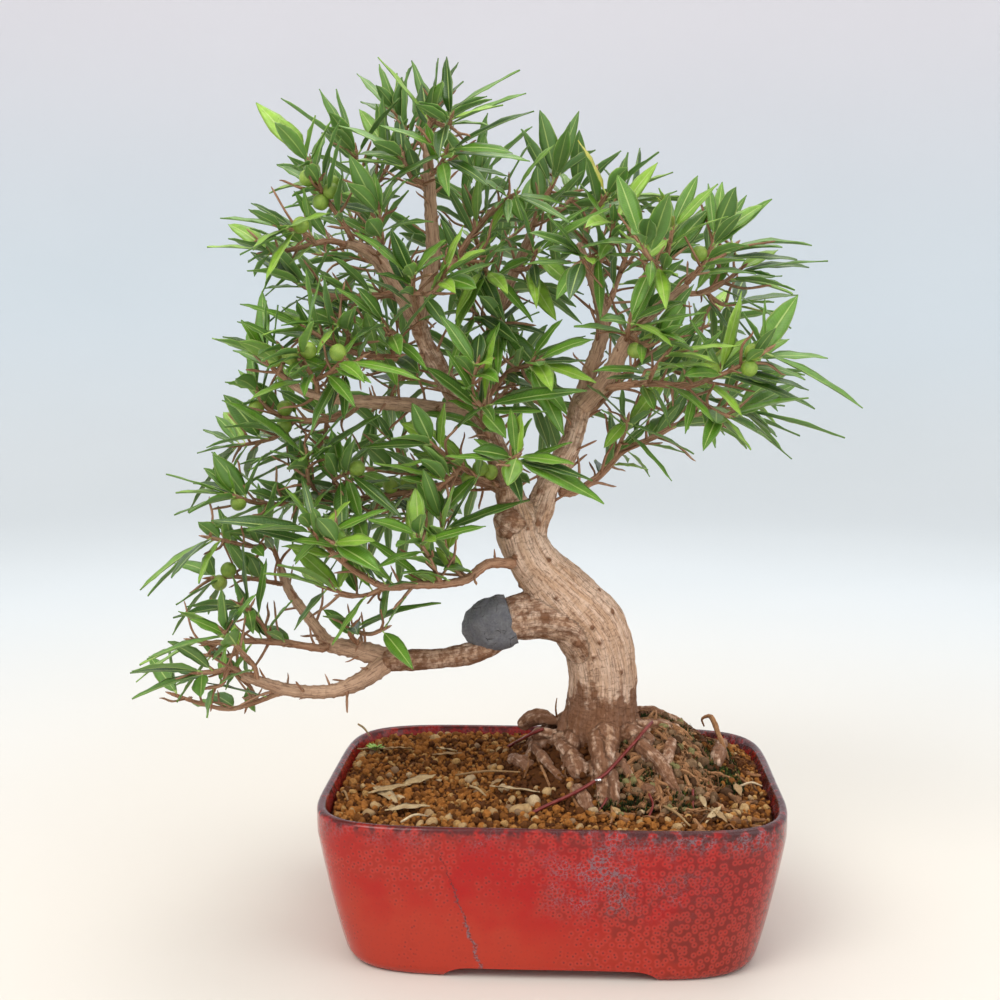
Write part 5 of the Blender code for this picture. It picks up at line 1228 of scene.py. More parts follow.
def plan_ring(height: float, inset: float, count: int) -> list[Vector]:
    """One level ring of the pot: its outer plan at this height, a squared oval, moved in by inset."""
    rise = min(height / (UPRIGHT_FROM * POT_HEIGHT), 1.0) ** WALL_SWELL
    half_x = POT_WIDTH / 2 * (FOOT_SCALE + (1 - FOOT_SCALE) * rise) - inset
    half_y = POT_DEPTH / 2 * (FOOT_SCALE_DEEP + (1 - FOOT_SCALE_DEEP) * rise) - inset
    power = 2 / POT_SQUARENESS
    ring = []
    for i in range(count):
        angle = math.tau * i / count
        x, y = math.cos(angle), math.sin(angle)
        x = math.copysign(abs(x) ** power, x) * half_x
        y = math.copysign(abs(y) ** power, y) * half_y
        ring.append(in_pot(x, y, height))
    return even_ring(ring, count)


def even_ring(points: list[Vector], count: int) -> list[Vector]:
    """The same closed outline with its points spread evenly."""
    closed = points + [points[0]]
    lengths = [0.0]
    for a, b in zip(closed, closed[1:]):
        lengths.append(lengths[-1] + (b - a).length)
    ring = []
    k = 0
    for i in range(count):
        target = lengths[-1] * i / count
        while lengths[k + 1] < target:
            k += 1
        t = (target - lengths[k]) / (lengths[k + 1] - lengths[k])
        ring.append(closed[k].lerp(closed[k + 1], t))
    return ring


def soil_height(x: float, y: float) -> float:
    """The height of the soil's surface, without its grains: level, with the root ball's mound."""
    level = SOIL_LEVEL + 0.0010 * math.sin(x * 55 + 1) * math.cos(y * 62)
    for hump in MOUND:
        near = ((x - hump.x) / hump.reach_x) ** 2 + ((y - hump.y) / hump.reach_y) ** 2
        level += hump.height * math.exp(-near ** 1.5)
    return level


def on_soil(column: float, row: float, lift: float, roots: dict[str, Axis]) -> Vector:
    """The point that shows at this place of the front view, at a height of lift over soil and roots."""
    depth = SOIL_NEAR
    while True:
        point = sight(column, row, depth)
        rests = point.z <= soil_height(point.x, point.y) + lift
        if rests or bark_distance(point, roots) < lift or depth > SOIL_FAR:
            return point
        depth += SIGHT_STEP


def root_axis(root: Root) -> Axis:
    """A root's axis: out of the trunk's foot, half sunk over the soil, and down into it at its end."""
    heading = math.radians(root.heading)
    ahead = Vector((math.cos(heading), math.sin(heading), 0.0))
    aside = Vector((-ahead.y, ahead.x, 0.0))
    rows = [(*(ROOT_FOOT + ahead * ROOT_START + UP * ROOT_SHOULDER), root.radius)]
    for share, thick, sunk in ROOT_PROFILE:
        place = ROOT_FOOT + ahead * (root.reach * share) + aside * (root.swerve * math.sin(share * 5))
        place.z = soil_height(place.x, place.y) - sunk * root.radius * thick
        rows.append((*place, root.radius * thick))
    return Axis(rows, 1)



class Slot(Enum):
    """The names of material slots that pieces are given; nothing reads them."""

    GLAZE = "glazed_red"
    SOIL = "soil_mix"
    BARK = "bark"
    PASTE = "paste_grey"
    WIRE = "wire_coated"
    SCREEN = "black_plastic"
    DRY_LEAF = "dry_leaf"
    LEAF = "leaf_green"


class Gather:
    """Collects corners, faces and the values that a finish reads, and makes one piece of them."""

    def __init__(self) -> None:
        """Starts empty."""
        self.corners: list[np.ndarray] = []
        self.faces: list[np.ndarray] = []
        self.slots: list[np.ndarray] = []
        self.values: dict[str, list[np.ndarray]] = {}
        self.count = 0

    def add(self, corners: np.ndarray, faces: Iterable[np.ndarray], slot: int = 0, **values: object) -> None:
        """Takes in one closed shell.

        Args:
            corners: places, one row each.
            faces: arrays of corner numbers, each array with faces of one size.
            slot: which of the piece's materials the shell has.
            values: for each name, one number or one per corner. Every shell of a piece has the same.
        """
        corners = np.asarray(corners, float).reshape(-1, 3)
        for rows in faces:
            rows = np.asarray(rows, int)
            if len(rows):
                self.faces.append(rows + self.count)
                self.slots.append(np.full(len(rows), slot))
        for name, value in values.items():
            filled = np.broadcast_to(np.asarray(value, float), (len(corners),))
            self.values.setdefault(name, []).append(filled)
        self.corners.append(corners)
        self.count += len(corners)

    def piece(self, name: str, shift: Vector, surfaces: list[bpy.types.Material], slot: Slot,
              replaced: Iterable[str] = (), smooth: bool = True) -> bpy.types.Object:
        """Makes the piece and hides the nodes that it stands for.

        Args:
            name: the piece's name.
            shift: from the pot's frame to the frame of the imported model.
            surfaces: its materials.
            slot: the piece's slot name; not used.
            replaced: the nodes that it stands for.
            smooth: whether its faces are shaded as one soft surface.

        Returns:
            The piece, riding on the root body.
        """
        mesh = bpy.data.meshes.new(name)
        corners = np.vstack(self.corners) + np.array(shift)
        loops = np.concatenate([rows.ravel() for rows in self.faces])
        sizes = np.concatenate([np.full(len(rows), rows.shape[1]) for rows in self.faces])
        mesh.vertices.add(len(corners))
        mesh.vertices.foreach_set("co", corners.ravel())
        mesh.loops.add(len(loops))
        mesh.loops.foreach_set("vertex_index", loops)
        mesh.polygons.add(len(sizes))
        mesh.polygons.foreach_set("loop_start", np.concatenate([[0], np.cumsum(sizes)[:-1]]))
        mesh.polygons.foreach_set("material_index", np.concatenate(self.slots))
        mesh.update(calc_edges=True)
        for label, rows in self.values.items():
            mark = mesh.attributes.new(label, "FLOAT", "POINT")
            mark.data.foreach_set("value", np.concatenate(rows))
        if smooth:
            mesh.shade_smooth()
        else:
            mesh.shade_flat()
        return settle(bpy.data.objects.new(name, mesh), surfaces, slot, replaced)


def settle(obj: bpy.types.Object, surfaces: list[bpy.types.Material], slot: Slot,
           replaced: Iterable[str] = ()) -> bpy.types.Object:
    """Links a piece, dresses it, puts it on the root body, hides the nodes that it replaces and logs its triangles."""
    if obj.name not in bpy.context.scene.collection.objects:
        bpy.context.scene.collection.objects.link(obj)
    for surface in surfaces:
        obj.data.materials.append(surface)
    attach(obj, "root")
    names = list(replaced)
    if names:
        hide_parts(*names)
    triangles = sum(len(face.vertices) - 2 for face in obj.data.polygons)
    LOG.info("%s: %d triangles", obj.name, triangles)
    return obj


def tube_arrays(axis: Axis, sides: int, swell: Iterable[float] | None = None) -> tuple[np.ndarray, list]:
    """A closed tube with rounded ends.

    Args:
        axis: its middle line and radii.
        sides: corners in each ring.
        swell: a factor on the radius at each point, or None.

    Returns:
        The corners and the face arrays.
    """
    frames = frames_along(axis.points)
    points = np.array([tuple(point) for point in axis.points])
    side = np.array([tuple(row[1]) for row in frames])
    other = np.array([tuple(row[2]) for row in frames])
    radii = np.array(axis.radii) * (1.0 if swell is None else np.array(list(swell)))
    turns = math.tau * np.arange(sides) / sides
    ring = side[:, None] * np.cos(turns)[None, :, None] + other[:, None] * np.sin(turns)[None, :, None]
    rings = points[:, None] + ring * radii[:, None, None]
    first, last = frames[0][0], frames[-1][0]
    ends = [points[0] - np.array(first) * radii[0] * 0.5, points[-1] + np.array(last) * radii[-1] * 0.5]
    corners = np.vstack([rings.reshape(-1, 3), ends])
    count = len(points)
    i, j = np.meshgrid(np.arange(count - 1), np.arange(sides), indexing="ij")
    a, b = i * sides + j, i * sides + (j + 1) % sides
    quads = np.stack([a, b, b + sides, a + sides], axis=-1).reshape(-1, 4)
    k = np.arange(sides)
    start = np.stack([(k + 1) % sides, k, np.full(sides, count * sides)], axis=-1)
    end = (count - 1) * sides
    finish = np.stack([end + k, end + (k + 1) % sides, np.full(sides, count * sides + 1)], axis=-1)
    return corners, [quads, start, finish]


def along_values(axis: Axis, sides: int) -> np.ndarray:
    """For each corner of such a tube, how far along the stem it stands."""
    return np.concatenate([np.repeat(axis.along, sides), [0.0, axis.length]])


def knobbly(axis: Axis, seed: int, pitch: float, depth: float) -> list[float]:
    """A factor on a twig's radius at each point: rings of old leaf scars, with a slow wander."""
    swell = []
    for mark in axis.along:
        ring = math.cos(math.tau * mark / pitch + seed) ** 8
        slow = noise.noise(Vector((mark * 260.0, seed * 1.7, 0.0)))
        swell.append(1.0 + depth * ring + 0.5 * depth * slow)
    return swell


def lump(subdivisions: int) -> tuple[np.ndarray, np.ndarray]:
    """The corners and triangles of a ball of radius 1, to be warped into grains and fruit."""
    mesh = bmesh.new()
    bmesh.ops.create_icosphere(mesh, subdivisions=subdivisions, radius=1.0)
    corners = np.array([tuple(v.co) for v in mesh.verts])
    faces = np.array([[v.index for v in face.verts] for face in mesh.faces])
    mesh.free()
    return corners, faces


def rough_lump(rng: np.random.Generator, corners: np.ndarray, sizes: np.ndarray, rough: float) -> np.ndarray:
    """One warped and turned copy of a ball, with these half sizes."""
    turn, _ = np.linalg.qr(rng.normal(size=(3, 3)))
    bumps = 1.0 + rng.uniform(-rough, rough, size=(len(corners), 1))
    return (corners * bumps) @ turn * sizes


class Graph:
    """A shader tree that is being built."""

    def __init__(self, tree: bpy.types.NodeTree) -> None:
        """Takes the tree to build in."""
        self.tree = tree

    def node(self, kind: str, inputs: dict[str | int, object] | None = None, **settings: object) -> bpy.types.Node:
        """Adds a node.

        Args:
            kind: its type, without the ShaderNode in front.
            inputs: for each input, a socket to join to it or a value to set.
            settings: the node's own settings.

        Returns:
            The node.
        """
        made = self.tree.nodes.new("ShaderNode" + kind)
        for name, value in settings.items():
            setattr(made, name, value)
        for name, value in (inputs or {}).items():
            if isinstance(value, bpy.types.NodeSocket):
                self.tree.links.new(value, made.inputs[name])
            else:
                made.inputs[name].default_value = value
        return made

    def attribute(self, name: str) -> bpy.types.NodeSocket:
        """A value that the piece's mesh carries."""
        return self.node("Attribute", attribute_name=name).outputs["Fac"]

    def place(self) -> bpy.types.NodeSocket:
        """The place on the piece, in metres."""
        return self.node("TexCoord").outputs["Object"]

    def math(self, operation: str, *values: object, clamp: bool = False) -> bpy.types.NodeSocket:
        """Works a number out of others."""
        inputs = dict(enumerate(values))
        return self.node("Math", inputs, operation=operation, use_clamp=clamp).outputs[0]

    def scaled(self, place: bpy.types.NodeSocket, scale: tuple[float, float, float]) -> bpy.types.NodeSocket:
        """A place with its three numbers scaled."""
        return self.node("Mapping", {"Vector": place, "Scale": scale}).outputs[0]

    def noise(self, place: bpy.types.NodeSocket, scale: float, detail: float = 3.0,
              roughness: float = 0.55, distortion: float = 0.0) -> bpy.types.NodeSocket:
        """Cloudy noise at a place."""
        inputs = {"Vector": place, "Scale": scale, "Detail": detail, "Roughness": roughness,
                  "Distortion": distortion}
        return self.node("TexNoise", inputs).outputs["Fac"]

    def cells(self, place: bpy.types.NodeSocket, scale: float, feature: str = "F1") -> bpy.types.Node:
        """A pattern of cells at a place."""
        return self.node("TexVoronoi", {"Vector": place, "Scale": scale}, feature=feature)

    def span(self, value: object, low: float, high: float, to_low: float = 0.0,
             to_high: float = 1.0) -> bpy.types.NodeSocket:
        """Stretches a number's range from low to high onto another, smoothly and clamped."""
        inputs = {"Value": value, "From Min": low, "From Max": high, "To Min": to_low, "To Max": to_high}
        return self.node("MapRange", inputs, interpolation_type="SMOOTHSTEP").outputs[0]

    def mix(self, factor: object, first: object, second: object) -> bpy.types.NodeSocket:
        """Mixes two colours."""
        made = self.node("Mix", data_type="RGBA")
        for socket, value in ((made.inputs[0], factor), (made.inputs[6], first), (made.inputs[7], second)):
            if isinstance(value, bpy.types.NodeSocket):
                self.tree.links.new(value, socket)
            elif isinstance(value, tuple):
                socket.default_value = (*value, 1.0)
            else:
                socket.default_value = value
        return made.outputs[2]

    def bump(self, height: bpy.types.NodeSocket, distance: float, strength: float = 1.0,
             normal: bpy.types.NodeSocket | None = None) -> bpy.types.NodeSocket:
        """A normal that follows a height, of this many metres at most."""
        inputs = {"Height": height, "Distance": distance, "Strength": strength}
        if normal:
            inputs["Normal"] = normal
        return self.node("Bump", inputs).outputs[0]

    def group(self, tree: bpy.types.NodeTree, inputs: dict[str, object]) -> bpy.types.Node:
        """Places a shader group with its own values."""
        made = self.tree.nodes.new("ShaderNodeGroup")
        made.node_tree = tree
        for name, value in inputs.items():
            if isinstance(value, bpy.types.NodeSocket):
                self.tree.links.new(value, made.inputs[name])
            else:
                made.inputs[name].default_value = value
        return made


def new_surface(name: str) -> tuple[bpy.types.Material, Graph, bpy.types.Node]:
    """A new material, its graph and its Principled shader."""
    made = bpy.data.materials.new(name)
    made.use_nodes = True
    return made, Graph(made.node_tree), made.node_tree.nodes["Principled BSDF"]


def new_group(name: str, inputs: dict[str, float], outputs: Iterable[str]) -> tuple[bpy.types.NodeTree, Graph,
                                                                                  bpy.types.Node, bpy.types.Node]:
    """Starts a shader group.

    Args:
        name: its name.
        inputs: its number inputs with their first values.
        outputs: its number outputs.

    Returns:
        The group, its graph, its input node and its output node.
    """
    tree = bpy.data.node_groups.new(name, "ShaderNodeTree")
    for label, value in inputs.items():
        socket = tree.interface.new_socket(label, in_out="INPUT", socket_type="NodeSocketFloat")
        socket.default_value = value
    for label in outputs:
        tree.interface.new_socket(label, in_out="OUTPUT", socket_type="NodeSocketFloat")
    return tree, Graph(tree), tree.nodes.new("NodeGroupInput"), tree.nodes.new("NodeGroupOutput")


def fibre_group() -> bpy.types.NodeTree:
    """Builds the relief of bark: fine ridges that run along a stem, broken by cross wrinkles.

    Returns:
        A group that reads where the stem runs from the mesh, and gives Height, Dark and Streak. Dark is partly the
        bark's own dark fibres and partly painted shade, deepest where the ridges are low and in the cross cracks.
    """
    tree, graph, start, end = new_group("bark_fibres", {"Fineness": 1.0, "Cracks": 0.5}, ("Height", "Dark", "Streak"))
    around = graph.node("CombineXYZ", {
        "X": graph.attribute("grain_x"), "Y": graph.attribute("grain_y"), "Z": graph.attribute("grain_z"),
    }).outputs[0]
    sized = graph.node("VectorMath", {0: around, "Scale": start.outputs["Fineness"]}, operation="SCALE").outputs[0]
    wide = graph.node("VectorMath", {0: sized, 1: (1.0, 1.0, 0.09)}, operation="MULTIPLY").outputs[0]
    flat = graph.node("VectorMath", {0: sized, 1: (0.25, 0.25, 1.0)}, operation="MULTIPLY").outputs[0]
    ridges = graph.noise(wide, 800.0, 6.0, 0.68, 0.5)
    across = graph.noise(flat, 850.0, 4.0, 0.6, 0.8)
    cut = graph.math("MULTIPLY", graph.span(across, 0.54, 0.68), start.outputs["Cracks"])
    height = graph.math("SUBTRACT", ridges, graph.math("MULTIPLY", cut, 0.35))
    # the fibres' own dark lines, with painted shade where the ridges are low and in the cross cracks
    dark = graph.math("ADD", graph.span(ridges, 0.52, 0.38), graph.math("MULTIPLY", cut, 0.45), clamp=True)
    long = graph.node("VectorMath", {0: sized, 1: (1.0, 1.0, 0.06)}, operation="MULTIPLY").outputs[0]
    graph.tree.links.new(graph.span(graph.noise(long, 260.0, 3.0, 0.6), 0.38, 0.62), end.inputs["Streak"])
    graph.tree.links.new(height, end.inputs["Height"])
    graph.tree.links.new(dark, end.inputs["Dark"])
    return tree


def blotch_group() -> bpy.types.NodeTree:
    """Builds soft blotches of two sizes, which many of the finishes vary by.

    Returns:
        A group with the input Size in metres and the outputs Broad and Fine, each about 0 to 1.
    """
    tree, graph, start, end = new_group("blotches", {"Size": 0.01}, ("Broad", "Fine"))
    scale = graph.math("DIVIDE", 1.0, start.outputs["Size"])
    place = graph.node("VectorMath", {0: graph.place(), "Scale": scale}, operation="SCALE").outputs[0]
    graph.tree.links.new(graph.span(graph.noise(place, 1.0, 2.0), 0.32, 0.68), end.inputs["Broad"])
    graph.tree.links.new(graph.span(graph.noise(place, 5.3, 3.0), 0.32, 0.68), end.inputs["Fine"])
    return tree


@dataclass(frozen=True)
class BarkFinish:
    """Fibrous bark that reads grain_x, grain_y, grain_z and low from its mesh."""

    name: str
    pale: tuple[float, float, float]
    mid: tuple[float, float, float]
    deep: tuple[float, float, float]
    soiled: tuple[float, float, float]
    fineness: float
    cracks: float
    relief: float

    def build(self, fibres: bpy.types.NodeTree, blotches: bpy.types.NodeTree) -> bpy.types.Material:
        """Builds the material from the bark relief group and the blotch group."""
        made, graph, shader = new_surface(self.name)
        relief = graph.group(fibres, {"Fineness": self.fineness, "Cracks": self.cracks}).outputs
        spread = graph.group(blotches, {"Size": 0.014}).outputs
        streak = graph.math("MULTIPLY_ADD", relief["Streak"], 0.65, graph.math("MULTIPLY", spread["Broad"], 0.35))
        colour = graph.mix(streak, self.mid, self.pale)
        colour = graph.mix(graph.math("MULTIPLY", spread["Fine"], 0.30), colour, self.mid)
        low = graph.math("MULTIPLY_ADD", graph.math("SUBTRACT", spread["Fine"], 0.5), 0.5, graph.attribute("low"))
        colour = graph.mix(graph.span(low, 0.15, 0.85, 0.0, 0.85), colour, self.soiled)
        # the fibres' darkness: the bark's own dark lines, with painted shade in the grooves and cracks
        colour = graph.mix(graph.math("MULTIPLY", relief["Dark"], 0.60), colour, self.deep)
        graph.tree.links.new(colour, shader.inputs["Base Color"])
        normal = graph.bump(relief["Height"], self.relief, 1.0)
        graph.tree.links.new(normal, shader.inputs["Normal"])
        graph.tree.links.new(graph.span(relief["Dark"], 0.0, 1.0, 0.60, 0.85), shader.inputs["Roughness"])
        shader.inputs["Specular IOR Level"].default_value = 0.12
        return made


@dataclass(frozen=True)
class LeafFinish:
    """A leaf that reads across, along, tone and under from its mesh."""

    name: str
    dark: tuple[float, float, float]
    bright: tuple[float, float, float]
    young: tuple[float, float, float]
    yellow: tuple[float, float, float]
    rib: tuple[float, float, float]
    under: tuple[float, float, float]

    def build(self) -> bpy.types.Material:
        """Builds the material, with a pale midrib and margin, fine side veins and a paler underside."""
        made, graph, shader = new_surface(self.name)
        across = graph.math("ABSOLUTE", graph.attribute("across"))
        along, tone, under = (graph.attribute(label) for label in ("along", "tone", "under"))
        colour = graph.mix(graph.span(tone, 0.0, 0.55), self.dark, self.bright)
        colour = graph.mix(graph.span(tone, 0.55, 0.93), colour, self.young)
        colour = graph.mix(graph.span(tone, 0.965, 0.985), colour, self.yellow)
        cloud = graph.noise(graph.place(), 260.0, 3.0)
        colour = graph.mix(graph.span(cloud, 0.35, 0.75, 0.0, 0.35), colour, self.dark)
        slant = graph.math("MULTIPLY_ADD", across, -1.6, graph.math("MULTIPLY", along, 26.0))
        veins = graph.span(graph.math("SINE", graph.math("MULTIPLY", slant, math.tau)), 0.82, 1.0)
        colour = graph.mix(graph.math("MULTIPLY", veins, 0.10), colour, self.rib)
        colour = graph.mix(graph.math("MULTIPLY", under, 0.72), colour, self.under)
        rib = graph.span(across, 0.11, 0.03)
        edge = graph.span(across, 0.84, 0.98, 0.0, 0.6)
        colour = graph.mix(graph.math("MAXIMUM", graph.math("MULTIPLY", rib, 0.75), edge), colour, self.rib)
        graph.tree.links.new(colour, shader.inputs["Base Color"])
        relief = graph.math("MULTIPLY_ADD", veins, -0.3, graph.math("MULTIPLY", rib, -1.0))
        graph.tree.links.new(graph.bump(relief, 0.0002, 0.5), shader.inputs["Normal"])
        gloss = graph.math("MULTIPLY_ADD", under, 0.22, graph.span(cloud, 0.3, 0.7, 0.30, 0.42))
        graph.tree.links.new(gloss, shader.inputs["Roughness"])
        shader.inputs["Specular IOR Level"].default_value = 0.5
        shader.inputs["Subsurface Weight"].default_value = 0.12
        shader.inputs["Subsurface Radius"].default_value = (0.0006, 0.0012, 0.0002)
        shader.inputs["Subsurface Scale"].default_value = 1.0
        return made


@dataclass(frozen=True)
class SkinFinish:
    """A mottled natural surface: figs, grains, dry leaves, moss. It reads tone from its mesh."""

    name: str
    first: tuple[float, float, float]
    second: tuple[float, float, float]
    third: tuple[float, float, float]
    deep: tuple[float, float, float]
    mottle: float
    roughness: float
    relief: float
    shine: float = 0.12

    def build(self, blotches: bpy.types.NodeTree) -> bpy.types.Material:
        """Builds the material from the blotch group."""
        made, graph, shader = new_surface(self.name)
        tone = graph.attribute("tone")
        spread = graph.group(blotches, {"Size": self.mottle})
        colour = graph.mix(graph.span(tone, 0.0, 0.6), self.first, self.second)
        colour = graph.mix(graph.span(tone, 0.72, 0.95), colour, self.third)
        colour = graph.mix(graph.math("MULTIPLY", spread.outputs["Broad"], 0.45), colour, self.deep)
        colour = graph.mix(graph.math("MULTIPLY", spread.outputs["Fine"], 0.25), colour, self.deep)
        graph.tree.links.new(colour, shader.inputs["Base Color"])
        graph.tree.links.new(graph.bump(spread.outputs["Fine"], self.relief, 0.8), shader.inputs["Normal"])
        rough = graph.span(spread.outputs["Broad"], 0.0, 1.0, self.roughness - 0.06, self.roughness + 0.06)
        graph.tree.links.new(rough, shader.inputs["Roughness"])
        shader.inputs["Specular IOR Level"].default_value = self.shine
        return made



@dataclass(frozen=True)
class GlazeFinish:
    """Glossy red glaze: a crowd of small discs on a darker net, a grey-blue bloom, a dark lip, a crack, and painted
    shade that darkens its right side.

    It reads height, side and lip from its mesh. The crack runs down the front between two places.
    """

    name: str
    red: tuple[float, float, float]
    orange: tuple[float, float, float]
    disc: tuple[float, float, float]
    maroon: tuple[float, float, float]
    bloom: tuple[float, float, float]
    lip: tuple[float, float, float]
    disc_pitch: float
    crack_top: tuple[float, float, float]
    crack_foot: tuple[float, float, float]
    crack_half: float

    def crack(self, graph: Graph) -> bpy.types.NodeSocket:
        """Masks the crack: a wandering broken line on the front that widens towards the foot."""
        place = graph.place()
        parts = graph.node("SeparateXYZ", {0: place}).outputs
        slope = (self.crack_foot[0] - self.crack_top[0]) / (self.crack_foot[2] - self.crack_top[2])
        line = graph.math("MULTIPLY_ADD", graph.math("SUBTRACT", parts[2], self.crack_top[2]), slope,
                          self.crack_top[0])
        wander = graph.math("MULTIPLY", graph.math("SUBTRACT", graph.noise(place, 170.0, 5.0, 0.7), 0.5), 0.009)
        away = graph.math("ABSOLUTE", graph.math("SUBTRACT", graph.math("ADD", line, wander), parts[0]))
        wide = graph.span(parts[2], self.crack_top[2], 0.0, 1.0, 4.5)
        near = graph.span(graph.math("DIVIDE", away, graph.math("MULTIPLY", wide, self.crack_half)), 1.4, 0.4)
        broken = graph.span(graph.noise(place, 1100.0, 3.0, 0.7), 0.40, 0.55, 0.15, 1.0)
        front = graph.span(parts[1], self.crack_top[1] + 0.016, self.crack_top[1] + 0.006)
        under = graph.span(parts[2], self.crack_top[2] + 0.002, self.crack_top[2] - 0.002)
        return graph.math("MULTIPLY", graph.math("MULTIPLY", near, broken), graph.math("MULTIPLY", front, under))

    def build(self, blotches: bpy.types.NodeTree) -> bpy.types.Material:
        """Builds the material from the blotch group."""
        made, graph, shader = new_surface(self.name)
        height, side, lip = (graph.attribute(label) for label in ("height", "side", "lip"))
        place = graph.place()
        broad = graph.group(blotches, {"Size": 0.017}).outputs["Broad"]
        fine = graph.group(blotches, {"Size": 0.004}).outputs
        sway = graph.math("SUBTRACT", broad, 0.5)
        warm = graph.math("ADD", graph.span(height, 0.62, 0.15), graph.span(side, 0.1, -0.85, 0.0, 0.5))
        warm = graph.math("MULTIPLY_ADD", sway, 0.55, warm, clamp=True)
        colour = graph.mix(warm, self.red, self.orange)
        crowd = graph.math("ADD", graph.span(side, -0.25, 0.35), graph.span(height, 0.45, 0.80, 0.0, 0.62))
        crowd = graph.math("MULTIPLY_ADD", sway, 0.7, crowd, clamp=True)
        wall = graph.node("UVMap", uv_map="wall_map").outputs["UV"]
        away = graph.node("TexVoronoi", {"Vector": wall, "Scale": 1.0 / self.disc_pitch, "Randomness": 0.75},
                          voronoi_dimensions="2D").outputs["Distance"]
        net = graph.math("MULTIPLY", graph.span(away, 0.37, 0.56), crowd)
        disc = graph.math("MULTIPLY", graph.span(away, 0.47, 0.36), graph.span(crowd, 0.1, 0.7))
        # painted shade: the pot's right side darkened towards maroon
        painted_right_shade = graph.math("MULTIPLY", graph.span(graph.math("MULTIPLY_ADD", sway, 0.9, side), 0.0, 1.1), 0.45)
        colour = graph.mix(painted_right_shade, colour, self.maroon)
        colour = graph.mix(graph.math("MULTIPLY", disc, 0.42), colour, self.disc)
        # the net grows darker towards the right: its own colour, deepened there by painted shade
        dark = graph.span(graph.math("MULTIPLY_ADD", sway, 0.8, side), -0.2, 0.9, 0.35, 0.62)
        colour = graph.mix(graph.math("MULTIPLY", net, dark), colour, self.maroon)
        dot = graph.math("MULTIPLY", graph.span(away, 0.20, 0.10), graph.span(crowd, 0.02, 0.45, 0.15, 0.8))
        colour = graph.mix(graph.math("MULTIPLY", dot, 0.80), colour, self.lip)
        rim = graph.math("MULTIPLY", graph.span(height, 0.80, 0.93), graph.span(side, -0.55, 0.2, 0.45, 1.0))
        middle = graph.math("MULTIPLY", graph.span(side, -0.15, 0.12), graph.span(side, 0.75, 0.25))
        misty = graph.math("MAXIMUM", rim, graph.math("MULTIPLY", middle, graph.span(height, 0.35, 0.6)))
        misty = graph.math("MULTIPLY", misty, graph.span(graph.noise(place, 75.0, 3.0), 0.42, 0.60))
        grains = graph.span(graph.noise(place, 1300.0, 3.0, 0.6), 0.42, 0.56)
        bloom = graph.math("MULTIPLY", graph.math("MULTIPLY", misty, grains), graph.span(away, 0.22, 0.42))
        colour = graph.mix(graph.math("MULTIPLY", bloom, 0.65), colour, self.bloom)
        smoke = graph.math("MULTIPLY", graph.span(height, 0.78, 0.99), graph.span(side, -0.2, 0.8, 0.35, 0.95))
        colour = graph.mix(graph.math("MULTIPLY", smoke, graph.span(fine["Broad"], 0.1, 0.9)), colour, self.lip)
        edge = graph.math("MULTIPLY_ADD", graph.math("SUBTRACT", fine["Broad"], 0.5), 0.6, lip)
        colour = graph.mix(graph.span(edge, 0.35, 0.95, 0.0, 0.8), colour, self.lip)
        crack = self.crack(graph)
        filled = graph.mix(graph.math("MULTIPLY", grains, graph.span(height, 0.75, 0.2)), self.lip, self.bloom)
        colour = graph.mix(graph.math("MULTIPLY", crack, 0.8), colour, filled)
        graph.tree.links.new(colour, shader.inputs["Base Color"])
        sink = graph.math("MULTIPLY_ADD", crack, -1.0, graph.math("MULTIPLY", disc, 0.45))
        sink = graph.math("MULTIPLY_ADD", dot, -0.5, sink)
        sink = graph.math("MULTIPLY_ADD", broad, 0.8, sink)
        graph.tree.links.new(graph.bump(sink, 0.00016, 0.5), shader.inputs["Normal"])
        rough = graph.math("MULTIPLY_ADD", bloom, 0.22, graph.span(fine["Broad"], 0.0, 1.0, 0.12, 0.20))
        graph.tree.links.new(rough, shader.inputs["Roughness"])
        shader.inputs["Specular IOR Level"].default_value = 0.3
        shader.inputs["Coat Weight"].default_value = 0.08
        shader.inputs["Coat Roughness"].default_value = 0.10
        return made


@dataclass(frozen=True)
class PasteFinish:
    """Matt wound paste with a few small dark cracks."""

    name: str
    grey: tuple[float, float, float]
    worn: tuple[float, float, float]
    gap: tuple[float, float, float]

    def build(self, blotches: bpy.types.NodeTree) -> bpy.types.Material:
        """Builds the material from the blotch group."""
        made, graph, shader = new_surface(self.name)
        spread = graph.group(blotches, {"Size": 0.005}).outputs
        colour = graph.mix(graph.math("MULTIPLY", spread["Broad"], 0.55), self.grey, self.worn)
        colour = graph.mix(graph.math("MULTIPLY", spread["Fine"], 0.25), colour, self.gap)
        sway = graph.noise(graph.place(), 500.0, 4.0)
        edges = graph.cells(graph.place(), 190.0, "DISTANCE_TO_EDGE").outputs["Distance"]
        edges = graph.math("MULTIPLY_ADD", graph.math("SUBTRACT", sway, 0.5), 0.12, edges)
        torn = graph.math("MULTIPLY", graph.span(edges, 0.035, 0.0), graph.span(spread["Broad"], 0.62, 0.85))
        colour = graph.mix(graph.math("MULTIPLY", torn, 0.8), colour, self.gap)
        graph.tree.links.new(colour, shader.inputs["Base Color"])
        height = graph.math("SUBTRACT", graph.math("MULTIPLY", spread["Fine"], 0.6), torn)
        graph.tree.links.new(graph.bump(height, 0.0004, 0.8), shader.inputs["Normal"])
        graph.tree.links.new(graph.span(spread["Fine"], 0.0, 1.0, 0.45, 0.68), shader.inputs["Roughness"])
        return made


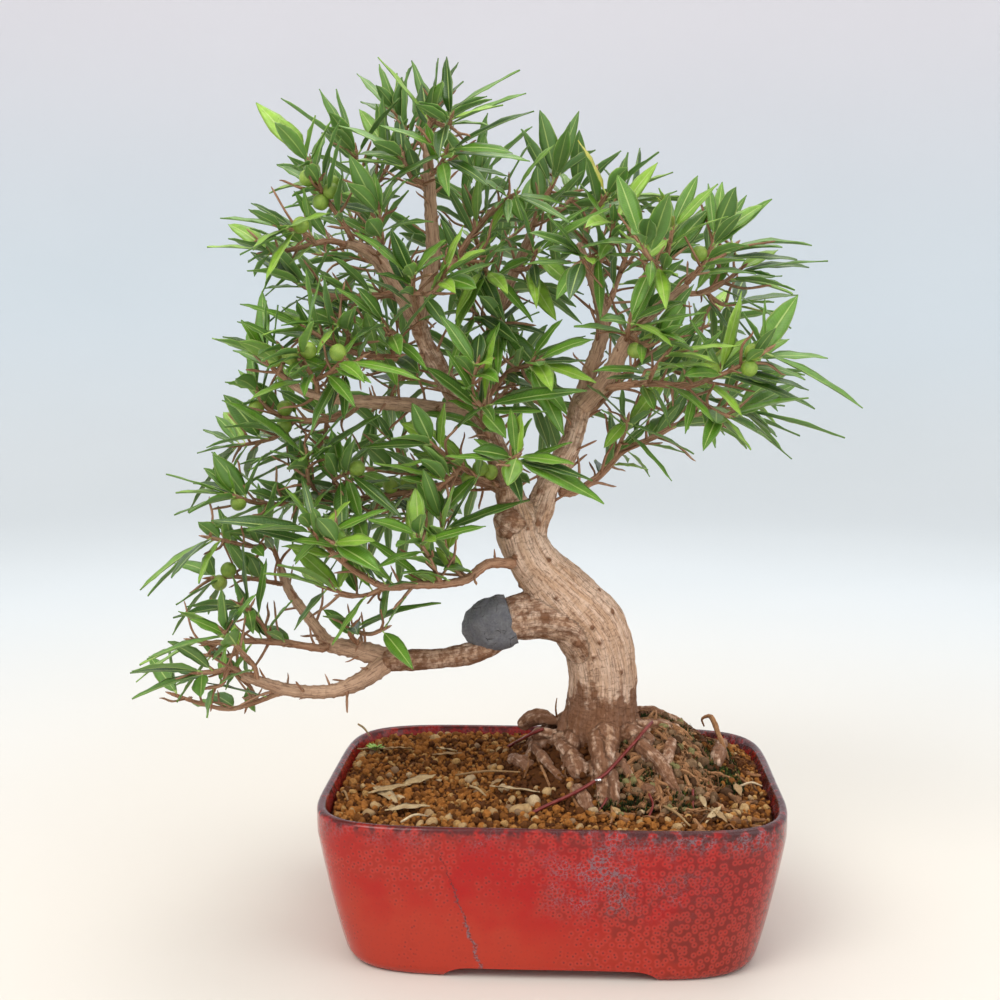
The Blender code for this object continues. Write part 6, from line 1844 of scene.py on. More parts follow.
@dataclass(frozen=True)
class MadeFinish:
    """A made material, such as coated wire, cut metal or black plastic, with slight wear."""

    name: str
    colour: tuple[float, float, float]
    worn: tuple[float, float, float]
    metallic: float
    roughness: float
    grain: float

    def build(self) -> bpy.types.Material:
        """Builds the material."""
        made, graph, shader = new_surface(self.name)
        cloud = graph.noise(graph.place(), 1.0 / self.grain, 4.0)
        graph.tree.links.new(graph.mix(graph.span(cloud, 0.45, 0.72), self.colour, self.worn),
                             shader.inputs["Base Color"])
        rough = graph.span(cloud, 0.3, 0.7, self.roughness - 0.08, self.roughness + 0.12)
        graph.tree.links.new(rough, shader.inputs["Roughness"])
        graph.tree.links.new(graph.bump(cloud, 0.00008, 0.4), shader.inputs["Normal"])
        shader.inputs["Metallic"].default_value = self.metallic
        return made


def fresh_object(name: str, corners: Iterable, faces: Iterable) -> bpy.types.Object:
    """An object with this mesh, its faces turned outwards."""
    mesh = bpy.data.meshes.new(name)
    mesh.from_pydata([tuple(corner) for corner in corners], [], [tuple(face) for face in faces])
    work = bmesh.new()
    work.from_mesh(mesh)
    bmesh.ops.recalc_face_normals(work, faces=work.faces)
    work.to_mesh(mesh)
    work.free()
    obj = bpy.data.objects.new(name, mesh)
    bpy.context.scene.collection.objects.link(obj)
    return obj


def apply_modifiers(obj: bpy.types.Object) -> None:
    """Turns an object's modifiers into its mesh."""
    graph = bpy.context.evaluated_depsgraph_get()
    graph.update()
    mesh = bpy.data.meshes.new_from_object(obj.evaluated_get(graph))
    old = obj.data
    obj.modifiers.clear()
    obj.data = mesh
    bpy.data.meshes.remove(old)


def loft(rings: list[list[Vector]]) -> tuple[list, list]:
    """A closed shell through rings of equal count, with flat ends."""
    count = len(rings[0])
    corners = [corner for ring in rings for corner in ring]
    faces: list[tuple[int, ...]] = []
    for ring in range(len(rings) - 1):
        for i in range(count):
            a, b = ring * count + i, ring * count + (i + 1) % count
            faces.append((a, b, b + count, a + count))
    faces.append(tuple(reversed(range(count))))
    faces.append(tuple(range((len(rings) - 1) * count, len(rings) * count)))
    return corners, faces


def mark(obj: bpy.types.Object, name: str, values: Iterable[float]) -> None:
    """Stores one number per corner on a piece's mesh, for its finish to read."""
    layer = obj.data.attributes.new(name, "FLOAT", "POINT")
    layer.data.foreach_set("value", np.asarray(values, np.float32))


def corners_of(obj: bpy.types.Object) -> np.ndarray:
    """The places of a mesh's corners, one row each."""
    flat = np.empty(3 * len(obj.data.vertices))
    obj.data.vertices.foreach_get("co", flat)
    return flat.reshape(-1, 3)


def place_corners(obj: bpy.types.Object, corners: np.ndarray) -> None:
    """Moves a mesh's corners to these places."""
    obj.data.vertices.foreach_set("co", corners.ravel())
    obj.data.update()


@dataclass
class PotBody:
    """The glazed pot: a footed box with drawn-in sides, a thin rounded lip and two drain holes."""

    points: int = 168
    lip_steps: int = 8
    wall_steps: int = 12

    def rings(self) -> list[list[Vector]]:
        """The pot's level rings, from inside its foot, out and up the wall, over the lip and down inside."""
        top = POT_HEIGHT
        outline = [(FOOT_RISE, FOOT_BAND), (0.0004, FOOT_BAND), (0.0, FOOT_BAND - 0.0012), (0.0, 0.0026),
                   (0.0004, 0.0014), (0.0014, 0.0006), (0.0030, 0.0001)]
        for step in range(self.wall_steps + 1):
            outline.append((0.0045 + (top - 0.0105) * step / self.wall_steps, 0.0))
        outline.append((top - 0.0030, 0.0000))
        for step in range(self.lip_steps + 1):
            turn = math.pi * step / self.lip_steps
            outline.append((top - 0.0017 + 0.0017 * math.sin(turn), 0.0018 - 0.0018 * math.cos(turn)))
        outline += [(top - 0.0040, WALL - 0.0004), (top - 0.0070, WALL), (0.040, WALL), (0.022, WALL),
                    (FLOOR_TOP + 0.0030, WALL + 0.0005), (FLOOR_TOP + 0.0009, WALL + 0.0018), (FLOOR_TOP, WALL + 0.0040)]
        return [plan_ring(height, inset, self.points) for height, inset in outline]

    def arch(self, half: float, reach: float, aside: float, turned: bool) -> tuple[list, list]:
        """The low opening between two feet, with rounded upper corners, as a cutter."""
        profile = [(-half, -0.002), (-half, 0.0005)]
        steps = 5
        for step in range(1, steps + 1):
            turn = math.pi / 2 * step / steps
            profile.append((-half + ARCH_SLOPE * (1 - math.cos(turn)) * 0.9 + 0.0006 * step,
                            0.0005 + (ARCH_RISE - 0.0005) * math.sin(turn)))
        profile += [(-a, z) for a, z in reversed(profile)]
        rings = []
        for end in (-reach, reach):
            rings.append([in_pot(end, a, z) if turned else in_pot(a + aside, end, z) for a, z in profile])
        return loft(rings)

    def map_wall(self, obj: bpy.types.Object, corners: np.ndarray) -> None:
        """Maps the wall by the way round the pot and the height, both in metres."""
        rim = np.array([tuple(point - POT_CENTRE) for point in plan_ring(POT_HEIGHT, 0.0, self.points)])
        turns = np.unwrap(np.arctan2(rim[:, 1], rim[:, 0]))
        ways = np.cumsum(np.linalg.norm(np.diff(rim, axis=0, append=rim[:1]), axis=1))
        away = corners - np.array(POT_CENTRE)
        turn = (np.arctan2(away[:, 1], away[:, 0]) - turns[0]) % math.tau
        way = np.interp(turn, np.append(turns - turns[0], math.tau), np.concatenate([[0.0], ways]))
        layer = obj.data.uv_layers.new(name="wall_map")
        for face in obj.data.polygons:
            places = way[list(face.vertices)]
            places = np.where(places.max() - places > ways[-1] / 2, places + ways[-1], places)
            for loop, vertex, place in zip(face.loop_indices, face.vertices, places):
                layer.data[loop].uv = (place, corners[vertex][2])

    def build(self, shift: Vector, glaze: bpy.types.Material) -> bpy.types.Object:
        """Builds the pot, cuts its arches and drain holes, and marks it for its glaze."""
        obj = fresh_object("glazed_pot", *loft(self.rings()))
        cutters = [self.arch(ARCH_HALF_FRONT, POT_DEPTH, ARCH_ASIDE, False),
                   self.arch(ARCH_HALF_SIDE, POT_WIDTH, 0.0, True)]
        for side in (-1, 1):
            low, high = in_pot(side * DRAIN_X, 0, -0.01), in_pot(side * DRAIN_X, 0, 0.02)
            corners, faces = tube_arrays(Axis([(*low, DRAIN_RADIUS), (*high, DRAIN_RADIUS)], 1), 48)
            cutters.append((corners, [face for rows in faces for face in rows.tolist()]))
        for index, cutter in enumerate(cutters):
            tool = fresh_object(f"pot_cutter_{index}", *cutter)
            step = obj.modifiers.new("cut", "BOOLEAN")
            step.operation, step.solver, step.object = "DIFFERENCE", "EXACT", tool
            apply_modifiers(obj)
            bpy.data.objects.remove(tool)
        corners = corners_of(obj)
        top_inset = np.abs(corners[:, 2] - POT_HEIGHT)
        mark(obj, "height", corners[:, 2] / POT_HEIGHT)
        mark(obj, "side", (corners[:, 0] - POT_CENTRE.x) / (POT_WIDTH / 2))
        mark(obj, "lip", np.clip(1.0 - top_inset / 0.0040, 0.0, 1.0))
        self.map_wall(obj, corners)
        sway = np.array([noise.noise(Vector(corner) * 28.0) for corner in corners]) * 0.00025
        away = corners - np.array(POT_CENTRE)
        away[:, 2] = 0.0
        corners += away / np.maximum(np.linalg.norm(away, axis=1), 1e-6)[:, None] * sway[:, None]
        place_corners(obj, corners + np.array(shift))
        obj.data.shade_smooth()
        obj.data.set_sharp_from_angle(angle=math.radians(42))
        return settle(obj, [glaze], Slot.GLAZE, ["pot"])


@dataclass
class SoilBed:
    """The granular mix: an uneven bed, its grains, its stones and the moss on the root ball."""

    spokes: int = 150
    rings: int = 56
    crumb_pitch: float = 0.0023
    grain_pitch: float = 0.0038
    stones: int = 110
    seed: int = 12

    def bed(self, shift: Vector, surface: bpy.types.Material) -> None:
        """Builds the bed that the grains lie in."""
        wall = plan_ring(POT_HEIGHT - 0.0062, WALL + 0.0004, self.spokes)
        rows = [plan_ring(SOIL_FLOOR, WALL + 0.006, self.spokes), plan_ring(0.024, WALL + 0.0006, self.spokes), wall]
        middle = POT_CENTRE + Vector((0.004, 0.0, 0.0))
        for ring in range(1, self.rings):
            share = 1 - ring / self.rings
            row = []
            for point in wall:
                x = middle.x + (point.x - middle.x) * share
                y = middle.y + (point.y - middle.y) * share
                rough = noise.noise(Vector((x * 420, y * 420, 3.0))) * 0.0008
                row.append(Vector((x, y, soil_height(x, y) + rough - 0.0006)))
            rows.append(row)
        corners, faces = loft(rows)
        gather = Gather()
        quads = [face for face in faces if len(face) == 4]
        caps = [[face] for face in faces if len(face) != 4]
        gather.add([tuple(corner) for corner in corners], [quads, *caps], tone=0.1)
        gather.piece("soil_bed", shift, [surface], Slot.SOIL, ["soil"])

    def inside(self, x: float, y: float, margin: float) -> bool:
        """Whether a place is inside the pot's wall by a margin."""
        turn_x, turn_y = x - POT_CENTRE.x, y - POT_CENTRE.y
        cos, sin = math.cos(-POT_TURN), math.sin(-POT_TURN)
        across = abs(turn_x * cos - turn_y * sin) / (POT_WIDTH / 2 - WALL - margin)
        along = abs(turn_x * sin + turn_y * cos) / (POT_DEPTH / 2 - WALL - margin)
        return across ** POT_SQUARENESS + along ** POT_SQUARENESS < 1.0

    def spots(self, pitch: float, rng: np.random.Generator, margin: float) -> Iterator[tuple[float, float]]:
        """Places on a jittered grid inside the pot, off the trunk."""
        for i in range(int(POT_WIDTH / pitch) + 1):
            for j in range(int(POT_DEPTH / pitch) + 1):
                x = POT_CENTRE.x - POT_WIDTH / 2 + pitch * (i + rng.uniform(-0.5, 0.5))
                y = POT_CENTRE.y - POT_DEPTH / 2 + pitch * (j + rng.uniform(-0.5, 0.5))
                if self.inside(x, y, margin) and math.hypot(x - ROOT_FOOT.x, y - ROOT_FOOT.y) > 0.006:
                    yield x, y

    def scatter(self, name: str, shift: Vector, surface: bpy.types.Material, pitch: float,
                sizes: tuple[float, float], detail: int) -> None:
        """Lays chipped grains of one kind over the bed, fewer and darker on the root ball."""
        rng = np.random.default_rng(self.seed + detail)
        ball, faces = lump(detail)
        gather = Gather()
        for x, y in self.spots(pitch, rng, sizes[1]):
            size = rng.uniform(*sizes)
            mound = min(max((soil_height(x, y) - SOIL_LEVEL) / 0.006, 0.0), 1.0)
            if rng.random() < 0.35 * mound:
                continue
            patch = noise.noise(Vector((x * 60.0, y * 60.0, 1.0)))
            tone = rng.uniform(0.15, 0.72) + 0.35 * patch - 0.42 * mound
            tone = rng.uniform(0.74, 1.0) if rng.random() < 0.12 - 0.06 * mound else tone
            tone = rng.uniform(0.0, 0.12) if rng.random() < 0.10 else tone
            corners = chipped_lump(rng, ball, size * rng.uniform(0.75, 1.2, size=3))
            lift = soil_height(x, y) + size * rng.uniform(-0.35, 0.7)
            gather.add(corners + (x, y, lift), [faces], tone=min(max(tone, 0.0), 1.0))
        gather.piece(name, shift, [surface], Slot.SOIL, (), False)

    def stone_spots(self, rng: np.random.Generator) -> Iterator[tuple[float, float, float]]:
        """The stones seen in front view, then others by a rule, most of them on the left."""
        for column, row, size in STONE_PLACES:
            place = on_soil(column, row, size * 0.4 * MM, {})
            while not self.inside(place.x, place.y, size * MM):
                place = place.lerp(POT_CENTRE, 0.02)
            yield place.x, place.y, size * MM
        for _ in range(self.stones):
            x = POT_CENTRE.x + POT_WIDTH * (0.46 - 0.9 * rng.random() ** 0.75) * rng.choice((1.0, 1.0, -0.6))
            y = POT_CENTRE.y + POT_DEPTH * rng.uniform(-0.45, 0.45)
            size = rng.uniform(0.0013, 0.0026)
            if self.inside(x, y, size) and math.hypot(x - ROOT_FOOT.x, y - ROOT_FOOT.y) > 0.04:
                yield x, y, size

    def lay_stones(self, shift: Vector, surface: bpy.types.Material) -> None:
        """Lays the larger tan, cream and grey stones."""
        rng = np.random.default_rng(self.seed)
        ball, faces = lump(2)
        gather = Gather()
        for x, y, size in self.stone_spots(rng):
            corners = chipped_lump(rng, ball, size * rng.uniform(0.65, 1.25, size=3))
            height = soil_height(x, y) + size * rng.uniform(0.0, 0.4)
            gather.add(corners + (x, y, height), [faces], tone=rng.choice((0.0, 0.3, 0.45, 0.5, 0.55, 0.6, 0.7, 0.85)))
        gather.piece("soil_stones", shift, [surface], Slot.SOIL)

    def grow_moss(self, shift: Vector, surface: bpy.types.Material) -> None:
        """Grows dark moss in patches on the root ball, as short pointed tufts."""
        rng = np.random.default_rng(self.seed + 5)
        gather = Gather()
        turns = math.tau * np.arange(3) / 3
        faces = [(0, 1, 3), (1, 2, 3), (2, 0, 3), (2, 1, 0)]
        for _ in range(MOSS_TRIES):
            x = rng.uniform(0.020, 0.084)
            y = rng.uniform(-0.056, 0.052)
            patch = noise.noise(Vector((x * 95.0, y * 95.0, 7.0)))
            if patch < -0.16 or not self.inside(x, y, 0.004) or soil_height(x, y) < SOIL_LEVEL + 0.0016:
                continue
            base = soil_height(x, y) + rng.uniform(-0.0004, 0.0012)
            radius = rng.uniform(0.00022, 0.0005)
            lean = rng.uniform(-0.0008, 0.0008, size=2)
            ring = np.stack([x + radius * np.cos(turns), y + radius * np.sin(turns), np.full(3, base)], axis=-1)
            tip = (x + lean[0], y + lean[1], base + rng.uniform(0.0010, 0.0028))
            gather.add(np.vstack([ring, tip]), [faces], tone=rng.uniform(0.0, 1.0))
        gather.piece("moss", shift, [surface], Slot.SOIL)


@dataclass
class Wood:
    """The grown wood: the trunk with its stems and roots as one skin, and the thinner limbs."""

    skin: float = 0.0008
    trunk_sides: int = 48
    limb_sides: int = 18
    thick: tuple[str, ...] = ("trunk", "stub", "burr", "low", "left_stem", "right_stem")
    grooves: float = 0.00048
    waves: float = 0.0009
    root_relief: float = 0.0006
    knot_reach: float = 0.0012
    knot_height: float = 0.0012

    def axes(self) -> dict[str, Axis]:
        """The axis of every thick limb and root, with fine steps."""
        made = {limb.name: limb_axis(limb, 6) for limb in TREE if limb.name in self.thick}
        for number, root in enumerate(ROOTS):
            made[f"root_{number}"] = Axis(root_axis(root).knots, 5)
        for number, route in enumerate(STOUT_ROOTS):
            made[f"root_stout_{number}"] = Axis(laid_route(route), 5)
        for number, route in enumerate(FLARES):
            made[f"flare_{number}"] = Axis([(*sight(c, r, d), radius * MM) for c, r, d, radius in route], 5)
        return made

    def knots(self, limbs: dict[str, Axis]) -> list[np.ndarray]:
        """Where the small knots stand on the bark, found along the front view's lines of sight."""
        places = []
        for column, row in KNOTS:
            depth = SOIL_NEAR
            while bark_distance(sight(column, row, depth), limbs) > 0.0 and depth < SOIL_FAR:
                depth += SIGHT_STEP
            places.append(np.array(sight(column, row, depth)))
        return places

    def build_skin(self, shift: Vector, bark: bpy.types.Material) -> bpy.types.Object:
        """Joins the thick wood in one fine skin and raises its ridges, waves and knots."""
        axes = self.axes()
        corners, faces = [], []
        for number, (name, axis) in enumerate(axes.items()):
            root = name.startswith("root")
            swell = knobbly(axis, number, 0.007, 0.07) if root else None
            rows, arrays = tube_arrays(axis, 24 if root else self.trunk_sides, swell)
            faces.extend((np.array(face) + len(corners)).tolist() for part in arrays for face in part)
            corners.extend(rows.tolist())
        obj = fresh_object("trunk_bark", corners, faces)
        step = obj.modifiers.new("skin", "REMESH")
        step.mode, step.voxel_size, step.use_smooth_shade = "VOXEL", self.skin, True
        soften = obj.modifiers.new("soften", "SMOOTH")
        soften.factor, soften.iterations = 0.5, 4
        apply_modifiers(obj)
        self.raise_bark(obj, axes)
        place_corners(obj, corners_of(obj) + np.array(shift))
        obj.data.shade_smooth()
        return settle(obj, [bark], Slot.BARK, ["trunk"])

    def nearest_grain(self, corners: np.ndarray, axes: dict[str, Axis]) -> tuple[np.ndarray, np.ndarray, np.ndarray]:
        """For each corner, how the grain runs, which way is outwards, and which axis is nearest.

        Args:
            corners: the skin's corners.
            axes: the axes of the thick wood.

        Returns:
            The place round and along the nearest axis, the outward direction, and the axis's number.
        """
        near = np.full(len(corners), np.inf)
        grain = np.zeros((len(corners), 3))
        outward = np.zeros((len(corners), 3))
        owner = np.zeros(len(corners), int)
        for number, axis in enumerate(axes.values()):
            for point, radius, (way, side, other), along in zip(axis.points, axis.radii, frames_along(axis.points),
                                                                axis.along):
                offset = corners - np.array(point)
                away = np.linalg.norm(offset, axis=1) / radius
                closer = away < near
                near[closer] = away[closer]
                near_offset = offset[closer]
                across, up = near_offset @ np.array(side), near_offset @ np.array(other)
                length = np.maximum(np.hypot(across, up), 1e-6)
                grain[closer] = np.stack([across / length * radius + number * 0.37, up / length * radius,
                                          along + near_offset @ np.array(way)], axis=-1)
                outward[closer] = (across / length)[:, None] * side + (up / length)[:, None] * other
                owner[closer] = number
        return grain, outward, owner

    def raise_bark(self, obj: bpy.types.Object, axes: dict[str, Axis]) -> None:
        """Moves the skin's corners in and out, and marks how the grain runs and where it is soiled."""
        corners = corners_of(obj)
        grain, outward, owner = self.nearest_grain(corners, axes)
        rooted = np.array([float(name.startswith("root")) for name in axes])[owner]
        browned = np.array([BROWNED.get(name, 0.0) for name in axes])[owner]
        bumps = np.zeros(len(corners))
        for place in self.knots(axes):
            away = np.linalg.norm(corners - place, axis=1)
            bumps += np.exp(-(away / self.knot_reach) ** 2)
        relief = np.empty((len(corners), 5))
        for i, (x, y, z) in enumerate(grain):
            relief[i] = (noise.noise((x * 420, y * 420, z * 55)) + 0.5 * noise.noise((x * 900, y * 900, z * 130)),
                         noise.noise(corners[i] * 85.0), noise.noise((x * 60, y * 60, z * 420)),
                         noise.noise((x * 380, y * 380, z * 110)) + 0.6 * noise.noise(corners[i] * 520.0),
                         noise.noise((x * 260, y * 260, z * 20)))
        moved = (relief[:, 0] + 0.6 * relief[:, 2]) * self.grooves + relief[:, 1] * self.waves
        edge = SOILED_TOP + SOILED_SWAY * (relief[:, 1] + relief[:, 4])
        earthy = np.clip((edge - corners[:, 2]) / SOILED_FADE, 0.0, 1.0)
        moved += relief[:, 3] * self.root_relief * (0.35 * earthy + 0.65 * rooted) + bumps * self.knot_height
        place_corners(obj, corners + outward * moved[:, None])
        for index, label in enumerate(("grain_x", "grain_y", "grain_z")):
            mark(obj, label, grain[:, index])
        low = earthy * (1.0 - 0.25 * rooted) - 0.5 * relief[:, 3] * earthy + 1.1 * bumps
        low += browned * (1.0 + 0.6 * relief[:, 4]) + 0.25 * np.maximum(relief[:, 1], 0.0)
        mark(obj, "low", np.clip(low, 0.0, 1.0))

    def build_limbs(self, shift: Vector, bark: bpy.types.Material) -> None:
        """Builds the thinner limbs as knobbly tubes."""
        gather = Gather()
        for number, limb in enumerate(TREE):
            if limb.name not in self.thick:
                axis = limb_axis(limb, 12)
                add_stem(gather, axis, self.limb_sides, knobbly(axis, number, 0.008, 0.12))
        gather.piece("limbs", shift, [bark], Slot.BARK, ["trunk"])

    def build_spurs(self, shift: Vector, bark: bpy.types.Material, crown: list[GrownSpray]) -> None:
        """Builds the short bare twigs along the limbs and shoots, by a rule."""
        rng = random.Random(self.limb_sides)
        gather = Gather()
        carriers = [(limb_axis(limb, 4), 0.0055) for limb in TREE if limb.name not in ("trunk", "stub", "low")]
        carriers += [(axis, 0.0050) for grown in crown for axis in grown.axes]
        for axis, pitch in carriers:
            distance = 0.10 * axis.length
            turn = rng.uniform(0, math.tau)
            while distance < 0.95 * axis.length:
                turn += GOLDEN_TURN
                place, along, radius = axis.at(distance)
                side = along.orthogonal().normalized()
                outward = side * math.cos(turn) + along.cross(side) * math.sin(turn)
                heading = (along * rng.uniform(0.2, 0.9) + outward + UP * 0.3).normalized()
                length = rng.uniform(0.004, 0.019)
                end = place + heading * length
                if in_crown(end) and end.z > LOWEST_LEAF:
                    sway = Vector([rng.uniform(-0.12, 0.12) * length for _ in range(3)])
                    middle = place.lerp(end, 0.5) + sway
                    knots = [(*(place + outward * radius * 0.5), 0.0007), (*middle, 0.00055), (*end, 0.00045),
                             (*(end + heading * 0.0022), 0.00015)]
                    twig = Axis(knots, 3)
                    add_stem(gather, twig, 4, knobbly(twig, rng.randrange(99), 0.0032, 0.25))
                distance += pitch * rng.uniform(0.6, 1.4)
        gather.piece("spur_twigs", shift, [bark], Slot.BARK)


def add_stem(gather: Gather, axis: Axis, sides: int, swell: list[float] | None = None, low: float = 0.0) -> None:
    """Adds a round stem, with the values that bark reads."""
    corners, faces = tube_arrays(axis, sides, swell)
    turns = math.tau * np.arange(sides) / sides
    radii = np.array(axis.radii)
    across = np.concatenate([(radii[:, None] * np.cos(turns)).ravel(), [0.0, 0.0]])
    up = np.concatenate([(radii[:, None] * np.sin(turns)).ravel(), [0.0, 0.0]])
    gather.add(corners, faces, grain_x=across + axis.points[0].x, grain_y=up, grain_z=along_values(axis, sides), low=low)


def laid_route(route: tuple) -> list[tuple[float, float, float, float]]:
    """Lays a root of the front view on the soil.

    Args:
        route: places of (column, row, lift, radius), with the lift over the soil in millimetres.

    Returns:
        Knots of an axis. Where the soil lies much deeper than the last place, that place's depth is kept.
    """
    knots = []
    depth = None
    for column, row, lift, radius in route:
        place = on_soil(column, row, lift * MM, {})
        if depth is not None and place.y / MM > depth + DEPTH_JUMP:
            place = sight(column, row, depth + 0.5 * lift)
        depth = place.y / MM
        knots.append((*place, radius * MM))
    return knots


@dataclass
class RootBall:
    """The tangle over the mound: whisker roots, the knobs they leave, and roots that stand up from it."""

    whiskers: int = 300
    stubs: int = 150
    knobs: int = 170
    steps: int = 7
    seed: int = 8

    def wander(self, rng: random.Random) -> list[tuple[float, float, float, float]]:
        """One thin root that runs over the mound, as the knots of an axis."""
        x = rng.gauss(ROOT_BALL_MIDDLE.x, 0.015)
        y = rng.gauss(ROOT_BALL_MIDDLE.y, 0.021)
        heading = rng.uniform(0, math.tau)
        radius = rng.choice((0.14, 0.18, 0.24, 0.34, 0.55)) * MM
        pace = rng.uniform(0.0011, 0.0026)
        lift = rng.uniform(0.0, 3.6) * MM
        knots = []
        for step in range(self.steps):
            share = step / (self.steps - 1)
            arch = math.sin(math.pi * min(share * 1.2, 1.0)) * lift
            z = soil_height(x, y) + arch + rng.uniform(-0.3, 0.7) * MM
            knots.append((x, y, z, radius * (1.0 - 0.65 * share)))
            heading += rng.uniform(-1.3, 1.3)
            x += math.cos(heading) * pace
            y += math.sin(heading) * pace
        return knots

    def stub(self, rng: random.Random) -> list[tuple[float, float, float, float]]:
        """One short gnarled root that leaves the mound and ends cut or broken, as the knots of an axis."""
        x = rng.gauss(ROOT_BALL_MIDDLE.x, 0.013)
        y = rng.gauss(ROOT_BALL_MIDDLE.y - 0.012, 0.019)
        heading = rng.uniform(0, math.tau)
        radius = rng.uniform(0.55, 1.55) * MM
        rise = rng.uniform(-0.3, 1.6) * MM
        knots = []
        for step in range(4):
            z = soil_height(x, y) + radius * 0.5 + rise * step / 2
            knots.append((x, y, z, radius * (1.15 - 0.22 * step)))
            heading += rng.uniform(-0.9, 0.9)
            x += math.cos(heading) * 0.0026
            y += math.sin(heading) * 0.0026
        return knots

    def build(self, shift: Vector, bark: bpy.types.Material) -> None:
        """Builds the thin roots by a rule and the standing ones along their routes."""
        rng = random.Random(self.seed)
        gather = Gather()
        for _ in range(self.whiskers):
            add_stem(gather, Axis(self.wander(rng), 2), 4, None, rng.choice((0.0, 0.3, 0.6, 0.9)))
        for number in range(self.stubs):
            stub = Axis(self.stub(rng), 3)
            add_stem(gather, stub, 7, knobbly(stub, number, 0.0021, 0.35), rng.choice((0.0, 0.15, 0.5)))
        for number, route in enumerate(THIN_ROOTS):
            axis = Axis(laid_route(route), 6)
            add_stem(gather, axis, 8, knobbly(axis, number, 0.0035, 0.2), 0.1)
        gather.piece("root_tangle", shift, [bark], Slot.BARK)

    def lay_knobs(self, shift: Vector, surface: bpy.types.Material) -> None:
        """Lays the knobs and crumbs of root among the whiskers."""
        rng = np.random.default_rng(self.seed)
        ball, faces = lump(2)
        gather = Gather()
        for _ in range(self.knobs):
            x = rng.normal(ROOT_BALL_MIDDLE.x, 0.014)
            y = rng.normal(ROOT_BALL_MIDDLE.y - 0.006, 0.020)
            if soil_height(x, y) > SOIL_LEVEL + 0.001:
                size = rng.uniform(0.0007, 0.0020)
                corners = rough_lump(rng, ball, size * rng.uniform(0.7, 1.5, size=3), 0.15)
                gather.add(corners + (x, y, soil_height(x, y) + 0.8 * size), [faces], tone=rng.choice((0.1, 0.3, 0.5, 0.6, 0.85)))
        gather.piece("root_knobs", shift, [surface], Slot.BARK)


@dataclass
class WoundPaste:
    """The grey paste over the sawn limb: a lumpy cap."""

    sides: int = 64
    rings: int = 40
    lumps: float = 0.0005

    def build(self, shift: Vector, surface: bpy.types.Material) -> None:
        """Builds the cap round the same line and profile as its solid."""
        start, end = sight(*PASTE_FROM), sight(*PASTE_TO)
        middle = (end - start).normalized()
        side = middle.cross(UP).normalized()
        other = side.cross(middle)
        shares = [0.0] + [share for share, _ in PASTE_PROFILE][1:] + [1.0]
        radii = [radius for _, radius in PASTE_PROFILE] + [0.0006]
        rings = []
        for step in range(self.rings + 1):
            share = math.sin(math.pi / 2 * step / self.rings)
            radius = float(np.interp(share, shares, radii))
            at = start + (end - start) * share
            ring = []
            for i in range(self.sides):
                angle = math.tau * i / self.sides
                wave = 1 + 0.05 * math.sin(3 * angle + 1) + 0.03 * math.sin(5 * angle)
                place = at + (side * math.cos(angle) + other * math.sin(angle) * PASTE_TALL) * radius * wave
                way = (place - at).normalized()
                rough = noise.noise(place * 300.0) + 0.5 * noise.noise(place * 750.0)
                ring.append(place + way * rough * self.lumps)
            rings.append(ring)
        obj = fresh_object("paste_cap", *loft(rings))
        place_corners(obj, corners_of(obj) + np.array(shift))
        obj.data.shade_smooth()
        settle(obj, [surface], Slot.PASTE, ["wound_paste"])


@dataclass
class TieWires:
    """The thin coated wires on the root ball, one with its cut end showing."""

    sides: int = 12
    reach: int = 5
    most: float = 0.012

    def in_front(self, knots: list, wood: BVHTree, shift: Vector) -> list[tuple[float, float, float, float]]:
        """Brings a wire clear of the finer wood, towards the front view's eye, by a few millimetres at most."""
        points = Axis(knots, 8).points
        lines = [point - EYE for point in points]
        hits = [wood.ray_cast(EYE + shift, line.normalized())[3] for line in lines]
        moves = np.zeros(len(points))
        for i, (line, hit) in enumerate(zip(lines, hits)):
            if hit is not None and line.length - self.most < hit < line.length + WIRE_RADIUS:
                moves[i] = line.length + 1.3 * WIRE_RADIUS - hit
        padded = np.pad(moves, self.reach, mode="edge")
        wide = np.array([padded[i:i + 2 * self.reach + 1].max() for i in range(len(points))])
        padded = np.pad(wide, self.reach, mode="edge")
        even = np.convolve(padded, np.ones(2 * self.reach + 1) / (2 * self.reach + 1), mode="valid")
        return [(*(EYE + line * (1 - move / line.length)), WIRE_RADIUS) for line, move in zip(lines, even)]

    def build(self, shift: Vector, wood: bpy.types.Object, coat: bpy.types.Material,
              cut: bpy.types.Material) -> None:
        """Builds each wire along the route of its solid, clear of the finer wood."""
        shell = bmesh.new()
        shell.from_mesh(wood.data)
        tree = BVHTree.FromBMesh(shell)
        shell.free()
        roots = {limb.name: limb_axis(limb, 2 if limb.name == "trunk" else 1) for limb in TREE}
        for number, root in enumerate(ROOTS):
            roots[f"root_{number}"] = root_axis(root)
        for name, route in WIRES:
            knots = [(*on_soil(column, row, (lift + 1.1) * MM, roots), WIRE_RADIUS) for column, row, lift in route]
            gather = Gather()
            clear = self.in_front(knots, tree, shift)
            gather.add(*tube_arrays(Axis(clear, 1), self.sides))
            if name == "tie_wire_front":
                ends = [Vector(knot[:3]) for knot in clear]
                end = min(ends, key=lambda place: math.dist(seen_at(place), CUT_END))
                stub = Axis([(*end, WIRE_RADIUS), (*(end + Vector((0.0022, -0.0012, 0.0008))), WIRE_RADIUS)], 2)
                gather.add(*tube_arrays(stub, self.sides), 1)
            gather.piece(name.replace("tie_wire", "coated_wire"), shift, [coat, cut], Slot.WIRE, [name])
        gather = Gather()
        for route in WIRE_ENDS:
            gather.add(*tube_arrays(Axis(laid_route(route), 5), self.sides))
        gather.piece("wire_ends", shift, [coat], Slot.WIRE)


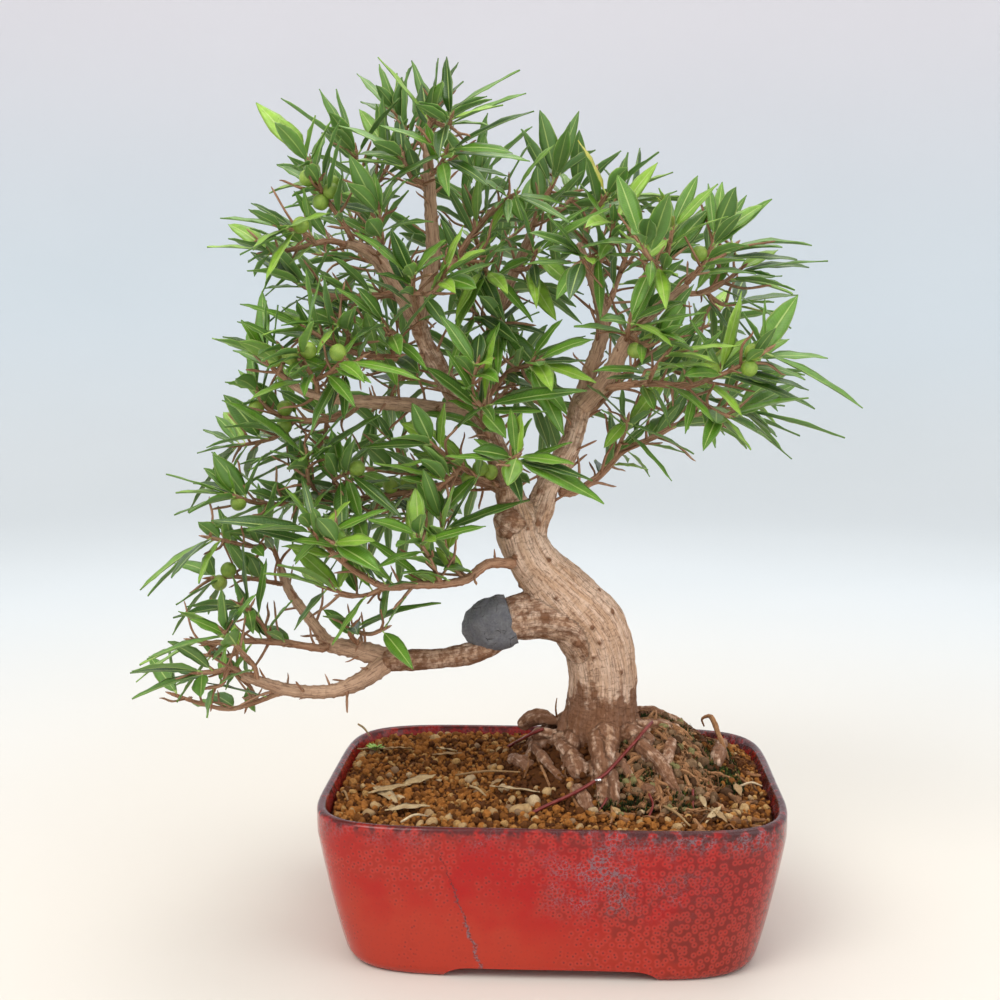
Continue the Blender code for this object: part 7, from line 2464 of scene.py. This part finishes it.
@dataclass
class Blade:
    """How a leaf's blade is meshed: rows from stalk to tip, with a rib, two middles and two edges."""

    rows: tuple[float, ...] = (0.07, 0.13, 0.23, 0.36, 0.50, 0.64, 0.78, 0.89, 0.965, 1.0)
    thickness: float = 0.00032
    wave: float = 0.00035
    stalk_sides: int = 4

    def arrays(self, leaf: Leaf, rng: random.Random) -> tuple[np.ndarray, list, dict[str, np.ndarray]]:
        """Meshes one leaf.

        Args:
            leaf: the leaf.
            rng: draws for its waves.

        Returns:
            Corners, face arrays and the values across, along and under.
        """
        phase = rng.uniform(0, math.tau)
        twist = rng.uniform(-0.25, 0.25)
        corners, across, along, under = [], [], [], []
        for t in self.rows:
            middle = leaf.spine(t)
            side, normal = leaf.cross(t)
            turn = twist * t
            side, normal = (side * math.cos(turn) + normal * math.sin(turn),
                            normal * math.cos(turn) - side * math.sin(turn))
            half = max(leaf.half_width(t), 0.00018)
            tilt = math.tan(leaf.fold)
            for u in (-1.0, -0.55, 0.0, 0.55, 1.0):
                wave = self.wave * math.sin(t * 15 + phase + (1.5 if u > 0 else 0.0)) * u * u
                lift = half * (abs(u) ** 0.8) * tilt * 0.92
                corners.append(middle + side * (half * u) + normal * (lift + wave + self.thickness / 2 * (abs(u) < 1)))
                across.append(u)
                along.append(t)
                under.append(0.0 if abs(u) < 1 else 0.35)
            for u in (-0.55, 0.0, 0.55):
                wave = self.wave * math.sin(t * 15 + phase + (1.5 if u > 0 else 0.0)) * u * u
                lift = half * (abs(u) ** 0.8) * tilt * 0.92
                rib = 0.00022 if u == 0.0 else 0.0
                corners.append(middle + side * (half * u) + normal * (lift + wave - self.thickness / 2 - rib))
                across.append(u)
                along.append(t)
                under.append(1.0)
        count = len(self.rows)
        quads = []
        for row in range(count - 1):
            a, b = row * 8, row * 8 + 8
            for i in range(4):
                quads.append((a + i, a + i + 1, b + i + 1, b + i))
            lower = (0, 5, 6, 7, 4)
            for i, j in zip(lower, lower[1:]):
                quads.append((a + i, b + i, b + j, a + j))
        last = (count - 1) * 8
        ends = [(0, 5, 6, 2, 1), (2, 6, 7, 4, 3)]
        caps = [tuple(reversed(end)) for end in ends] + [tuple(last + i for i in end) for end in ends]
        values = {"across": np.array(across), "along": np.array(along), "under": np.array(under)}
        return np.array([tuple(c) for c in corners]), [np.array(quads)[:, ::-1], np.array(caps)[:, ::-1]], values

    def add(self, gather: Gather, leaf: Leaf, rng: random.Random, tone: float) -> None:
        """Adds a leaf with its stalk to a piece."""
        corners, faces, values = self.arrays(leaf, rng)
        gather.add(corners, faces, tone=tone, **values)
        stalk = Axis([(*leaf.spine(t), 0.00042) for t in (-0.02, 0.09)], 2)
        corners, faces = tube_arrays(stalk, self.stalk_sides)
        gather.add(corners, faces, tone=tone, across=0.0, along=0.0, under=0.4)


@dataclass
class Crown:
    """The leafy sprays: their twigs, the leaves of the solids, the leaves added to them, and the figs."""

    blade: Blade = field(default_factory=Blade)
    first_sides: int = 9
    side_sides: int = 7
    leaf_pitch: float = 0.0034
    bare: float = 0.22
    seed: int = 900

    def add_leaves(self, grown: GrownSpray, clearance: Clearance) -> None:
        """Adds leaves along a spray's shoots, past those of its solid, where there is room."""
        rng = random.Random(self.seed + grown.owner)
        for axis in grown.axes:
            turn = rng.uniform(0, math.tau)
            distance = max(self.bare * axis.length, 0.005)
            while distance < axis.length:
                turn += GOLDEN_TURN
                place, along, radius = axis.at(distance)
                side = along.orthogonal().normalized()
                other = along.cross(side)
                share = distance / axis.length
                for attempt in range(5):
                    angle = turn + attempt * 1.3
                    outward = side * math.cos(angle) + other * math.sin(angle)
                    outward = (outward + UP * 0.25).normalized()
                    opening = math.radians(rng.uniform(42, 78) - 14 * share)
                    heading = (along * math.cos(opening) + outward * math.sin(opening)).normalized()
                    length = rng.uniform(0.019, 0.040) * (0.80 + 0.20 * share) * (1.0 - 0.06 * attempt)
                    width = rng.choice((0.0042, 0.0050, 0.0056, 0.0062, 0.0072, 0.0088)) * rng.uniform(0.9, 1.1)
                    leaf = Leaf(place + outward * radius * 0.6, heading * length, leaf_face(place, heading),
                                width, length * rng.uniform(0.03, 0.26), rng.uniform(0.05, 0.38))
                    tip = leaf.spine(1.0)
                    if tip.z < LOWEST_LEAF or not in_crown(tip) or rng.random() > leafiness(tip):
                        continue
                    if clearance.free(grown.owner, *leaf_samples(leaf), -0.0013, -0.0021):
                        clearance.add(grown.owner, *leaf_samples(leaf))
                        grown.added.append(leaf)
                        break
                distance += self.leaf_pitch * rng.uniform(0.8, 1.25)

    def tone(self, leaf: Leaf, rng: random.Random) -> float:
        """How light a leaf is, young ones lightest: drawn at random, raised towards the front of the crown and lowered
        towards its back as painted light and shade; a rare one is yellow.
        """
        # painted light and shade: leaves towards the front are lighter, those towards the back darker
        front = min(max(-leaf.base.y / 0.05, -0.5), 1.0) * 0.16
        return min(max(rng.gauss(0.41 + front, 0.26), 0.0), 0.96) if rng.random() > 0.005 else 1.0

    def build(self, shift: Vector, crown: list[GrownSpray], twig: bpy.types.Material,
              green: bpy.types.Material) -> None:
        """Builds the twigs and the leaves of every spray."""
        for grown in crown:
            rng = random.Random(self.seed + 500 + grown.owner)
            wood, foliage = Gather(), Gather()
            for number, (axis, stem) in enumerate(zip(grown.axes, grown.stems)):
                fine = axis.finer(8)
                sides = self.first_sides if number == 0 else self.side_sides
                add_stem(wood, fine, sides, knobbly(fine, grown.owner + number, 0.0048, 0.16))
                bud = Axis([(*stem.points[-1], 0.0007), (*stem.points[-1].lerp(stem.tip, 0.5), 0.0006),
                            (*stem.tip, 0.00015)], 3)
                add_stem(wood, bud, 6)
                for leaf in stem.leaves.values():
                    self.blade.add(foliage, leaf, rng, self.tone(leaf, rng))
            for leaf in grown.added:
                self.blade.add(foliage, leaf, rng, self.tone(leaf, rng))
            name = grown.spray.name
            wood.piece(name.replace("spray", "twigs"), shift, [twig], Slot.BARK, [name])
            foliage.piece(name.replace("spray", "leaves"), shift, [green], Slot.LEAF, [name])

    def hang_figs(self, shift: Vector, crown: list[GrownSpray], surface: bpy.types.Material) -> None:
        """Builds the small figs, each with the dimple at its end."""
        rng = random.Random(self.seed)
        ball, faces = lump(3)
        gather = Gather()
        for grown in crown:
            for place, way in grown.figs:
                out = np.array(way)
                along = ball @ out
                radii = FIG_RADIUS * (1.0 - 0.10 * np.exp(-((1.0 - along) / 0.06)) + 0.05 * np.maximum(-along, 0.0))
                gather.add(ball * radii[:, None] + np.array(place), [faces], tone=rng.uniform(0.2, 0.9))
        gather.piece("figs", shift, [surface], Slot.LEAF)


def leafiness(tip: Vector) -> float:
    """How likely a leaf is added at this place: the low branch on the left is sparse."""
    column, row = seen_at(tip)
    return THIN_SHARE if row > THIN_ROW - THIN_SLOPE * (column - THIN_COLUMN) and column < THIN_END else 1.0


@dataclass
class Litter:
    """What lies on the soil: dry leaves, stalks and a small seedling."""

    blade: Blade = field(default_factory=Blade)
    seed: int = 77

    def lying(self, start: tuple[float, float], end: tuple[float, float], width: float, curl: float) -> Leaf:
        """A leaf on the soil between two places of the front view."""
        base, tip = on_soil(*start, 0.0, {}), on_soil(*end, 0.0, {})
        highest = max(soil_height(*base.lerp(tip, t / 8).xy) for t in range(9))
        base.z = tip.z = highest + curl
        return Leaf(base, tip - base, UP, width, 0.0, 0.3)

    def build(self, shift: Vector, dry: bpy.types.Material, green: bpy.types.Material) -> None:
        """Lays the dry leaves, those of the solids each as its own piece."""
        rng = random.Random(self.seed)
        for name, start, end, lift in FALLEN_LEAVES:
            gather = Gather()
            self.blade.add(gather, self.lying(start, end, 0.0066, lift), rng, rng.uniform(0.3, 0.9))
            gather.piece(name.replace("fallen", "dry"), shift, [dry], Slot.DRY_LEAF, [name])
        gather = Gather()
        for start, end, width in DRY_LEAVES:
            self.blade.add(gather, self.lying(start, end, width * MM, 0.0022), rng, rng.uniform(0.1, 1.0))
        for start, end in DRY_STALKS:
            a, b = on_soil(*start, 0.0022, {}), on_soil(*end, 0.0022, {})
            bow = a.lerp(b, 0.5) + UP * rng.uniform(0.0, 0.002)
            stalk = Axis([(*a, 0.0005), (*bow, 0.00055), (*b, 0.0003)], 6)
            corners, faces = tube_arrays(stalk, 6)
            gather.add(corners, faces, tone=rng.uniform(0.0, 1.0), across=0.6, along=0.5, under=0.0)
        gather.piece("leaf_litter", shift, [dry], Slot.DRY_LEAF)
        gather = Gather()
        foot = on_soil(*SEEDLING, 0.0005, {})
        for number in range(7):
            turn = GOLDEN_TURN * number
            way = Vector((math.cos(turn), math.sin(turn), 0.55 + 0.2 * (number % 3))).normalized()
            leaf = Leaf(foot + UP * 0.001, way * 0.0052, UP, 0.0030, 0.0008, 0.1)
            self.blade.add(gather, leaf, rng, 0.85)
        gather.piece("seedling", shift, [green], Slot.LEAF)


def chipped_lump(rng: np.random.Generator, ball: np.ndarray, sizes: np.ndarray) -> np.ndarray:
    """One copy of a ball, chipped flat on its sides, with these half sizes, and turned."""
    chips = rng.normal(size=(CHIPS, 3))
    chips /= np.linalg.norm(chips, axis=1)[:, None]
    facing = np.maximum(ball @ chips.T, 0.05)
    limit = (rng.uniform(0.62, 0.95, size=CHIPS) / facing).min(axis=1)
    turn, _ = np.linalg.qr(rng.normal(size=(3, 3)))
    return (ball * np.minimum(limit, 1.05)[:, None] * sizes) @ turn


@dataclass
class Studio:
    """The plain pale setting: a floor that curves up all round, soft light and the photograph's view."""

    floor_reach: float = 1.5
    rise_radius: float = 1.2
    rim_height: float = 2.0
    floor_colour: tuple[float, float, float] = (0.68, 0.63, 0.55)
    haze_colour: tuple[float, float, float] = (0.66, 0.73, 0.765)
    upper_colour: tuple[float, float, float] = (0.82, 0.78, 0.80)
    sky_colour: tuple[float, float, float] = (0.97, 0.98, 1.0)
    sky_strength: float = 0.95
    key_power: float = 14.0
    fill_power: float = 6.0
    top_power: float = 8.0

    def lay_floor(self) -> None:
        """Lays the pale floor and turns its edge up round the part."""
        profile = [(0.0, 0.0), (self.floor_reach, 0.0)]
        steps = 14
        for step in range(1, steps + 1):
            turn = math.pi / 2 * step / steps
            profile.append((self.floor_reach + self.rise_radius * math.sin(turn),
                            self.rise_radius * (1 - math.cos(turn))))
        profile.append((self.floor_reach + self.rise_radius, self.rim_height))
        spokes = 96
        corners = [(0.0, 0.0, 0.0)]
        for reach, height in profile[1:]:
            for spoke in range(spokes):
                turn = math.tau * spoke / spokes
                corners.append((reach * math.cos(turn), reach * math.sin(turn), height))
        faces: list[tuple[int, ...]] = [(0, 1 + k, 1 + (k + 1) % spokes) for k in range(spokes)]
        for ring in range(len(profile) - 2):
            for k in range(spokes):
                a, b = 1 + ring * spokes + k, 1 + ring * spokes + (k + 1) % spokes
                faces.append((a, a + spokes, b + spokes, b))
        mesh = bpy.data.meshes.new("pale_floor")
        mesh.from_pydata(corners, [], faces)
        mesh.shade_smooth()
        floor = bpy.data.objects.new("pale_floor", mesh)
        bpy.context.scene.collection.objects.link(floor)
        mesh.materials.append(self.paper())

    def paper(self) -> bpy.types.Material:
        """Builds the floor's matt finish, cream near the part, with a pale blue haze above it."""
        made, graph, shader = new_surface("pale_paper")
        place = graph.place()
        height = graph.node("SeparateXYZ", {0: place}).outputs[2]
        away = graph.node("VectorMath", {0: place}, operation="LENGTH").outputs["Value"]
        far = graph.math("ADD", graph.span(away, 0.05, 1.0, 0.0, 0.75), graph.span(height, 0.0, 0.30, 0.0, 0.25))
        colour = graph.mix(far, self.floor_colour, self.haze_colour)
        colour = graph.mix(graph.span(height, 0.30, 1.1), colour, self.upper_colour)
        cloud = graph.noise(place, 1.4, 2.0)
        colour = graph.mix(graph.span(cloud, 0.3, 0.8, 0.0, 0.10), colour, self.sky_colour)
        graph.tree.links.new(colour, shader.inputs["Base Color"])
        shader.inputs["Roughness"].default_value = 0.7
        return made

    def lamp(self, name: str, place: tuple[float, float, float], size: float, power: float,
             colour: tuple[float, float, float]) -> None:
        """Hangs one soft square lamp that looks at the tree."""
        data = bpy.data.lights.new(name, "AREA")
        data.size, data.energy, data.color = size, power, colour
        lamp = bpy.data.objects.new(name, data)
        lamp.location = place
        lamp.rotation_euler = (Vector((0.0, 0.0, 0.17)) - Vector(place)).to_track_quat("-Z", "Y").to_euler()
        bpy.context.scene.collection.objects.link(lamp)

    def light(self) -> None:
        """Sets the even sky, the soft lamps and a plain view of the colours."""
        world = bpy.data.worlds.new("studio_sky")
        world.use_nodes = True
        sky = world.node_tree.nodes["Background"]
        sky.inputs["Color"].default_value = (*self.sky_colour, 1.0)
        sky.inputs["Strength"].default_value = self.sky_strength
        bpy.context.scene.world = world
        self.lamp("key_lamp", (-0.75, -0.95, 1.25), 0.9, self.key_power, (1.0, 0.98, 0.95))
        self.lamp("fill_lamp", (1.0, -0.7, 0.7), 1.0, self.fill_power, (0.97, 0.98, 1.0))
        self.lamp("top_lamp", (0.1, 0.35, 1.4), 1.1, self.top_power, (1.0, 1.0, 1.0))
        bpy.context.scene.view_settings.view_transform = "Standard"

    def aim_camera(self, shift: Vector) -> None:
        """Sets the camera where the photograph was taken from."""
        data = bpy.data.cameras.new("front_view")
        data.sensor_width = SENSOR
        data.lens = EYE_REACH * SENSOR / VIEW_SIDE
        data.shift_y = (EYE_ROW - VIEW_SIDE / 2) / VIEW_SIDE
        data.clip_start = 0.01
        camera = bpy.data.objects.new("front_view", data)
        camera.location = EYE + shift
        camera.rotation_euler = eye_axes()[1].to_track_quat("-Z", "Y").to_euler()
        bpy.context.scene.collection.objects.link(camera)
        bpy.context.scene.camera = camera


def main() -> None:
    """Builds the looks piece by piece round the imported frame."""
    logging.basicConfig(level=logging.INFO, format="%(message)s")
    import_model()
    low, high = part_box("pot")
    shift = (Vector(low) + Vector(high)) / 2 - POT_CENTRE
    shift.z = 0.0
    studio = Studio()
    studio.lay_floor()
    studio.light()
    studio.aim_camera(shift)

    fibres, blotches = fibre_group(), blotch_group()
    bark = BarkFinish("bark_trunk", (0.88, 0.64, 0.48), (0.62, 0.38, 0.235), (0.17, 0.07, 0.035),
                      (0.190, 0.070, 0.027), 1.7, 0.9, 0.0011).build(fibres, blotches)
    limb_bark = BarkFinish("bark_limbs", (0.64, 0.42, 0.28), (0.44, 0.265, 0.165), (0.12, 0.055, 0.035),
                           (0.19, 0.10, 0.058), 2.0, 0.7, 0.0004).build(fibres, blotches)
    twig_bark = BarkFinish("bark_twigs", (0.50, 0.30, 0.185), (0.34, 0.165, 0.09), (0.095, 0.035, 0.018),
                           (0.15, 0.07, 0.04), 2.6, 0.8, 0.0003).build(fibres, blotches)
    root_bark = BarkFinish("bark_roots", (0.48, 0.25, 0.115), (0.23, 0.10, 0.040), (0.055, 0.020, 0.008),
                           (0.075, 0.036, 0.018), 2.4, 0.8, 0.0004).build(fibres, blotches)
    green = LeafFinish("leaf_living", (0.030, 0.085, 0.008), (0.120, 0.270, 0.018), (0.30, 0.50, 0.045),
                       (0.58, 0.52, 0.06), (0.46, 0.58, 0.17), (0.15, 0.27, 0.075)).build()
    fig_skin = SkinFinish("fig_skin", (0.22, 0.34, 0.04), (0.34, 0.46, 0.07), (0.46, 0.54, 0.12),
                          (0.12, 0.24, 0.03), 0.003, 0.42, 0.0001, 0.4).build(blotches)
    earth = SkinFinish("soil_brown", (0.075, 0.026, 0.009), (0.58, 0.225, 0.048), (0.76, 0.46, 0.17),
                       (0.17, 0.058, 0.016), 0.0016, 0.9, 0.0004).build(blotches)
    stone = SkinFinish("stone_tan", (0.30, 0.19, 0.11), (0.62, 0.41, 0.19), (0.70, 0.56, 0.36),
                       (0.26, 0.14, 0.06), 0.003, 0.8, 0.0003).build(blotches)
    knob = SkinFinish("root_knob", (0.10, 0.045, 0.02), (0.38, 0.235, 0.125), (0.36, 0.40, 0.14),
                      (0.07, 0.035, 0.018), 0.0012, 0.85, 0.0004).build(blotches)
    moss = SkinFinish("moss_dark", (0.014, 0.017, 0.006), (0.030, 0.045, 0.009), (0.13, 0.18, 0.03),
                      (0.015, 0.015, 0.006), 0.002, 0.9, 0.0002).build(blotches)
    dry = SkinFinish("leaf_dry", (0.36, 0.22, 0.10), (0.56, 0.41, 0.21), (0.74, 0.60, 0.38),
                     (0.25, 0.13, 0.06), 0.004, 0.7, 0.0002).build(blotches)
    crack_top = sight(*CRACK_TOP) + shift
    crack_foot = sight(*CRACK_FOOT) + shift
    glaze = GlazeFinish("glaze_red", (0.38, 0.0045, 0.004), (0.42, 0.032, 0.014), (0.43, 0.038, 0.028),
                        (0.120, 0.010, 0.008), (0.16, 0.15, 0.17), (0.055, 0.013, 0.013), 0.0028,
                        tuple(crack_top), tuple(crack_foot), 0.00022).build(blotches)
    paste = PasteFinish("paste_dry", (0.125, 0.125, 0.138), (0.20, 0.195, 0.195), (0.03, 0.026, 0.026)).build(blotches)
    coat = MadeFinish("wire_coat", (0.17, 0.018, 0.014), (0.26, 0.05, 0.035), 0.25, 0.35, 0.004).build()
    cut = MadeFinish("wire_cut", (0.80, 0.80, 0.81), (0.6, 0.6, 0.61), 1.0, 0.22, 0.001).build()
    plastic = MadeFinish("screen_plastic", (0.02, 0.02, 0.02), (0.06, 0.055, 0.05), 0.0, 0.55, 0.002).build()

    PotBody().build(shift, glaze)
    soil = SoilBed()
    soil.bed(shift, earth)
    soil.scatter("soil_crumbs", shift, earth, soil.crumb_pitch, (0.0007, 0.0012), 1)
    soil.scatter("soil_grains", shift, earth, soil.grain_pitch, (0.0011, 0.0020), 2)
    soil.lay_stones(shift, stone)
    soil.grow_moss(shift, moss)
    wood = Wood()
    trunk = wood.build_skin(shift, bark)
    wood.build_limbs(shift, limb_bark)
    tangle = RootBall()
    tangle.build(shift, root_bark)
    tangle.lay_knobs(shift, knob)
    WoundPaste().build(shift, paste)
    TieWires().build(shift, trunk, coat, cut)
    clearance = Clearance()
    crown = grow_crown({limb.name: limb_axis(limb, 1) for limb in TREE}, clearance)
    dresser = Crown()
    for grown in crown:
        dresser.add_leaves(grown, clearance)
    LOG.info("leaves: %d of the solids, %d added",
             sum(len(stem.leaves) for grown in crown for stem in grown.stems),
             sum(len(grown.added) for grown in crown))
    dresser.build(shift, crown, twig_bark, green)
    wood.build_spurs(shift, twig_bark, crown)
    dresser.hang_figs(shift, crown, fig_skin)
    Litter().build(shift, dry, green)
    for name in ("drain_screen_left", "drain_screen_right"):
        screen = bpy.data.objects[name]
        for index in range(len(screen.material_slots)):
            screen.material_slots[index].material = plastic


if __name__ == "__main__":
    main()
